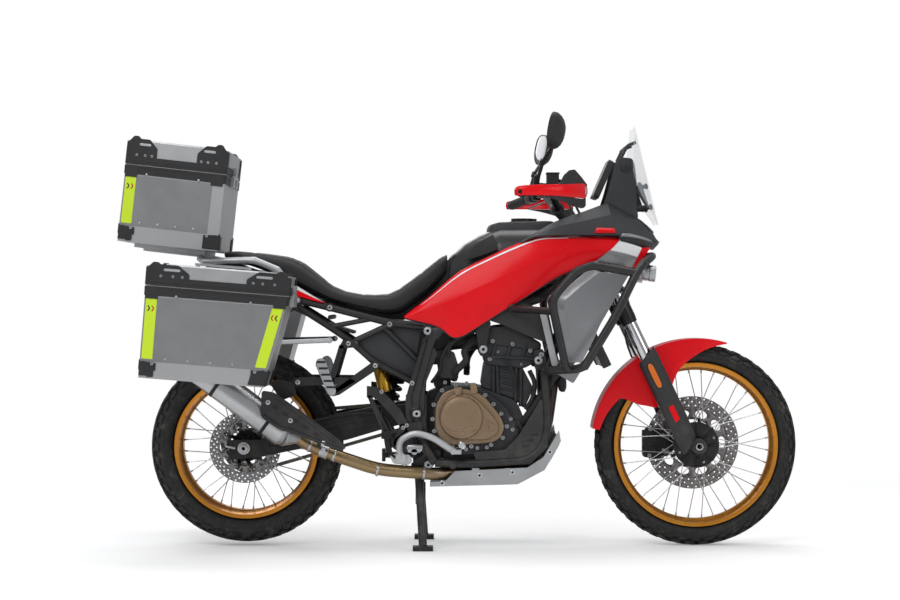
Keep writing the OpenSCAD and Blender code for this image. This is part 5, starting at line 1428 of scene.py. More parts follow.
@dataclass
class Bodywork:
    """Tank, red side panels, dark cowl, nose, screen, grey shrouds and lamps."""

    body: str = "chassis"
    wall: float = 0.0035

    def tank(self) -> None:
        """Tank: across each station, an oval whose half width and top follow the station's place."""
        x = np.linspace(-40, 394, 91)
        top = np.interp(x, [-40, -30, -14, 14, 60, 105, 135, 300, 318, 330, 394],
                        [975, 992, 1003, 1029, 1056, 1076, 1086, 1088, 1078, 1009, 1002])
        wide = np.interp(x, [-40, -20, 20, 90, 290, 318, 330, 394], [60, 70, 90, 128, 138, 120, 72, 60])
        low = np.interp(x, [-40, 60], [900, 880])
        t = np.linspace(0, math.pi, 40)
        c, s = np.cos(t), np.sin(t)
        y = wide[:, None] * squared(c, 0.62)
        z = low[:, None] + (top - low)[:, None] * np.abs(s) ** 0.72
        shell = sheet(np.stack([x[:, None] + 0 * y, y, z], -1) * MM, around=True, caps=True)
        put("tank_shell", shell, TANK_BLACK, self.body, ["fuel_tank"], rounds=1, crease=50)
        plan = filleted([(112, -58), (300, -64), (322, -40), (322, 40), (300, 64), (112, 58), (96, 30),
                         (96, -30)], 16, 6, loop=True)
        rows = []
        for z, g in ((1066, 1.06), (1096, 1.03), (1104, 0.99), (1106.6, 0.93)):
            middle = plan.mean(axis=0)
            ring = middle + (plan - middle) * g
            drop = np.interp(ring[:, 0], [96, 150], [-14, 0])
            rows.append(np.stack([ring[:, 0], ring[:, 1], z + drop], 1))
        put("tank_console", sheet(np.array(rows) * MM, around=True, caps=True), CHARCOAL, self.body,
            crease=30)
        collar = revolve([(1.095, 0.030), (1.095, 0.046), (1.1065, 0.044), (1.107, 0.040), (1.104, 0.031)],
                         (0.214, 0, 0), (0, 0, 1), 48, closed=True)
        put("filler_collar", collar, BAR_BLACK, self.body)
        screws = [bolt((0.214 + 0.0375 * math.cos(a), 0.0375 * math.sin(a), 1.1062), (0, 0, 1), 0.0022,
                       0.0008) for a in np.arange(0.35, TAU, TAU / 7)]
        put("filler_screws", joined(screws), STEEL, self.body)
        pads = []
        for s in (-1, 1):
            g = [guide([(20, 1000), (70, 1036), (112, 1058)], (92, 118, 124), s, 20),
                 guide([(14, 968), (80, 990), (130, 1010)], (104, 134, 143), s, 20)]
            pads.append(loft(g, 6, 0.003))
        put("tank_pads", joined(pads), RUBBER, self.body, wall=0.002, edge=0.0008)

    def side_panels(self) -> None:
        """Red panels folded along two creases, with a white and silver patch at their front and a painted
        highlight.
        """
        red, white, silver, wedge, liners, pins = [], [], [], [], [], []
        for s in (-1, 1):
            g = [guide([(-186, 786), (-112, 842), (-26, 916), (19, 946), (90, 981), (161, 1014), (256, 1049),
                        (330, 1053), (430, 1053), (531, 1050)], (140, 146, 140, 136, 138, 142, 146, 150, 150,
                                                                 150), s),
                 guide([(-186, 783), (-108, 833), (-20, 903), (30, 936), (98, 969), (168, 1001), (260, 1035),
                        (335, 1040), (430, 1040), (530, 1036)], (156, 168, 164, 162, 164, 168, 172, 176, 178,
                                                                 177), s),
                 guide([(-186, 780), (-100, 806), (-10, 846), (60, 880), (130, 912), (205, 946), (280, 972),
                        (350, 990), (420, 1002), (505, 1008)], (162, 178, 182, 184, 185, 185.5, 186, 186, 186,
                                                                185), s),
                 guide([(-187, 778), (-76, 750), (-30, 716), (3, 716), (46, 740), (118, 786), (192, 832),
                        (268, 880), (330, 918), (395, 946), (450, 967)], (160, 166, 168, 168, 168, 168, 168,
                                                                          168, 168, 170, 172), s)]
            red.append(loft(g, 7, 0.0016))
            low = guide([(-180, 774), (-76, 746), (-30, 712), (3, 712), (46, 736), (118, 782), (192, 828),
                         (268, 876), (330, 914), (395, 942), (446, 962)], 150, s)
            liners.append(loft([g[3], low], 2))
            a = [guide([(534, 1048), (575, 1028), (610, 1014)], (150, 150, 148), s, 16),
                 guide([(530, 1034), (572, 1024), (607, 1012)], (177, 176, 172), s, 16),
                 guide([(500, 1004), (550, 993), (592, 981)], (184.5, 181, 176), s, 16),
                 guide([(452, 967), (520, 956), (575, 946)], (172, 172, 168), s, 16)]
            white.append(loft(a[:3], 5, 0.001))
            silver.append(loft(a[2:], 5, 0.001))
            b = [guide([(611, 1014), (638, 1015)], (148, 138), s, 8), guide([(608, 1012), (636, 1012)],
                                                                            (171.5, 158), s, 8),
                 guide([(593, 981), (616, 980)], (175.5, 164), s, 8), guide([(576, 946), (592, 944)],
                                                                            (167.5, 160), s, 8)]
            wedge.append(loft(b, 4))
            # Painted highlight: a thin white strip, tapered at both ends, just under the upper fold.
            edge_line = g[0] + (g[1] - g[0]) * 0.55 + (0, s * 0.0018, 0)
            under = g[0] + (g[1] - g[0]) * 0.95 + (0, s * 0.0016, 0)
            taper = np.interp(np.arange(48), [4, 14, 26, 38], [0.25, 0.8, 1.0, 0.35])[:, None]
            pins.append(loft([edge_line[4:38], (edge_line + (under - edge_line) * taper)[4:38]], 2))
        # The painted highlight strips on the upper folds.
        put("side_panel_painted_highlights", joined(pins), WHITE, self.body, wall=0.0007, outward=1)
        put("side_panels_red", joined(red), RED, self.body, ["side_panels"], wall=self.wall, outward=-1,
            edge=0.0012, crease=14)
        put("side_panel_liners", joined(liners), BLACK_PLASTIC, self.body, wall=0.002, outward=-1)
        put("side_patches_white", joined(white), WHITE, self.body, wall=self.wall, outward=-1, edge=0.001,
            crease=18)
        put("side_patches_silver", joined(silver), SHROUD, self.body, wall=self.wall, outward=-1, edge=0.001)
        put("side_wedges_red", joined(wedge), RED, self.body, wall=self.wall, outward=-1, edge=0.001,
            crease=18)

    def cowl(self) -> None:
        """Dark cowl: two flat facets a side, and a nose swept back by the square of y."""
        facets, badges, inserts = [], [], []
        for s in (-1, 1):
            g = [guide([(200, 1033), (260, 1068), (325, 1104), (410, 1134), (498, 1167)],
                       (142, 132, 124, 112, 98), s),
                 guide([(204, 1030), (262, 1060), (330, 1084), (420, 1104), (505, 1124)],
                       (152, 160, 164, 160, 152), s),
                 guide([(206, 1028), (252, 1052), (350, 1054), (440, 1054), (528, 1054)],
                       (154, 172, 181, 183, 183), s)]
            facets.append(loft(g, 6, 0.001))
            g = [guide([(498, 1167), (550, 1140), (604, 1113), (632, 1090), (652, 1066)],
                       (98, 96, 92, 88, 84), s), guide([(505, 1124), (552, 1110), (600, 1094), (634, 1068),
                                                        (662, 1046)], (152, 142, 128, 112, 96), s),
                 guide([(528, 1054), (560, 1052), (600, 1046), (640, 1038), (674, 1032)],
                       (183, 180, 166, 136, 100), s)]
            facets.append(loft(g, 6, 0.001))
            g = [guide([(528, 1052), (560, 1050), (600, 1044), (640, 1036), (670, 1030)],
                       (182, 178, 164, 134, 98), s),
                 guide([(536, 1036), (570, 1030), (606, 1018), (634, 1010), (650, 1008)],
                       (172, 168, 150, 122, 92), s)]
            facets.append(loft(g, 3))
            low, high = guide([(446, 1061), (520, 1061)], 184.2, s, 8), guide([(456, 1079), (514, 1077)],
                                                                              176.0, s, 8)
            badges.append(loft([low, high], 2))
            insert = [guide([(534, 1050), (572, 1047), (612, 1040), (650, 1030)], (184.5, 179.5, 163, 125), s,
                            16), guide([(540, 1060), (570, 1058), (604, 1051), (640, 1040)],
                                       (182.5, 178.5, 166, 135), s, 16)]
            inserts.append(loft(insert, 2))
        put("cowl_badges", joined(badges), RED, self.body, wall=0.0007, outward=1)
        put("cowl_inserts", joined(inserts), SHROUD, self.body, wall=0.001, outward=1)
        y = np.linspace(-100, 100, 41)
        back = (np.abs(y) / 100) ** 2 * 22
        profiles = [[(604, 1112), (632, 1098), (654, 1080), (664, 1068)], [(664, 1068), (655, 1069),
                                                                           (646, 1066)],
                    [(640, 1040), (660, 1038), (677, 1033), (676, 1029), (655, 1014), (640, 1008),
                     (600, 1005)]]
        for profile in profiles:
            p = smooth_path(profile, 5)
            x = p[:, :1] - back[None] * np.clip((p[:, :1] - 590) / 80, 0, 1)
            z = p[:, 1:] + 0 * y[None]
            facets.append(sheet(np.stack([x, y[None] + 0 * z, z], -1) * MM))
        put("cowl_facets", joined(facets), CHARCOAL, self.body, ["front_cowl"], wall=0.003, outward=-1,
            edge=0.0012, crease=16)

    def tower(self) -> None:
        """The tower that holds the screen, with its wings, stays, knobs and pegs."""
        tower, knobs = [], []
        side_view = filleted(flat([(486, 1162), (500, 1206), (524, 1300), (544, 1321), (583, 1317),
                                   (592, 1292), (598, 1238), (598, 1150), (604, 1113), (560, 1118)]), 0.010,
                             4, loop=True)
        for s in (-1, 1):
            tower.append(prism(side_view, *sorted((s * 0.074, s * 0.091))))
            place = np.array((0.560, s * 0.091, 1.286))
            knobs.append(revolve([(-0.004, 0.006), (-0.002, 0.017), (0.004, 0.017), (0.006, 0.014),
                                  (0.006, 0.005)], place, (0, s, 0), 28))
            knobs.append(bolt(place + (0, s * 0.005, 0), (0, s, 0), 0.005, 0.004))
            knobs.append(tube([(0.596, s * 0.080, 1.218), (0.628, s * 0.080, 1.222)], 0.0075, sides=16))
            knobs.append(tube([(0.596, s * 0.080, 1.150), (0.644, s * 0.080, 1.152)], 0.0075, sides=16))
            wing = filleted(flat([(600, 1236), (612, 1236), (640, 1150), (636, 1140), (598, 1200)]), 0.006, 4,
                            loop=True)
            tower.append(prism(wing, *sorted((s * 0.092, s * 0.096))))
        front = [(560, 1110), (598, 1112), (606, 1150), (598, 1238), (590, 1250), (566, 1152)]
        tower.append(prism(filleted(flat(front), 0.006, 4, loop=True), -0.075, 0.075))
        tower += [tube([(0.545, y, 1.318), (0.566, y, 1.360), (0.596, y, 1.372)], 0.006, 0.01)
                  for y in (-0.080, 0.080)]
        tower.append(tube([(0.560, -0.080, 1.352), (0.560, 0.080, 1.352)], 0.0065))
        put("screen_tower", joined(tower), CHARCOAL, self.body, edge=0.002)
        put("screen_fixings", joined(knobs), BLACK_PLASTIC, self.body)

    def screen(self) -> None:
        """Clear screen: a slice of a leaning tube whose half width changes with height."""
        radius, lean, foot = 0.2555, math.radians(13.5), np.array((0.680, 0.0, 1.096))
        h = np.linspace(0, 0.345, 70)
        half = np.interp(h, np.array([0, 40, 70, 110, 150, 190, 230, 280, 320, 338, 345]) * MM,
                         np.array([58, 92, 124, 146, 158, 158, 146, 116, 86, 68, 52]) * MM)
        a = np.linspace(-1, 1, 41)[None] * np.arcsin(half / radius)[:, None]
        x = radius * (np.cos(a) - 1)
        y = radius * np.sin(a)
        z = h[:, None] + 0 * a
        points = foot + np.stack([x * math.cos(lean) - z * math.sin(lean), y,
                                  x * math.sin(lean) + z * math.cos(lean)], -1)
        put("clear_screen_sheet", sheet(points), SCREEN, self.body, ["windscreen"], wall=0.0035, outward=-1,
            crease=50)
        grommets = []
        for s in (-1, 1):
            for z_at, x_at in ((1222, 632), (1152, 648)):
                grommets.append(revolve([(0, 0.003), (0, 0.0105), (0.004, 0.0105), (0.007, 0.007),
                                         (0.007, 0.002)], (x_at * MM - 0.004, s * 0.080, z_at * MM),
                                        (1, s * 0.35, 0.22), 20))
        put("screen_grommets", joined(grommets), BLACK_PLASTIC, self.body)

    def dash(self) -> None:
        """Instrument case and its dark glass, a rounded outline leaning back, with keys beside it."""
        down, up = np.array((0.4475, 0.0, 1.190)), np.array((0.5035, 0.0, 1.3165))
        rise = unit(up - down)
        out = np.array((-rise[2], 0, rise[0]))
        out = out if out[0] < 0 else -out
        length = float(np.linalg.norm(up - down))

        def plate_at(half_y: float, ends: float, near: float, far: float, corner: float) -> Shell:
            """A rounded plate in the dash's own plane, between two depths."""
            outline = filleted([(-half_y, ends), (half_y, ends), (half_y, length - ends),
                                (-half_y, length - ends)], corner, 6, loop=True)
            middle = outline.mean(axis=0)
            rows = []
            for depth, g in ((far, 0.97), (far * 0.5 + near * 0.5, 1.0), (near - 0.0005, 1.0), (near, 0.985)):
                ring = middle + (outline - middle) * g
                rows.append(down + ring[:, :1] * np.array((0, 1, 0)) + ring[:, 1:] * rise - out * depth)
            return sheet(np.array(rows), around=True, caps=True)

        put("dash_case", plate_at(0.087, 0.001, 0.004, 0.024, 0.014), BLACK_PLASTIC, self.body,
            ["instrument_display"])
        put("dash_glass", plate_at(0.079, 0.009, 0.0030, 0.006, 0.008), SMOKED, self.body)
        keys = [revolve([(0, 0.001), (0, 0.0045), (0.002, 0.004), (0.002, 0.001)], down + rise * 0.0055
                        + np.array((0, y, 0)) - out * 0.005, out, 16) for y in (-0.012, 0.0, 0.012)]
        put("dash_keys", joined(keys), RUBBER, self.body)

    def lamps(self) -> None:
        """Twin headlamp lenses under a brow, bright bowls behind them, and two fog lamps."""
        bowls, lenses = [], []
        housing = prism(filleted(flat([(596, 1022), (632, 1022), (644, 1048), (636, 1066), (600, 1088)]),
                                 0.006, 4, loop=True), -0.094, 0.094)
        for s in (-1, 1):
            centre = np.array((0.634, s * 0.045, 1.052))
            axis = unit((1, s * 0.16, 0.06))
            bowls.append(revolve([(-0.002, 0.004), (-0.002, 0.010), (0.006, 0.019), (0.013, 0.0225),
                                  (0.014, 0.0245), (0.006, 0.0245), (-0.006, 0.014), (-0.006, 0.004)], centre,
                                 axis, 40))
            bowls.append(revolve([(-0.001, 0.002), (0.006, 0.0075), (0.010, 0.005), (0.0115, 0.001)], centre,
                                 axis, 24))
            t = np.linspace(0, TAU, 40, endpoint=False)
            wide = 0.043 * squared(np.cos(t), 0.7)
            high = 0.0215 * squared(np.sin(t), 0.7) + 0.004 * s * np.cos(t)
            rows = []
            for depth, g in ((0.004, 1.0), (0.014, 1.0), (0.0175, 0.93), (0.0195, 0.6), (0.020, 0.1)):
                px = depth - 0.09 * np.abs(wide * g + 0.045 * s) + 0.002
                rows.append(np.stack([0.638 + px, s * 0.045 + wide * g, 1.051 + high * g], 1))
            lenses.append(sheet(np.array(rows), around=True, caps=True))
        put("headlamp_housing", housing, BLACK_PLASTIC, self.body, ["headlamp"], edge=0.002)
        put("headlamp_bowls", joined(bowls), CHROME, self.body)
        put("headlamp_lenses", joined(lenses), LENS, self.body, crease=50)
        barrels, glasses, yokes = [], [], []
        for s in (-1, 1):
            start = np.array((0.604, s * 0.206, 0.9285))
            along = unit((1, 0, -0.095))
            fins = [(0.000, 0.010), (0.000, 0.018), (0.006, 0.022)]
            for k in range(3):
                fins += [(0.007 + 0.005 * k, 0.0255), (0.0095 + 0.005 * k, 0.0255),
                         (0.0098 + 0.005 * k, 0.0225), (0.0118 + 0.005 * k, 0.0225)]
            fins += [(0.024, 0.026), (0.042, 0.0268), (0.044, 0.0262), (0.044, 0.0232), (0.034, 0.020),
                     (0.026, 0.010)]
            barrels.append(revolve(fins, start, along, 40))
            glasses.append(revolve([(0.0395, 0.002), (0.0395, 0.0225), (0.0415, 0.0222), (0.0432, 0.014),
                                    (0.0436, 0.002)], start, along, 40))
            yokes.append(tube([(0.622, s * 0.206, 0.950), (0.624, s * 0.205, 0.968)], 0.0072))
            yokes.append(block((0.610, s * 0.206 - 0.013, 0.948), (0.636, s * 0.206 + 0.013, 0.953)))
        put("fog_lamp_barrels", joined(barrels), ALLOY, self.body, ["fog_lamps"])
        put("fog_lamp_lenses", joined(glasses), LENS, self.body)
        put("fog_lamp_yokes", joined(yokes), POWDER, self.body)

    def shrouds(self) -> None:
        """Grey radiator shrouds: a broad face folded near its rear edge, a red stripe, and a tip below."""
        faces, cores, stripes, slashes, tips, blades = [], [], [], [], [], []
        for s in (-1, 1):
            rear = [(436, 944), (384, 902), (344, 866), (315, 838), (328, 760), (346, 680), (358, 630)]
            fold = [(462, 930), (414, 894), (372, 858), (346, 828), (352, 760), (362, 686), (374, 632)]
            front = [(558, 925), (532, 882), (506, 838), (484, 798), (460, 755), (436, 700), (400, 630)]
            g = [guide(rear, (206, 208, 208, 206, 204, 200, 196), s),
                 guide(fold, (224, 227, 227, 226, 222, 216, 208), s),
                 guide(front, (220, 224, 226, 225, 222, 214, 205), s)]
            faces.append(loft(g, 10, 0.0015))
            inner = guide(rear, 178, s)
            faces.append(loft([inner, g[0]], 3))
            nose = guide([(554, 918), (528, 876), (502, 834), (478, 792), (456, 750), (432, 698), (398, 632)],
                         180, s)
            faces.append(loft([g[2], nose], 3))
            core = filleted(flat([(436, 934), (548, 916), (456, 756), (412, 650), (398, 634), (362, 634),
                                  (322, 838)]), 0.010, 4, loop=True)
            cores.append(prism(core, *sorted((s * 0.1745, s * 0.196))))
            a = g[2] + (0, s * 0.0004, 0)
            b = a + (g[1] - g[2]) * 0.13 + (0, s * 0.0006, 0)
            c = a + (g[1] - g[2]) * 0.055 + (0, s * 0.0005, 0)
            stripes.append(loft([a[3:34], c[3:34]], 2))
            stripes.append(loft([(a + (g[1] - g[2]) * 0.075)[3:34] + (0, s * 0.0006, 0), b[3:34]], 2))
            for k in (25, 28):
                w = a + (g[1] - g[2]) * 0.19
                slashes.append(loft([a[k:k + 2] + (0, s * 0.0008, 0), w[k + 1:k + 3] + (0, s * 0.0012, 0)],
                                    2))
            tip = filleted(flat([(316, 596), (376, 560), (406, 608), (398, 622), (356, 622), (350, 616)]),
                           0.008, 4, loop=True)
            tips.append(prism(tip, *sorted((s * 0.176, s * 0.201))))
            blade = filleted(flat([(262, 812), (286, 806), (328, 622), (308, 612)]), 0.008, 4, loop=True)
            blades.append(prism(blade, *sorted((s * 0.166, s * 0.1705))))
        put("shroud_faces", joined(faces), SHROUD, self.body, ["shrouds"], wall=0.003, outward=-1,
            edge=0.0012, crease=16)
        put("shroud_cores", joined(cores), BLACK_PLASTIC, self.body, edge=0.002)
        put("shroud_stripes", joined(stripes), RED, self.body, wall=0.0006, outward=1)
        put("shroud_slashes", joined(slashes), WHITE, self.body, wall=0.0007, outward=1)
        put("shroud_tips", joined(tips), SHROUD, self.body, edge=0.003, steps=3)
        put("radiator_side_blades", joined(blades), SILVER_PAINT, self.body, edge=0.0015)

    def build(self) -> None:
        """Makes every panel and lamp."""
        self.tank()
        self.side_panels()
        self.cowl()
        self.tower()
        self.screen()
        self.dash()
        self.lamps()
        self.shrouds()
        dress(["fuel_cap"], BAR_BLACK)


# ---- Frame, engine and exhaust ----


def both_sides(shells: Iterable[Shell]) -> Shell:
    """Several shapes and their mirror images in y, as one."""
    return joined(shells).both()


def plate(points: Sequence[tuple[float, float]], low: float, high: float, corner: float = 6.0) -> Shell:
    """A flat plate from a side outline in millimetres, with rounded corners, between two distances out."""
    return prism(filleted(flat(points), corner * MM, 4, loop=True), low * MM, high * MM)


def steered(x: float | Array, y: float | Array, z: float | Array) -> Array:
    """A point, or many, given in millimetres along and across the steering axis, in metres."""
    rake = math.radians(25.6)
    return np.stack([542.7 + x * math.cos(rake) - z * math.sin(rake), y,
                     758.2 + x * math.sin(rake) + z * math.cos(rake)], -1) * MM


def washers(points: Sequence[tuple[float, float]], y: float, radius: float,
            height: float = 4.0) -> list[Shell]:
    """Screws on one side: side-view points in millimetres, with their heads at a distance out."""
    side = (0, math.copysign(1, y), 0)
    return [bolt((x * MM, y * MM, z * MM), side, radius * MM, height * MM) for x, z in points]


@dataclass
class FrameWork:
    """Main and rear frame, crash bars, engine guard plates, stands and foot controls."""

    body: str = "chassis"
    skin: float = 0.2

    def main_frame(self) -> None:
        """Spars with smooth bends over the CAD tubes, pivot plates and their bolts."""
        tubes = []
        for s in (-1, 1):
            spar = [steered(-62, s * 31, 232), *(np.array(p) * MM for p in (
                (262, s * 118, 842), (60, s * 148, 778), (-88, s * 150, 735), (-150, s * 150, 512),
                (-142, s * 150, 392), (-84, s * 162.5, 294)))]
            cradle = [steered(-78, s * 30, 176), *(np.array(p) * MM for p in (
                (330, s * 104, 690), (281, s * 162.5, 590), (293, s * 162.5, 430), (279, s * 162.5, 350),
                (229, s * 162.5, 302), (31, s * 162.5, 290), (-84, s * 162.5, 294)))]
            tubes += [tube(spar, (16 + self.skin) * MM, 0.05, 20), tube(cradle, (14 + self.skin) * MM, 0.045,
                                                                        20)]
        put("frame_tubes", joined(tubes), POWDER, self.body)
        post = plate([(-104, 700), (-74, 660), (-116, 556), (-120, 470), (-108, 396), (-128, 352),
                      (-168, 356), (-182, 420), (-184, 500), (-160, 590), (-128, 690)], 142, 158, 10)
        ear = plate([(-128, 752), (-82, 764), (-52, 740), (-70, 706), (-108, 700)], 144, 160, 10)
        gusset = plate([(34, 778), (78, 796), (104, 764), (84, 650), (66, 650), (52, 740)], 143, 154, 8)
        front = plate([(246, 668), (276, 676), (292, 640), (284, 600), (250, 606)], 150, 158, 8)
        put("frame_plates", both_sides([post, ear, gusset, front]), POWDER, self.body, edge=0.003)
        shells = washers([(-108, 735), (78, 673), (262, 636), (-106, 287)], -161, 11, 6)
        shells += washers([(-160, 560), (-132, 372), (272, 655), (-58, 292)], -158.5, 6.5, 5)
        put("frame_bolts", both_sides(shells), ALLOY, self.body)
        caps = [revolve([(0.0, 0.006), (0.0, 0.024), (0.006, 0.023), (0.008, 0.018), (0.005, 0.014),
                         (0.005, 0.006)], (-0.145, -0.158, 0.458), (0, -1, 0), 36)]
        put("swingarm_pivot_caps", both_sides(caps), BAR_BLACK, self.body)
        put("swingarm_pivot_nuts", both_sides([bolt((-0.145, -0.163, 0.458), (0, -1, 0), 0.011, 0.006)]),
            ALLOY, self.body)

    def rear_frame(self) -> None:
        """Upper rails, lower struts and cross braces of the rear frame."""
        shells = []
        for s in (-1, 1):
            y = 118 * s
            rail = outer([(-90, 744), (-230, 759), (-437, 813), (-545, 838), (-700, 905), (-850, 952)], y)
            strut = outer([(-138, 552), (-287, 627), (-359, 693), (-437, 747), (-545, 815)], y)
            shells += [tube(rail, 0.0122, 0.08, 18), tube(strut, 0.0112, 0.06, 18),
                       tube(outer([(-236, 755), (-355, 700)], y), 0.0102, sides=16),
                       tube(outer([(-300, 774), (-437, 748)], y), 0.0085, sides=16),
                       tube(outer([(-146, 640), (-262, 752)], y), 0.0095, sides=16)]
            for x, z in ((-236, 757), (-437, 813), (-545, 836), (-355, 692)):
                shells.append(revolve([(-0.015, 0.004), (-0.015, 0.0145), (0.015, 0.0145), (0.015, 0.004)],
                                      (x * MM, y * MM, z * MM), (0, 1, 0), 24))
        for x, z in ((-330, 705), (-437, 780), (-640, 868)):
            shells.append(tube([(x * MM, -0.115, z * MM), (x * MM, 0.115, z * MM)], 0.008))
        put("rear_frame_tubes", joined(shells), POWDER, self.body)
        put("rear_frame_bolts", both_sides(washers([(-236, 757), (-437, 813), (-545, 836), (-355, 692)],
                                                   -133.5, 7, 5)), STEEL, self.body)
        box = plate([(-150, 700), (-236, 740), (-300, 735), (-340, 680), (-290, 612), (-180, 560),
                     (-152, 600)], -98, 98, 12)
        put("airbox", box, BLACK_PLASTIC, self.body, edge=0.008, steps=3)
        side = plate([(-160, 726), (-232, 745), (-280, 704), (-282, 640), (-170, 566), (-158, 640)], 99, 104,
                     10)
        put("airbox_covers", both_sides([side]), GUARD, self.body, edge=0.002)

    def crash_bars(self) -> None:
        """Bars round the shrouds with smooth bends, over the CAD tubes."""
        a = [(640, 0, 985), (646, 120, 985), (632, 200, 978), (600, 270, 956), (574, 300, 922),
             (502, 312, 777), (407, 312, 622), (380, 292, 611), (300, 230, 606), (281, 204, 600),
             (281, 177, 600)]
        b = [(572, 298, 926), (431, 312, 952), (378, 312, 932), (309, 312, 852), (301, 312, 822),
             (343, 312, 622), (352, 302, 612)]
        c = [(303, 312, 800), (250, 250, 804), (178, 176, 808), (178, 149, 813)]
        shells = [tube(np.array(line) * MM, radius * MM, 0.03, 20) for line, radius in ((a, 14.3), (b, 13.3),
                                                                                        (c, 12.3))]
        put("crash_bar_tubes", both_sides(shells), POWDER, self.body)
        nuts = [bolt((0.178, 0.178, 0.808), (0, 1, 0), 0.0085, 0.006), bolt((0.281, 0.218, 0.600), (0, 1, 0),
                                                                            0.010, 0.006)]
        nuts += [revolve([(0, 0.006), (0, 0.017), (0.012, 0.017), (0.014, 0.014), (0.014, 0.006)],
                         (0.178, 0.162, 0.808), (0, 1, 0), 28)]
        put("crash_bar_bolts", both_sides(nuts), BAR_BLACK, self.body)

    def guards(self) -> None:
        """Black side guards beside the sump, pressed ribs on the skid plate, and its bolts."""
        shape = [(268, 508), (288, 500), (302, 430), (290, 350), (238, 312), (54, 300), (44, 330), (150, 338),
                 (196, 386), (262, 494)]
        put("sump_guards", both_sides([plate(shape, 164, 169, 8)]), GUARD, self.body, edge=0.002)
        slots = [plate([(238 - k * 14, 392 - k * 19), (262 - k * 14, 394 - k * 19),
                        (258 - k * 14, 385 - k * 19), (234 - k * 14, 384 - k * 19)], 168.2, 169.6, 2)
                 for k in range(3)]
        put("sump_guard_slots", both_sides(slots), RUBBER, self.body)
        ribs = []
        for y in (-90, -45, 0, 45, 90):
            line = outer([(-80, 213.2), (192, 219.5), (285, 268), (332, 352)], y)
            ribs.append(sweep(filleted(line, 0.05, 6), circle(0.0055, 8, 0.35), up=(0, 1, 0), caps=True))
        put("skid_ribs", joined(ribs), SKID, self.body)
        put("skid_bolts", both_sides(washers([(65, 252), (-60, 226), (300, 330), (175, 262)], -165.4, 8, 4)),
            STEEL, self.body)

    def stands(self) -> None:
        """Feet and gussets on the stands, and their finish."""
        shells = []
        for s in (-1, 1):
            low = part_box("center_stand")[0]
            foot = (low[0] + 0.034, s * (abs(low[1]) - 0.022), 0.001)
            shells.append(revolve([(0.0, 0.006), (0.0, 0.020), (0.012, 0.019), (0.018, 0.014),
                                   (0.018, 0.006)], foot, (0, 0, 1), 28))
            shells.append(block((-0.150, s * 0.097 - 0.005, 0.150), (-0.118, s * 0.097 + 0.005, 0.205)))
        put("center_stand_gussets", joined(shells), POWDER, "center_stand", edge=0.001)
        dress(["center_stand", "side_stand"], POWDER)

    def controls(self) -> None:
        """Heel guards, pegs and the passenger's brackets, in place of the CAD's plain ones."""
        dark, pegs, teeth, pads, rings = [], [], [], [], []
        for s in (-1, 1):
            near, far = sorted((s * 172.5, s * 178))
            bars = [[(-311, 552), (-270, 546), (-199, 474), (-176, 430), (-176, 404), (-192, 402),
                     (-222, 446), (-282, 512), (-311, 512)], [(-311, 520), (-296, 520), (-222, 372),
                                                              (-176, 408), (-172, 396), (-226, 344),
                                                              (-240, 350)], [(-200, 424), (-128, 432),
                                                                             (-126, 404), (-160, 384),
                                                                             (-152, 336), (-196, 326),
                                                                             (-224, 344), (-222, 366)]]
            dark += [plate(bar, near, far, 4) for bar in bars]
            near, far = sorted((s * 133, s * 141))
            bars = [[(-264, 626), (-276, 606), (-404, 520), (-428, 514), (-432, 532), (-410, 546),
                     (-290, 632)], [(-556, 574), (-540, 578), (-370, 576), (-348, 566), (-424, 520),
                                    (-440, 532), (-404, 556), (-548, 548), (-562, 558)],
                    [(-388, 684), (-404, 690), (-442, 566), (-424, 560)], [(-352, 700), (-392, 706),
                                                                           (-408, 674), (-340, 680)]]
            dark += [plate(bar, near, far, 5) for bar in bars]
            for k in range(7):
                y = s * (186 + 11 * k) * MM
                teeth.append(block((-0.1745, y - 0.0022, 0.349), (-0.1255, y + 0.0022, 0.3555)))
            teeth.append(tube([(-0.174, s * 0.182, 0.351), (-0.174, s * 0.260, 0.351)], 0.0032))
            teeth.append(tube([(-0.126, s * 0.182, 0.351), (-0.126, s * 0.260, 0.351)], 0.0032))
            pegs.append(tube([(-0.151, s * 0.158, 0.339), (-0.151, s * 0.262, 0.339)], 0.0105, sides=20))
            near, far = sorted((s * 178, s * 262))
            pegs.append(plate([(-172, 336), (-130, 336), (-128, 349), (-174, 349)], near, far, 4))
            near, far = sorted((s * 141, s * 163))
            pads.append(plate([(-416, 522), (-432, 514), (-444, 524), (-484, 622), (-478, 640), (-462, 644),
                               (-450, 634), (-414, 534)], near, far, 6))
            for k in range(5):
                x, z = -430 - 8.4 * k, 546 + 21 * k
                rings.append(block(((x - 17) * MM, s * 0.163 - 0.002, (z - 3) * MM),
                                   ((x + 13) * MM, s * 0.163 + 0.002, (z + 4) * MM)))
        put("foot_brackets", joined(dark), POWDER, self.body, ["foot_controls"], edge=0.0015)
        put("rider_pegs", joined(pegs), ALLOY, self.body, edge=0.001)
        put("peg_teeth", joined(teeth), STEEL, self.body, edge=0.0006)
        put("passenger_pegs", joined(pads), ALLOY, self.body, edge=0.003)
        put("passenger_peg_pads", joined(rings), RUBBER, self.body, edge=0.0008)

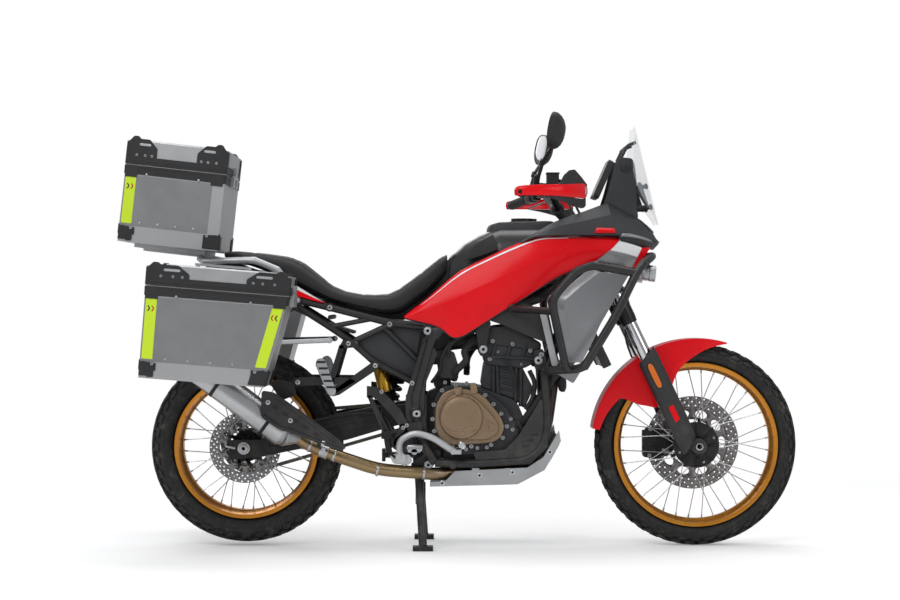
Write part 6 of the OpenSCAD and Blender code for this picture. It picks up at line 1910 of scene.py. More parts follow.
    def pedals(self) -> None:
        """Brake pedal, gear lever, rear master cylinder, and the screws of the foot controls."""
        pedal = filleted([(-0.197, -0.188, 0.308), (-0.205, -0.188, 0.369), (-0.152, -0.190, 0.397),
                          (-0.094, -0.192, 0.382), (-0.016, -0.200, 0.332)], 0.024, 8)
        pieces = [sweep(pedal, circle(0.0112, 16), caps=True), block((-0.030, -0.225, 0.327),
                                                                     (0.004, -0.186, 0.340)),
                  revolve([(-0.012, 0.006), (-0.012, 0.018), (0.012, 0.018), (0.012, 0.006)],
                          (-0.197, -0.186, 0.312), (0, 1, 0), 28),
                  plate([(-236, 318), (-214, 326), (-168, 322), (-158, 300), (-172, 288), (-222, 292)],
                        -178.5, -172, 6)]
        lever = filleted([(-0.186, 0.188, 0.330), (-0.110, 0.194, 0.326), (-0.030, 0.200, 0.342)], 0.02, 6)
        pieces += [sweep(lever, circle(0.0062, 12), caps=True),
                   tube([(-0.030, 0.196, 0.342), (-0.030, 0.236, 0.342)], 0.0085, sides=16),
                   tube([(-0.186, 0.160, 0.330), (-0.186, 0.192, 0.330)], 0.0085, sides=16),
                   tube([(-0.186, 0.176, 0.330), (-0.098, 0.150, 0.470)], 0.0045)]
        put("pedal_and_lever", joined(pieces), SILVER_PAINT, self.body, edge=0.001)
        links = [hose([(-0.246, -0.178, 0.400), (-0.262, -0.172, 0.440), (-0.262, -0.150, 0.470)], 0.005),
                 tube([(-0.236, -0.184, 0.330), (-0.246, -0.184, 0.392)], 0.0105, sides=18),
                 block((-0.262, -0.196, 0.376), (-0.230, -0.172, 0.400)), tube([(-0.236, -0.184, 0.33),
                                                                             (-0.206, -0.186, 0.305)], 0.004)]
        put("rear_master_cylinder", joined(links), BAR_BLACK, self.body, edge=0.0015)
        bolts = washers([(-262, 532), (-178, 420), (-190, 412), (-206, 352), (-160, 346)], -178.2, 5.5, 4)
        bolts += washers([(-544, 562), (-374, 692), (-284, 618), (-426, 548)], -141.2, 6.5, 4)
        put("control_bolts", both_sides(bolts), STEEL, self.body)

    def build(self) -> None:
        """Makes every part of the frame group."""
        self.main_frame()
        self.rear_frame()
        self.crash_bars()
        self.guards()
        self.stands()
        self.controls()
        self.pedals()
        dress(["steering_head", "main_frame", "subframe", "crash_bars"], POWDER)
        dress(["skid_plate"], SKID)


@dataclass
class Engine:
    """Crankcase, tilted cylinder block, bronze covers, radiator and hoses."""

    body: str = "chassis"
    half: float = 148.0

    def casting(self) -> None:
        """Crankcase and block as bevelled castings, stepped in width, with ribs."""
        case = [(-56, 304), (-40, 288), (160, 288), (212, 330), (216, 440), (190, 500), (70, 545), (-56, 545)]
        core = plate(case, -128, 128, 22)
        flange = plate([(-88, 384), (-74, 344), (-30, 318), (150, 320), (188, 352), (190, 420), (150, 486),
                        (66, 546), (-60, 552), (-90, 500)], -self.half, self.half, 20)
        rear = plate([(-56, 300), (-120, 330), (-126, 420), (-118, 520), (-60, 545), (-40, 420)], -92, 82, 16)
        put("crankcase", joined([core, flange, rear]), ENGINE_CAST, self.body, ["engine"], edge=0.007,
            steps=3)
        block_pts = [(70, 546), (190, 501), (216, 470), (248, 540), (210, 612), (82, 628)]
        head = [(80, 622), (214, 606), (262, 634), (276, 690), (168, 752), (104, 746), (76, 700)]
        put("cylinder_block", plate(block_pts, -112, 112, 12), ENGINE_CAST, self.body, edge=0.006, steps=3)
        put("cylinder_head", plate(head, -126, 126, 16), ENGINE_CAST, self.body, edge=0.006, steps=3)
        cover = [(96, 690), (268, 664), (276, 692), (168, 756), (104, 750), (84, 708)]
        put("valve_cover", plate(cover, -131, 131, 14), BLACK_PLASTIC, self.body, edge=0.006, steps=3)
        ribs = []
        for s in (-1, 1):
            for x0, z0, x1, z1, y in ((112, 520, 112, 640, 114), (128, 514, 124, 660, 114),
                                      (186, 486, 190, 626, 114), (204, 480, 206, 616, 114)):
                ribs.append(sweep(np.array([(x0, s * y, z0), (x1, s * y, z1)], float) * MM,
                                  circle(0.007, 10), up=(0, 1, 0), caps=True))
            for k in range(4):
                z = 540 + 20 * k
                ribs.append(sweep(np.array([(124, s * 112, z + 6), (196, s * 112, z - 12)], float) * MM,
                                  circle(0.0045, 8), up=(0, 1, 0), caps=True))
            for k in range(3):
                ribs.append(sweep(np.array([(104 + 52 * k, s * 128, 640), (120 + 52 * k, s * 130, 690)],
                                           float) * MM, circle(0.005, 8), up=(0, 1, 0), caps=True))
            ribs.append(sweep(np.array([(100, s * 129, 648), (250, s * 129, 640)], float) * MM,
                              circle(0.005, 8), up=(0, 1, 0), caps=True))
        put("casting_ribs", joined(ribs), ENGINE_CAST, self.body)

    def right_cover(self) -> None:
        """Bronze clutch cover: a bevelled flange, a raised lobe towards the front, and a domed disc."""
        flange = [(-66, 372), (-30, 352), (104, 360), (136, 376), (150, 414), (134, 452), (86, 512),
                  (48, 536), (-14, 545), (-58, 528), (-82, 486), (-84, 410)]
        lobe = [(-52, 400), (-20, 372), (92, 372), (120, 388), (132, 414), (116, 444), (66, 500), (34, 522),
                (-14, 526), (-46, 508), (-64, 470)]
        shells = [plate(flange, -166, -self.half - 0.3, 14), plate(lobe, -180, -164, 14)]
        put("clutch_cover", joined(shells), BRONZE, self.body, ["engine_covers"], edge=0.005, steps=3)
        c, axis = (0.004, -0.178, 0.446), (0, -1, 0)
        dome = [(-0.004, 0.070), (0.000, 0.073), (0.007, 0.071), (0.011, 0.066), (0.013, 0.050),
                (0.0135, 0.030), (0.0135, 0.001)]
        put("clutch_dome", revolve(dome, c, axis, 72), BRONZE, self.body, crease=50)
        shells = []
        for k in range(4):
            x = -0.030 + 0.0235 * k
            drop = math.sqrt(0.062 ** 2 - (x - c[0]) ** 2)
            line = np.array([(x, -0.1905, 0.414 - 0.006 * math.cos(k)), (x, -0.1895, c[2] - drop + 0.003)])
            shells.append(sweep(line, circle(0.0024, 8), caps=True))
        a = np.linspace(math.radians(205), math.radians(335), 30)
        arc = np.stack([c[0] + 0.066 * np.cos(a), np.full(30, -0.1885), c[2] + 0.066 * np.sin(a)], 1)
        shells.append(sweep(arc, circle(0.0034, 8), caps=True))
        chord = np.array([(-0.060, -0.1895, 0.423), (-0.01, -0.1915, 0.402), (0.066, -0.1895, 0.414)])
        shells.append(sweep(smooth_path(chord, 8), circle(0.003, 8), caps=True))
        shells.append(plate([(86, 436), (122, 420), (116, 404), (92, 402), (98, 416)], -184, -178, 4))
        shells.append(plate([(-22, 546), (6, 548), (2, 522), (-16, 522)], -184, -170, 4))
        shells.append(plate([(34, 560), (52, 562), (60, 530), (36, 524)], -172, -156, 5))
        put("clutch_cover_relief", joined(shells), BRONZE, self.body, edge=0.0012)
        points = [(-62, 364), (-24, 346), (38, 349), (104, 354), (143, 378), (157, 416), (138, 458),
                  (112, 490), (84, 520), (50, 545), (-14, 552), (-60, 536), (-88, 488), (-92, 440),
                  (-86, 400)]
        put("clutch_cover_bolts", joined(washers(points, -160, 5.6, 9)), STEEL, self.body)
        small = washers([(-10, 340), (20, 338), (58, 342), (90, 344), (170, 440), (176, 404), (-50, 562),
                         (22, 560)], -148.4, 5, 6)
        put("crankcase_bolts", joined(small), STEEL, self.body)
        sight = revolve([(0, 0.004), (0, 0.013), (0.004, 0.013), (0.005, 0.010), (0.003, 0.009),
                         (0.003, 0.002)], (0.006, -0.166, 0.352), (0, -1, 0), 28)
        put("oil_window", sight, CHROME, self.body)

    def left_cover(self) -> None:
        """Bronze generator cover and the sprocket guard on the left."""
        c, axis = (0.060, 0.148, 0.430), (0, 1, 0)
        profile = [(0.0003, 0.074), (0.018, 0.074), (0.026, 0.071), (0.031, 0.064), (0.034, 0.050),
                   (0.040, 0.048), (0.0405, 0.030), (0.038, 0.026), (0.038, 0.001)]
        put("generator_cover", revolve(profile, c, axis, 72), BRONZE, self.body, crease=40)
        screws = [bolt((c[0] + 0.079 * math.cos(a), 0.1484, c[2] + 0.079 * math.sin(a)), axis, 0.0056, 0.008)
                  for a in np.arange(0.2, TAU, TAU / 9)]
        put("generator_bolts", joined(screws), STEEL, self.body)
        guard = plate([(-134, 420), (-112, 388), (-52, 392), (-34, 440), (-50, 500), (-96, 520), (-130, 490)],
                      112, 126, 14)
        put("sprocket_guard", guard, GUARD, self.body, edge=0.004)

    def cooling(self) -> None:
        """Radiator with fine louvres and side tanks, and hoses down to the engine."""
        def slab(x0: float, x1: float, y0: float, y1: float, z0: float, z1: float) -> Shell:
            """A box aligned with the steering axis, from millimetres."""
            box = block((x0, y0, z0), (x1, y1, z1))
            return Shell(steered(*box.points.T), box.faces)

        shells = [slab(-122, -92, s * 158 - 14, s * 158 + 14, -108, 60) for s in (-1, 1)]
        shells += [slab(-119, -95, -150, 150, z, z + 8) for z in (-106, 50)]
        put("radiator_tanks", joined(shells), BLACK_PLASTIC, self.body, ["radiator"], edge=0.004, steps=3)
        rows = [slab(-118, -96, -150, 150, z, z + 2.2) for z in np.arange(-98, 50, 6.5)]
        columns = [slab(-116, -98, y, y + 1.0, -98, 50) for y in np.arange(-148, 148, 7.5)]
        put("radiator_core", joined(rows + columns), ALLOY, self.body)
        ways = [
            ([(78, -96, 700), (48, -112, 700), (16, -118, 668), (20, -118, 634), (-14, -112, 598),
              (-20, -90, 570)], 12),
            ([(196, -104, 400), (226, -128, 446), (262, -134, 494), (300, -136, 560), (372, -144, 650)], 14),
            ([(110, 118, 700), (70, 130, 690), (30, 126, 640), (24, 100, 580)], 11),
            ([(-40, -108, 640), (-30, -120, 690), (30, -128, 728), (90, -120, 742)], 7),
            ([(150, -132, 640), (176, -140, 600), (184, -134, 540)], 4),
            ([(234, -120, 600), (250, -132, 560), (244, -128, 510), (222, -118, 470)], 8),
            ([(-96, -116, 560), (-70, -126, 600), (-60, -120, 650), (-30, -118, 700)], 5),
        ]
        put("engine_hoses", joined([hose(np.array(way) * MM, r * MM, 14) for way, r in ways]), RUBBER,
            self.body)
        clamps = []
        for way, r in ways[:3]:
            path = smooth_path(np.array(way, float) * MM, 8)
            for k in (3, -4):
                clamps.append(revolve([(-0.004, r * MM), (-0.004, (r + 1.6) * MM), (0.004, (r + 1.6) * MM),
                                       (0.004, r * MM)], path[k], path[k] - path[k - 1], 24, closed=True))
        put("hose_clamps", joined(clamps), STEEL, self.body)
        pump = [revolve([(0, 0.006), (0, 0.026), (0.012, 0.025), (0.020, 0.016), (0.021, 0.004)],
                        (0.180, -0.128, 0.392), (0, -1, 0), 36),
                plate([(150, 420), (196, 440), (214, 404), (190, 366), (152, 372)], -134, -120, 10)]
        put("water_pump", joined(pump), ENGINE_CAST, self.body, edge=0.002)

    def intake(self) -> None:
        """Throttle bodies, panel under the tank, starter, horn and filter behind the cylinders."""
        shells = []
        for s in (-1, 1):
            shells.append(tube([(0.100, s * 0.045, 0.690), (0.020, s * 0.045, 0.700),
                                (-0.050, s * 0.045, 0.690)], 0.026, sides=24))
            shells.append(revolve([(-0.012, 0.02), (-0.012, 0.031), (0.012, 0.031), (0.012, 0.02)],
                                  (0.040, s * 0.045, 0.698), (1, 0, 0.1), 28))
        shells.append(plate([(-150, 730), (-40, 750), (-26, 680), (-40, 620), (-150, 620)], -96, 96, 14))
        shells.append(plate([(-84, 668), (-20, 664), (0, 600), (-10, 572), (-70, 574)], -112, -60, 10))
        shells.append(tube([(-0.060, -0.07, 0.560), (-0.060, 0.06, 0.560)], 0.030, sides=28))
        put("intake", joined(shells), BLACK_PLASTIC, self.body, edge=0.003)
        panel = plate([(176, 838), (226, 826), (284, 800), (304, 690), (240, 712), (150, 752), (96, 770),
                       (92, 790)], 150, 155, 8)
        put("under_tank_panels", both_sides([panel]), GUARD, self.body, edge=0.0025)
        horn = [revolve([(0, 0.004), (0, 0.030), (0.006, 0.034), (0.014, 0.034), (0.018, 0.028),
                         (0.022, 0.012), (0.022, 0.002)], (0.336, -0.090, 0.560), (1, -0.3, 0.1), 36),
                tube([(0.332, -0.09, 0.56), (0.306, -0.10, 0.585), (0.300, -0.13, 0.590)], 0.006)]
        horn.append(revolve([(-0.04, 0.004), (-0.04, 0.034), (0.03, 0.036), (0.04, 0.030), (0.043, 0.01)],
                            (0.236, 0.02, 0.372), (1, 0, 0.12), 40))
        put("horn_and_filter", joined(horn), BLACK_PLASTIC, self.body)
        bolts = washers([(110, 700), (176, 690), (236, 668), (100, 640)], -131.5, 5.5, 5)
        bolts += washers([(112, 646), (206, 622), (128, 664)], -124, 5, 6)
        put("head_bolts", both_sides(bolts), STEEL, self.body)

    def build(self) -> None:
        """Makes the engine group."""
        self.casting()
        self.right_cover()
        self.left_cover()
        self.cooling()
        self.intake()


@dataclass
class Exhaust:
    """Golden headers and pipe, silver muffler with a black guard."""

    body: str = "chassis"

    def pipe(self) -> None:
        """Two headers that meet under the engine, and the pipe back along the right."""
        welds, headers = [], []
        for s in (-1, 1):
            header = np.array([(273, 48 * s, 640), (296, 48 * s, 640), (314, 48 * s, 616), (318, 40 * s, 560),
                               (296, 26 * s, 400), (240, 24 * s, 286), (190, 22 * s, 256)], float) * MM
            headers.append(tube(header, 0.0193, 0.035, 22))
            welds.append(revolve([(-0.006, 0.019), (-0.006, 0.030), (0.006, 0.030), (0.006, 0.019)],
                                 header[0], (1, 0, 0), 28, closed=True))
        main = np.array([(196, 0, 256), (60, 0, 256), (34, -50, 256), (-10, -110, 256), (-52, -136, 256),
                         (-84, -152, 256), (-130, -160, 260), (-275, -160, 271), (-446, -160, 328),
                         (-505, -160, 353.6), (-548, -160, 383)], float) * MM
        run = sweep(filleted(main, 0.05, 8), circle(0.0214, 26), caps=True)
        put("exhaust_tubes", run, PIPE_GOLD, self.body, ["exhaust_pipe"])
        put("exhaust_headers", joined(headers), PIPE_DARK, self.body)
        for x, z, slope in ((-0.120, 0.2592, 0.06), (-0.275, 0.271, 0.2), (-0.420, 0.3195, 0.33),
                            (-0.500, 0.3515, 0.43)):
            welds.append(revolve([(-0.005, 0.021), (-0.003, 0.0232), (0.003, 0.0232), (0.005, 0.021)],
                                 (x, -0.160, z), (-1, 0, slope), 32))
        welds.append(revolve([(-0.014, 0.021), (-0.014, 0.0245), (0.014, 0.0245), (0.014, 0.021)],
                             (-0.455, -0.160, 0.332), (-1, 0, 0.36), 32))
        welds.append(block((-0.462, -0.192, 0.326), (-0.448, -0.182, 0.346)))
        put("exhaust_clamps", joined(welds), STEEL, self.body, edge=0.001)
        probe = [tube([(-0.185, -0.160, 0.284), (-0.190, -0.160, 0.312)], 0.009),
                 hose([(-0.190, -0.160, 0.312), (-0.192, -0.158, 0.34), (-0.160, -0.150, 0.39),
                       (-0.13, -0.14, 0.42)], 0.003)]
        put("oxygen_probe", joined(probe), STEEL, self.body)

    def muffler(self) -> None:
        """Muffler: a spun can with a rolled cap, an inlet cone, and the black guard's pressed plate."""
        rise = math.radians(37)
        axis = np.array((-math.cos(rise), 0, math.sin(rise)))
        start = np.array((-0.585, -0.185, 0.392))
        can = [(-0.012, 0.030), (-0.004, 0.040), (0.004, 0.0465), (0.016, 0.0482), (0.348, 0.0482),
               (0.350, 0.0472), (0.354, 0.0472), (0.356, 0.0486), (0.372, 0.0486), (0.3755, 0.046),
               (0.376, 0.040)]
        shells = [revolve(can, start, axis, 56)]
        cone = np.linspace(0, 1, 7)[:, None]
        path = np.array((-0.540, -0.160, 0.380)) * (1 - cone) + (start + axis * 0.004) * cone
        shells.append(sweep(path, circle(1.0, 32), size=np.linspace(0.0222, 0.044, 7)))
        put("muffler_can", joined(shells), MUFFLER, self.body, ["muffler"], crease=28)
        tip = [(0.372, 0.0405), (0.374, 0.020), (0.376, 0.019), (0.3765, 0.0165), (0.330, 0.016),
               (0.330, 0.002)]
        bands = [revolve([(k, 0.048), (k, 0.0494), (k + 0.012, 0.0494), (k + 0.012, 0.048)], start, axis, 56,
                         closed=True) for k in (0.060, 0.268)]
        put("muffler_tip", joined([revolve(tip, start, axis, 48), *bands]), BAR_BLACK, self.body)
        outline = filleted(flat([(-655, 540), (-659, 453), (-600, 411), (-544, 394), (-398, 338), (-374, 349),
                                 (-398, 376), (-530, 474), (-613, 533)]), 0.012, 5, loop=True)
        guard = prism(outline, -0.243, -0.2385)
        fold = sweep(np.array([(-0.650, -0.241, 0.458), (-0.600, -0.244, 0.420), (-0.544, -0.244, 0.402),
                               (-0.400, -0.244, 0.346)]), circle(0.005, 10), caps=True)
        fold2 = sweep(np.array([(-0.610, -0.244, 0.520), (-0.530, -0.245, 0.462), (-0.410, -0.244, 0.370)]),
                      circle(0.004, 10), caps=True)
        tabs = [tube([(-0.600, -0.240, 0.470), (-0.606, -0.228, 0.462)], 0.009),
                tube([(-0.470, -0.240, 0.390), (-0.470, -0.182, 0.350)], 0.006)]
        put("muffler_guard", joined([guard, fold, fold2, *tabs]), GUARD, self.body, edge=0.0015)
        slits = [plate([(-618 + 34 * k, 494 - 22 * k), (-600 + 34 * k, 484 - 22 * k),
                        (-606 + 34 * k, 474 - 22 * k), (-624 + 34 * k, 484 - 22 * k)], -243.8, -242.6, 3)
                 for k in range(5)]
        put("muffler_guard_slots", joined(slits), RUBBER, self.body)
        put("muffler_bolts", joined(washers([(-634, 500), (-452, 366), (-560, 440)], -243.6, 6.5, 4)), STEEL,
            self.body)
        hanger = plate([(-640, 560), (-612, 574), (-560, 560), (-548, 520), (-600, 500)], -138, -133, 8)
        put("muffler_hanger", hanger, POWDER, self.body, edge=0.001)

    def build(self) -> None:
        """Makes the exhaust."""
        self.pipe()
        self.muffler()


@dataclass
class Running:
    """Swingarm, shock absorber, chain and rear brake, all on the chassis."""

    body: str = "chassis"

    def arm(self) -> None:
        """Ribs, cap ends and adjusters on the swingarm."""
        shells = []
        for s in (-1, 1):
            line = np.array([(-180, s * 131.5, 452), (-330, s * 131.5, 436), (-480, s * 131.5, 404),
                             (-640, s * 131.5, 364)], float) * MM
            shells.append(sweep(smooth_path(line, 6), circle(0.006, 10, 0.4), up=(0, 1, 0), caps=True))
            shells.append(sweep(smooth_path(line - (0, 0, 0.022), 6), circle(0.0045, 10, 0.4), up=(0, 1, 0),
                                caps=True))
        put("swingarm_ribs", joined(shells), HUB_BLACK, self.body)
        centre = np.mean(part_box("rear_tyre"), axis=0)
        ends = []
        for s in (-1, 1):
            place = centre * (1, 0, 1) + (0, s * 0.1315, 0)
            ends.append(revolve([(0, 0.009), (0, 0.021), (0.004, 0.021), (0.006, 0.018), (0.006, 0.009)],
                                place, (0, s, 0), 32))
            ends.append(bolt(place + (0, s * 0.006, 0), (0, s, 0), 0.0135, 0.010))
            ends.append(tube([place + (-0.028, s * 0.002, 0), place + (-0.062, s * 0.002, 0.008)], 0.0045))
        put("axle_nuts", joined(ends), ALLOY, self.body)
        dress(["swingarm"], HUB_BLACK)

    def shock(self) -> None:
        """Spring coils as a helix, damper body, lower eye and golden reservoir."""
        low, high = np.array((-0.268, 0, 0.448)), np.array((-0.190, 0, 0.690))
        axis = unit(high - low)
        span = float(np.linalg.norm(high - low))
        e1, e2 = basis(axis)
        t = np.linspace(0, 1, 220)[:, None]
        a = t * TAU * 6.5
        path = low + axis * (0.035 + t * (span - 0.085)) + (e1 * np.cos(a) + e2 * np.sin(a)) * 0.036
        put("shock_spring", sweep(path, circle(0.0062, 10), caps=True), BAR_BLACK, self.body, ["rear_shock"])
        profile = [(0.0, 0.008), (0.0, 0.017), (0.024, 0.018), (0.026, 0.041), (0.034, 0.042), (0.036, 0.020),
                   (span - 0.07, 0.021), (span - 0.052, 0.040), (span - 0.044, 0.042), (span - 0.038, 0.024),
                   (span, 0.020), (span, 0.006)]
        shells = [revolve(profile, low, axis, 40)]
        shells += [revolve([(-0.03, 0.008), (-0.03, 0.020), (0.03, 0.020), (0.03, 0.008)], p, (0, 1, 0), 32,
                           closed=True) for p in (low, high)]
        put("shock_body", joined(shells), HUB_BLACK, self.body)
        start, end = np.array((-0.272, -0.074, 0.612)), np.array((-0.252, -0.074, 0.530))
        length = float(np.linalg.norm(end - start))
        can = [(-0.004, 0.004), (-0.004, 0.021), (0.0, 0.0235), (length, 0.0235), (length + 0.004, 0.017),
               (length + 0.006, 0.004)]
        put("shock_reservoir", revolve(can, start, end - start, 40), GOLD, self.body)
        line = hose([(-0.250, -0.070, 0.526), (-0.232, -0.05, 0.490), (-0.222, -0.02, 0.540)], 0.006)
        arm = tube([(-0.260, -0.062, 0.56), (-0.236, -0.02, 0.565)], 0.010)
        put("shock_line", joined([line, arm]), BAR_BLACK, self.body)

    def chain(self) -> None:
        """Chain links round both sprockets: plates copied along one closed loop."""
        front, back = np.array((-0.098, 0.455)), np.mean(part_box("rear_tyre"), axis=0)[[0, 2]]
        r0, r1, pitch = 0.034, 0.098, 0.01588
        gap = back - front
        length = float(np.linalg.norm(gap))
        facing = math.atan2(gap[1], gap[0])
        spread = math.acos((r0 - r1) / length)
        up, down = facing - spread, facing + spread

        def arc(centre: Array, radius: float, start: float, end: float) -> Array:
            """Points round one sprocket."""
            a = np.linspace(start, end, 60)
            return centre + radius * np.stack([np.cos(a), np.sin(a)], 1)

        wheel_side, engine_side = arc(back, r1, down, up), arc(front, r0, up + TAU, down)
        loop = np.vstack([wheel_side, engine_side, wheel_side[:1]])
        run = np.r_[0, np.cumsum(np.linalg.norm(np.diff(loop, axis=0), axis=1))]
        links = 2 * round(run[-1] / pitch / 2)
        at = np.linspace(0, run[-1], links + 1)
        x, z = (np.interp(at, run, loop[:, k]) for k in range(2))
        start, end = np.stack([x[:-1], z[:-1]], 1), np.stack([x[1:], z[1:]], 1)
        along = (end - start) / np.linalg.norm(end - start, axis=1)[:, None]
        across = np.stack([-along[:, 1], along[:, 0]], 1)
        t = np.linspace(0, TAU, 20, endpoint=False)
        shape = np.stack([np.sign(np.cos(t)) * 0.0079 + np.cos(t) * 0.0066,
                          np.sin(t) * (0.0070 - 0.0016 * np.abs(np.sin(t)) ** 8)], 1)
        middle = (start + end) / 2
        flat_points = middle[:, None] + shape[:, :1] * along[:, None] + shape[:, 1:] * across[:, None]
        out = np.where(np.arange(links) % 2 == 0, 0.0085, 0.0062)
        one = sheet(np.zeros((2, 20, 3)), around=True, caps=True)
        shells = []
        for s in (-1, 1):
            rows = [np.stack([flat_points[..., 0], np.broadcast_to((0.093 + s * (out + d))[:, None],
                                                                   (links, 20)), flat_points[..., 1]], -1)
                    for d in (0.0, 0.0018)]
            shells.append(copies(one, np.concatenate(rows, axis=1)))
        pin = np.stack([np.cos(t[::2]), np.sin(t[::2])], 1) * 0.0048
        rows = [np.stack([start[:, None, 0] + pin[None, :, 0], np.full((links, 10), 0.093 + d),
                          start[:, None, 1] + pin[None, :, 1]], -1) for d in (-0.0075, 0.0075)]
        shells.append(copies(sheet(np.zeros((2, 10, 3)), around=True, caps=True),
                             np.concatenate(rows, axis=1)))
        put("chain_links", joined(shells), CHAIN, self.body, ["drive_chain"])
        front_wheel = revolve([(-0.003, 0.010), (-0.003, 0.031), (0.003, 0.031), (0.003, 0.010)],
                              (-0.098, 0.093, 0.455), (0, 1, 0), 34)
        put("front_sprocket", front_wheel, CHAIN, self.body)

    def brake(self) -> None:
        """Ridges, pins and hose of the rear caliper."""
        low, high = (np.array(c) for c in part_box("rear_caliper"))
        c = (low + high) / 2
        size = high - low
        bridge = block((c[0] - size[0] * 0.42, low[1] - 0.001, c[2] - size[2] * 0.32),
                       (c[0] + size[0] * 0.30, low[1] + 0.012, c[2] + size[2] * 0.36))
        put("rear_caliper_bridge", bridge, HUB_BLACK, self.body, edge=0.004, steps=3)
        pins = [bolt((c[0] + d * size[0], low[1] - 0.001, c[2] + e * size[2]), (0, -1, 0), 0.006, 0.005)
                for d, e in ((-0.3, 0.2), (0.2, -0.2), (0.18, 0.26))]
        put("rear_caliper_pins", joined(pins), STEEL, self.body)
        line = hose([c + (0.02, -0.02, 0.01), c + (0.10, -0.035, 0.03), (-0.56, -0.138, 0.42),
                     (-0.40, -0.138, 0.452), (-0.27, -0.140, 0.455), (-0.225, -0.165, 0.40)], 0.0034)
        put("rear_brake_hose", line, RUBBER, self.body)
        dress(["rear_caliper"], HUB_BLACK)

    def build(self) -> None:
        """Makes the running gear."""
        self.arm()
        self.shock()
        self.chain()
        self.brake()


# ---- Seat, tail, rack and cases ----


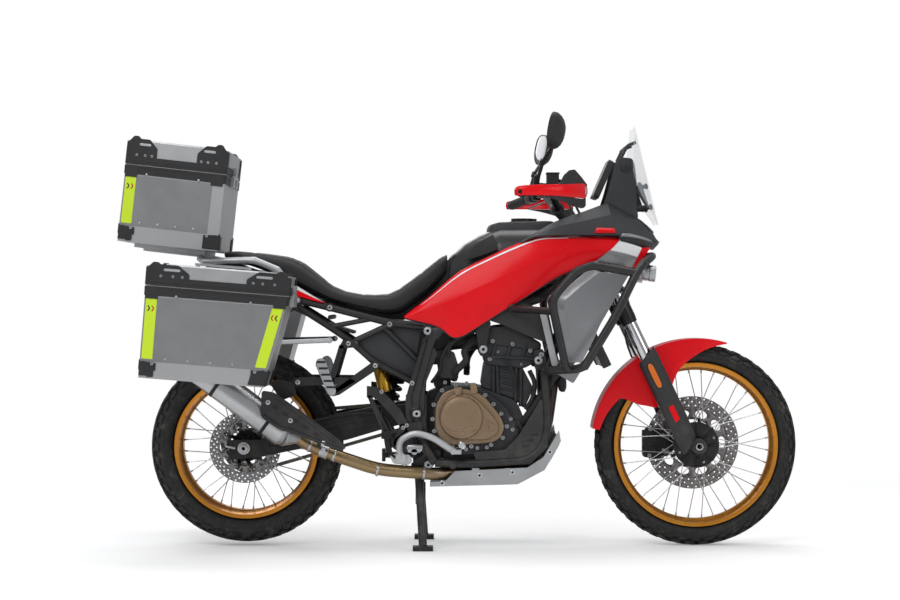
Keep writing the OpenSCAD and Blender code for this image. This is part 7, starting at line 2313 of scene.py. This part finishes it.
@dataclass
class Rear:
    """Stepped seat, tail trim, lights and the racks."""

    body: str = "chassis"
    half: float = 124.0

    def seat(self) -> None:
        """Seat: superellipse rings whose crown sinks at the seams, with piping along them."""
        x = np.linspace(-801, -42, 170)
        top = np.interp(x, *np.array([(-802, 1000), (-790, 1003), (-755, 1004), (-660, 996), (-590, 986),
                                      (-560, 978), (-530, 962), (-506, 943), (-470, 914), (-435, 886),
                                      (-390, 867), (-343, 858), (-290, 855), (-244, 858), (-210, 874),
                                      (-172, 900), (-120, 940), (-67, 982), (-41, 994)]).T)
        low = np.interp(x, *np.array([(-802, 984), (-700, 950), (-620, 922), (-547, 877), (-440, 833),
                                      (-258, 788), (-198, 792), (-113, 850), (-31, 934)]).T)
        wide = np.interp(x, [-802, -790, -740, -620, -500, -430, -300, -220, -150, -100, -60, -41],
                         [60, 84, 108, 120, 123, 122, 120, 116, 104, 90, 74, 58])
        t = np.linspace(0, TAU, 96, endpoint=False)
        c, s = np.cos(t), np.sin(t)
        share = squared(c, 0.52)
        y = wide[:, None] * share * np.where(s < 0, 1 - 0.10 * np.abs(s) ** 2, 1.0)
        middle, tall = (top + low)[:, None] / 2, (top - low)[:, None] / 2
        z = middle + tall * squared(s, 0.62)
        upper = np.clip(s, 0, 1) ** 0.5
        seam = np.exp(-((np.abs(share) - 0.80) / 0.025) ** 2) * 2.6
        cross = sum(np.exp(-((x - at) / 5.0) ** 2) for at in (-700, -560, -452, -330, -205, -130)) * 2.2
        puff = 1.0 - 2.0 * np.sin(np.clip(np.abs(share) / 0.8, 0, 1) * math.pi / 2) ** 2
        z = z - upper * (seam + cross[:, None] * (np.abs(share) < 0.8)) + upper * puff
        grid = np.stack([x[:, None] + 0 * y, y, z], -1) * MM
        seat = put("seat_cushion", sheet(grid, around=True, caps=True), SEAT_COVER, self.body, ["seat"],
                   rounds=1, crease=60)
        k = int(np.argmin(np.abs(share[:48] - 0.80)))
        right, left = grid[6:-4, 48 - k], grid[6:-4, k]
        pipes = [sweep(line + (0, 0, 0.0006), circle(0.0021, 8), caps=True) for line in (right[::2],
                                                                                         left[::2])]
        lows = [np.stack([x, side * (wide + 0.5), low + (top - low) * 0.30], 1)[8:-8:2] * MM
                for side in (-1, 1)]
        pipes += [sweep(line, circle(0.0019, 8), caps=True) for line in lows]
        put("seat_piping", joined(pipes), RUBBER, self.body)
        pan = [(-14, 992), (-44, 972), (-60, 936), (-113, 882), (-198, 812), (-258, 806), (-440, 850),
               (-500, 868), (-500, 850), (-440, 822), (-262, 777), (-190, 770), (-110, 806), (-40, 880),
               (-14, 900)]
        put("seat_pan", plate(pan, -54, 54, 4), BLACK_PLASTIC, self.body, edge=0.003)

    def tail(self) -> None:
        """Tail wedges in white, red and black, the light, the indicators and the plate."""
        white = plate([(-622, 922), (-580, 905), (-470, 838), (-452, 830), (-500, 848), (-590, 890),
                       (-640, 916)], 130, 133.5, 2)
        red = plate([(-606, 900), (-560, 878), (-466, 834), (-448, 826), (-500, 838), (-560, 856),
                     (-600, 876)], 130.2, 134, 2)
        put("tail_wedges_white", both_sides([white]), WHITE, self.body, edge=0.0008)
        put("tail_wedges_red", both_sides([red]), RED, self.body, edge=0.0008)
        long = plate([(-452, 836), (-547, 870), (-625, 912), (-700, 940), (-800, 974), (-824, 956),
                      (-700, 919), (-600, 874), (-548, 852)], 129.3, 131.6, 5)
        put("tail_panels", both_sides([long]), CHARCOAL, self.body, edge=0.001)
        y = np.linspace(-64, 64, 25)
        rows = []
        for x, z, g in ((-884, 926, 0.6), (-900, 929, 1.0), (-909, 922, 1.0), (-909, 906, 1.0),
                        (-900, 900, 0.9), (-886, 902, 0.6)):
            rows.append(np.stack([np.full_like(y, x) + 6 * (y / 64) ** 2, y * g, np.full_like(y, z)], 1))
        put("tail_light", sheet(np.array(rows) * MM, caps=False), RED_LENS, self.body, wall=0.002, crease=50)
        stems, lamps, rims = [], [], []
        for s in (-1, 1):
            base = np.array((-0.912, s * 0.150, 0.836))
            stems.append(tube([(-0.912, s * 0.060, 0.830), base], 0.0095))
            rims.append(revolve([(-0.026, 0.006), (-0.022, 0.015), (0.006, 0.018), (0.012, 0.018),
                                 (0.012, 0.013)], base + (0, s * 0.012, 0), (-1, 0, 0), 28))
            lamps.append(revolve([(0.010, 0.002), (0.011, 0.0165), (0.016, 0.0155), (0.020, 0.010),
                                  (0.0215, 0.002)], base + (0, s * 0.012, 0), (-1, 0, 0), 28))
        put("rear_indicator_stems", joined(stems + rims), BLACK_PLASTIC, self.body)
        put("rear_indicator_lenses", joined(lamps), AMBER, self.body)
        card = filleted([(-0.093, -0.065), (0.093, -0.065), (0.093, 0.065), (-0.093, 0.065)], 0.01, 5,
                        loop=True)
        lean = unit((-0.055, 0, -0.104))
        normal = np.array((lean[2], 0, -lean[0]))
        normal = normal if normal[0] < 0 else -normal
        base = np.array((-0.9555, 0, 0.741))
        rows = [base + card[:, :1] * np.array((0, 1, 0)) - card[:, 1:] * lean + normal * d
                for d in (0.0045, 0.0062)]
        put("number_board", sheet(np.array(rows), around=True, caps=True), ALLOY, self.body)
        dot = revolve([(0, 0.002), (0, 0.019), (0.004, 0.018), (0.0055, 0.002)], base + lean * 0.085 + normal
                      * 0.004, normal, 28)
        put("rear_reflector", dot, RED_LENS, self.body)
        dress(["rear_panels"], CHARCOAL)

    def racks(self) -> None:
        """Silver grab arms and top plate with slots, black hoops beside the panniers."""
        arms, hoops, screws = [], [], []
        tilt = math.radians(4.6)

        def spot(x: float, z: float, y: float) -> tuple[float, float, float]:
            """A point of a pannier's outline."""
            return ((-1022 + x * math.cos(tilt) + z * math.sin(tilt)) * MM, y * MM,
                    (592 - x * math.sin(tilt) + z * math.cos(tilt)) * MM)

        for s in (-1, 1):
            line = outer([(-566, 846), (-566, 880), (-612, 940), (-690, 972), (-860, 968)], s * 142)
            line.append((-0.880, s * 0.080, 0.978))
            arms.append(tube(line, 0.0113, 0.03, 18))
            y = s * 244.5
            ring = [spot(210, 215, y), spot(354, 215, y), spot(304, 50, y), spot(86, 50, y), spot(66, 215, y),
                    spot(210, 215, y)]
            hoops.append(tube(ring, 0.0083, 0.022, 16))
            hoops.append(tube([spot(346, 190, y), (-0.545, s * 0.138, 0.838)], 0.0083))
            hoops.append(tube([spot(120, 215, y), (-0.800, s * 0.138, 0.9363)], 0.0083))
            hoops.append(tube([spot(330, 130, y), (-0.437, s * 0.138, 0.703)], 0.0083))
            for x, z in ((70, 215), (350, 215), (90, 50), (300, 50)):
                screws.append(revolve([(0, 0.004), (0, 0.014), (0.004, 0.0138), (0.0052, 0.004)],
                                      spot(x, z, s * 236.2), (0, -s, 0), 24))
        put("grab_arms", joined(arms), SILVER_PAINT, self.body)
        put("pannier_hoops", joined(hoops), POWDER, self.body)
        put("pannier_knobs", joined(screws), BLACK_PLASTIC, self.body)
        dress(["case_rack"], SILVER_PAINT)

    def build(self) -> None:
        """Makes the seat, tail and racks."""
        self.seat()
        self.tail()
        self.racks()


@dataclass
class Case:
    """A luggage case in its own frame: x from its rear, y outward, z from its floor, in millimetres."""

    name: str
    origin: tuple[float, float, float]
    tilt: float
    length: float
    low: float
    width: float
    height: float
    lid: float
    side: int = 1
    sides: tuple[int, ...] = (1,)
    ear: float = 1.0
    sheet_finish: Finish = PANNIER_SHEET
    band: float = 3.2
    body: str = "chassis"

    @property
    def lid_body(self) -> str:
        """The body that opens."""
        return f"{self.name}_lid"

    def at(self, points: Array) -> Array:
        """Local millimetres to the machine's metres."""
        p = np.asarray(points, float)
        a = math.radians(self.tilt)
        x = self.origin[0] + p[..., 0] * math.cos(a) + p[..., 2] * math.sin(a)
        y = self.origin[1] + self.side * p[..., 1]
        z = self.origin[2] - p[..., 0] * math.sin(a) + p[..., 2] * math.cos(a)
        return np.stack([x, y, z], -1) * MM

    def reach(self, z: float) -> float:
        """The outline's length at a height; it is full above the tray."""
        return float(np.interp(z, [0, self.height], [self.low, self.length]))

    def face(self, outline: Sequence[tuple[float, float]], out: float, thick: float, side: int = 1,
             corner: float = 3.0) -> Shell:
        """A plate on one long face from an (x, z) outline.

        Args:
            outline: Its corners in the case's own millimetres.
            out: How far its inner side stands from the face.
            thick: Its thickness.
            side: 1 for the face at full width, -1 for the face at zero.
            corner: Corner radius.

        Returns:
            A closed plate.
        """
        ring = filleted(np.array(outline, float), corner, 4, loop=True)
        y = [(self.width + out) if side > 0 else -out, (self.width + out + thick) if side > 0 else -out
             - thick]
        rows = [np.stack([ring[:, 0], np.full(len(ring), d), ring[:, 1]], 1) for d in y]
        return sheet(self.at(np.array(rows)), around=True, caps=True)

    def loop(self, low: float, high: float, out: float, thick: float, corner: float = 9.0) -> Shell:
        """A rounded belt round the case between two heights."""
        rows = []
        for z, d in ((low, out), (low, out + thick * 0.7), (low + 1, out + thick), (high - 1, out + thick),
                     (high, out + thick * 0.7), (high, out)):
            far = self.reach(z) if z < self.height else self.length
            ring = filleted([(-d, -d), (far + d, -d), (far + d, self.width + d), (-d, self.width + d)],
                            corner if d > out else 4.0, 5, loop=True)
            rows.append(np.stack([ring[:, 0], ring[:, 1], np.full(len(ring), z)], 1))
        return sheet(self.at(np.array(rows)), around=True, along=True)

    def cap(self, front: bool, across: bool, low: float, high: float, run: float, out: float = 3.2,
            slant: float = 0.0) -> Shell:
        """A wrap round one upright corner, cut off at a slant.

        Args:
            front: At the front end rather than the rear.
            across: At full width rather than at zero.
            low: Its lower height.
            high: Its upper height.
            run: How far it goes along each face.
            out: How far it stands out.
            slant: How much lower its far edges end.

        Returns:
            A closed wrap.
        """
        v, w = (self.width, -1) if across else (0.0, 1)
        rows = []
        for z, d in ((low, 0.2), (low, out), (high, out), (high, 0.2)):
            far = self.reach(min(z, self.height)) if front else 0.0
            u = -1 if front else 1
            path = filleted([(far + u * run, v - w * d), (far - u * d, v - w * d),
                             (far - u * d, v + w * run)], 7.0 if d > 1 else 1.0, 8)
            drop = slant * np.abs(np.linspace(-1, 1, len(path))) * (1 if z == high else 0)
            rows.append(np.stack([path[:, 0], path[:, 1], z - drop], 1))
        return sheet(self.at(np.array(rows)), along=True, caps=False)

    def panels(self) -> None:
        """Darker plates, rivets and lime strips with chevrons on the long faces."""
        plates, rivets, lime, dark, red = [], [], [], [], []
        top = self.height - 36
        tapered = self.length != self.low
        for side in self.sides:
            far, end = self.reach(54), self.reach(top)
            inset = 2 if tapered else 40
            plates.append(self.face([(2, 54), (far - inset, 54), (end - inset, top), (2, top)], 0.1, 1.0,
                                    side, 2))
            ends = [(5.0, 5.0, 0)] + ([(far - 42, end - 42, 1)] if tapered else [])
            for x0, x1, front in ends:
                wide = 35
                lime.append(self.face([(x0, 62), (x0 + wide, 62), (x1 + wide, top - 6), (x1, top - 6)], 1.1,
                                      0.5, side, 2))
                lean = (x1 - x0) / (top - 68)
                for k, store in ((0, red if front else dark), (1, dark if front else red)):
                    z = top - 46
                    x = x0 + lean * (z - 62) + 6 + 13 * k
                    shape = [(0, 0), (4.5, 0), (10, 9), (4.5, 18), (0, 18), (5.5, 9)]
                    shape = [(9.5 - a if front else a, b) for a, b in shape]
                    store.append(self.face([(x + a, z + b) for a, b in shape], 1.55, 0.4, side, 0.4))
            y = self.width + 1.0 if side > 0 else -1.0
            for k in range(4):
                x = self.low * (0.20 + 0.18 * k)
                rivets.append((x, y, 66, side))
            for k in (0.22, 0.74):
                rivets.append((self.length * k, y + side * 2.0, top + 6, side))
        heads = []
        for x, y, z, side in rivets:
            here = self.at(np.array((x, y, z)))
            heads.append(revolve([(0, 0.0035), (0.0004, 0.0046), (0.0016, 0.0036), (0.0021, 0.0018),
                                  (0.0021, 0.0002)], here, (0, self.side * side, 0), 16))
        put(f"{self.name}_plates", joined(plates), BRUSHED, self.body, edge=0.0004)
        put(f"{self.name}_rivets", joined(heads), STEEL, self.body)
        put(f"{self.name}_lime", joined(lime), TAPE, self.body)
        put(f"{self.name}_chevrons_dark", joined(dark), RUBBER, self.body)
        put(f"{self.name}_chevrons_red", joined(red), TAPE_RED, self.body)

    def trim(self) -> None:
        """Black belt and corner caps on the tray, and the rear latch."""
        h = self.height
        shells = [self.loop(h - 32, h - 2, 0.1, self.band), self.loop(h - 12, h - 8, 0.2, self.band + 0.7)]
        ridges = []
        for across in (False, True):
            shells.append(self.cap(True, across, 5, 60, 52, 3.4, 10))
            shells.append(self.cap(False, across, 26, 60, 52, 3.2, 10))
            side = 1 if across else -1
            far = self.reach(30)
            for x0, u in ((2, 1), (far - 2, -1)):
                ridges.append(self.face([(x0 + u * 4, 54), (x0 + u * 44, 50), (x0 + u * 44, 6),
                                         (x0 + u * 26, 4), (x0 + u * 4, 30)], 0.2, 4.1, side, 3))
                ridges.append(self.face([(x0 + u * 12, 44), (x0 + u * 34, 42), (x0 + u * 34, 16)], 4.2, 0.5,
                                        side, 3))
        put(f"{self.name}_trim", joined(shells), BLACK_PLASTIC, self.body, crease=30)
        put(f"{self.name}_corner_plates", joined(ridges), BLACK_PLASTIC, self.body, edge=0.0008)
        screws = []
        for side in (-1, 1):
            y = self.width + 4.2 if side > 0 else -4.2
            for x, z in ((40, 48), (self.reach(48) - 40, 48)):
                screws.append(bolt(self.at(np.array((x, y, z))), (0, self.side * side, 0), 0.0042, 0.0012))
        put(f"{self.name}_cap_screws", joined(screws), STEEL, self.body)
        mid = self.width / 2
        w = 25
        rows = []
        for d, g in ((-9.1, 1.0), (-10.6, 0.98), (-11.0, 0.92)):
            ring = filleted([(mid - w * g, h - 50 * g), (mid + w * g, h - 50 * g), (mid + w * g, h - 8),
                             (mid - w * g, h - 8)], 6, 5, loop=True)
            rows.append(np.stack([np.full(len(ring), d), ring[:, 0], ring[:, 1]], 1))
        latch = sheet(self.at(np.array(rows)), around=True, caps=True)
        put(f"{self.name}_latch", latch, BLACK_PLASTIC, self.body)

    def cover(self) -> None:
        """Lid belt, corner ears with their slots, pressed ribs on top, and a lock barrel."""
        z0 = self.height + 0.6
        top = z0 + self.lid
        shells = [self.loop(z0 + 0.4, z0 + 27, 0.1, self.band), self.loop(z0 + 8, z0 + 11, 0.2,
                                                                          self.band + 0.7)]
        ears, slots, screws, ribs = [], [], [], []
        for front in (False, True):
            for across in (False, True):
                shells.append(self.cap(front, across, z0 + 24, top - 2, 34, 3.0, 6))
        big = self.length * 0.30
        for side in (-1, 1):
            for end in (0, 1):
                def way(x: float) -> float:
                    """x measured from either end."""
                    return self.length - x if end else x
                rise = 13 * self.ear
                shape = [(-2, z0 + 22), (-2, top - 10), (20, top + rise), (34, top + rise),
                         (42, top + rise * 0.5), (big * 0.72, top + rise * 0.5), (big, top - 20),
                         (big, z0 + 22)]
                ears.append(self.face([(way(a), b) for a, b in shape], 0.2, 2.9, side, 4))
                lip = [(8, top + 0.3), (20, top + rise), (34, top + rise), (42, top + rise * 0.5),
                       (big * 0.72, top + rise * 0.5), (big * 0.8, top + 0.3)]
                ears.append(self.face([(way(a), b) for a, b in lip], -14, 14, side, 2))
                a0, a1 = big * 0.40, big * 0.78
                slot = [(a0, top - 14), (a1, top - 14), (a1, top - 6), (a0, top - 6)]
                slots.append(self.face([(way(a), b) for a, b in slot], 3.05, 0.7, side, 3.9))
                y = self.width + 3.1 if side > 0 else -3.1
                for x in (big * 0.34, big * 0.62, big * 0.84):
                    screws.append(bolt(self.at(np.array((way(x), y, z0 + 32))), (0, self.side * side, 0),
                                       0.0036, 0.0008))
        for k in (0.2, 0.8):
            y = self.width * k
            line = [(self.length * 0.12, y, top + 0.2), (self.length * 0.88, y, top + 0.2)]
            ribs.append(sweep(self.at(np.array(line)), circle(0.009, 10, 0.25), up=(0, 1, 0), caps=True))
        put(f"{self.name}_lid_trim", joined(shells), BLACK_PLASTIC, self.lid_body, crease=30)
        put(f"{self.name}_lid_ears", joined(ears), BLACK_PLASTIC, self.lid_body, edge=0.0012)
        put(f"{self.name}_lid_slots", joined(slots), ALLOY, self.lid_body)
        put(f"{self.name}_lid_screws", joined(screws), STEEL, self.lid_body)
        put(f"{self.name}_lid_ribs", joined(ribs), SHEET, self.lid_body)
        mid = self.width / 2
        barrel = revolve([(0, 0.003), (0, 0.012), (0.0016, 0.012), (0.0026, 0.010), (0.0022, 0.004)],
                         self.at(np.array((-8.9, mid, z0 + 18))), self.at(np.array((-1, 0, 0)))
                         - self.at(np.zeros(3)), 28)
        put(f"{self.name}_lock", barrel, STEEL, self.lid_body)

    def build(self) -> None:
        """Makes the case's parts and gives its sheet metal a finish."""
        self.panels()
        self.trim()
        self.cover()
        dress([self.name], self.sheet_finish)
        dress([f"{self.name}_lid"], SHEET)


# ---- Studio ----


@dataclass
class Studio:
    """Pale floor, white surround, soft area lights and the camera."""

    eye: tuple[float, float, float] = (-0.0335, -6.5, 0.838)
    field_deg: float = 26.7

    def floor(self) -> None:
        """Pale floor that keeps the shadow and fades to white with distance."""
        bpy.ops.mesh.primitive_plane_add(size=60)
        plane = bpy.context.active_object
        plane.name = "studio_floor"
        g = Graph(bpy.data.materials.new("studio_floor"))
        p = g.place()
        x, y, _ = g.axes(p)
        path = g.add("ShaderNodeLightPath", {}, {}, "Is Camera Ray")
        near = g.add("ShaderNodeBsdfPrincipled", {}, {
            "Base Color": (0.9, 0.9, 0.9, 1), "Roughness": 0.9, "Specular IOR Level": 0.1,
            "Emission Color": path, "Emission Strength": 0.22}, "BSDF")
        far = g.add("ShaderNodeEmission", {}, {"Color": (1, 1, 1, 1), "Strength": 1.0}, "Emission")
        fade = (x * x * 0.35 + y * y).ramp(1.2, 9.0) * path
        made = g.add("ShaderNodeMixShader", {}, {0: fade, 1: near, 2: far}, 0)
        plane.data.materials.append(g.show(made))

    def surround(self) -> None:
        """World: white where it is seen or mirrored, and plain grey light on the machine."""
        world = bpy.data.worlds.new("studio")
        bpy.context.scene.world = world
        g = Graph(world)
        seen = g.add("ShaderNodeLightPath", {}, {}, "Is Camera Ray")
        glass = g.add("ShaderNodeLightPath", {}, {}, "Is Transmission Ray")
        light = g.add("ShaderNodeBackground", {}, {"Color": (0.9, 0.92, 0.95, 1), "Strength": 0.42})
        white = g.add("ShaderNodeBackground", {}, {"Color": (1, 1, 1, 1), "Strength": 1.0})
        made = g.add("ShaderNodeMixShader", {}, {0: (seen + glass).least(1.0), 1: light, 2: white}, 0)
        g.show(made)

    def lamp(self, name: str, place: Sequence[float], size: tuple[float, float], watts: float) -> None:
        """One area lamp aimed at the machine's middle.

        Args:
            name: The lamp's name.
            place: Where it hangs, in metres.
            size: Its width and height.
            watts: Its power.
        """
        data = bpy.data.lights.new(name, "AREA")
        data.shape = "RECTANGLE"
        data.size, data.size_y = size
        data.energy = watts
        lamp = bpy.data.objects.new(name, data)
        bpy.context.scene.collection.objects.link(lamp)
        aim = Vector((0.0, 0.0, 0.7)) - Vector(place)
        lamp.location = place
        lamp.rotation_euler = aim.to_track_quat("-Z", "Y").to_euler()

    def camera(self) -> None:
        """Level camera looking along +Y."""
        data = bpy.data.cameras.new("camera")
        data.angle = math.radians(self.field_deg)
        camera = bpy.data.objects.new("camera", data)
        camera.location = self.eye
        camera.rotation_euler = (math.pi / 2, 0, 0)
        bpy.context.scene.collection.objects.link(camera)
        bpy.context.scene.camera = camera

    def build(self) -> None:
        """Sets the whole studio."""
        self.floor()
        self.surround()
        self.lamp("key", (-2.2, -4.2, 4.4), (3.6, 2.6), 120)
        self.lamp("front_fill", (4.2, -3.6, 2.4), (2.4, 2.4), 48)
        self.lamp("top", (0.0, 0.6, 4.8), (5.0, 2.2), 110)
        self.lamp("back", (-2.0, 4.4, 3.0), (4.0, 2.0), 60)
        self.camera()
        bpy.context.scene.view_settings.view_transform = "Standard"


def corners(box: Sequence[Sequence[float]]) -> list[list[float]]:
    """A box as plain lists of metres."""
    return [[round(float(v), 5) for v in corner] for corner in box]


def main() -> None:
    """Builds the machine group by group, then the studio."""
    logging.basicConfig(level=logging.INFO, format="%(message)s")
    pannier = {"tilt": 4.6, "length": 455, "low": 398, "width": 230, "height": 295, "lid": 62}
    lean, half_length = 6.3, 167
    top_corner = (-973 - half_length * math.cos(math.radians(lean)), -200,
                  1017 + half_length * math.sin(math.radians(lean)))
    groups: list[tuple[str, object]] = [
        ("front wheel", FrontWheel("front", disc_y=0.068, disc_r=0.160, blocks=44,
                                   tread_rows=(-1.08, -0.54, 0.0, 0.54, 1.08))),
        ("rear wheel", RearWheel("rear", disc_y=-0.091, disc_r=0.120, blocks=40,
                                 tread_rows=(-1.0, -0.5, 0.0, 0.5, 1.0))),
        ("front end", FrontEnd()),
        ("bodywork", Bodywork()),
        ("frame", FrameWork()),
        ("engine", Engine()),
        ("exhaust", Exhaust()),
        ("running gear", Running()),
        ("rear", Rear()),
        ("right pannier", Case("pannier_right", (-1022, -260, 592), side=-1, **pannier)),
        ("left pannier", Case("pannier_left", (-1022, 260, 592), **pannier)),
        ("top case", Case("top_case", top_corner, tilt=lean, length=2 * half_length, low=2 * half_length,
                          width=400, height=258, lid=78, sides=(-1, 1), ear=1.3, sheet_finish=TOP_SHEET)),
        ("studio", Studio()),
    ]
    for name, group in groups:
        group.build()
        LOG.info("built %s", name)
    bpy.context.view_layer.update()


if __name__ == "__main__":
    main()
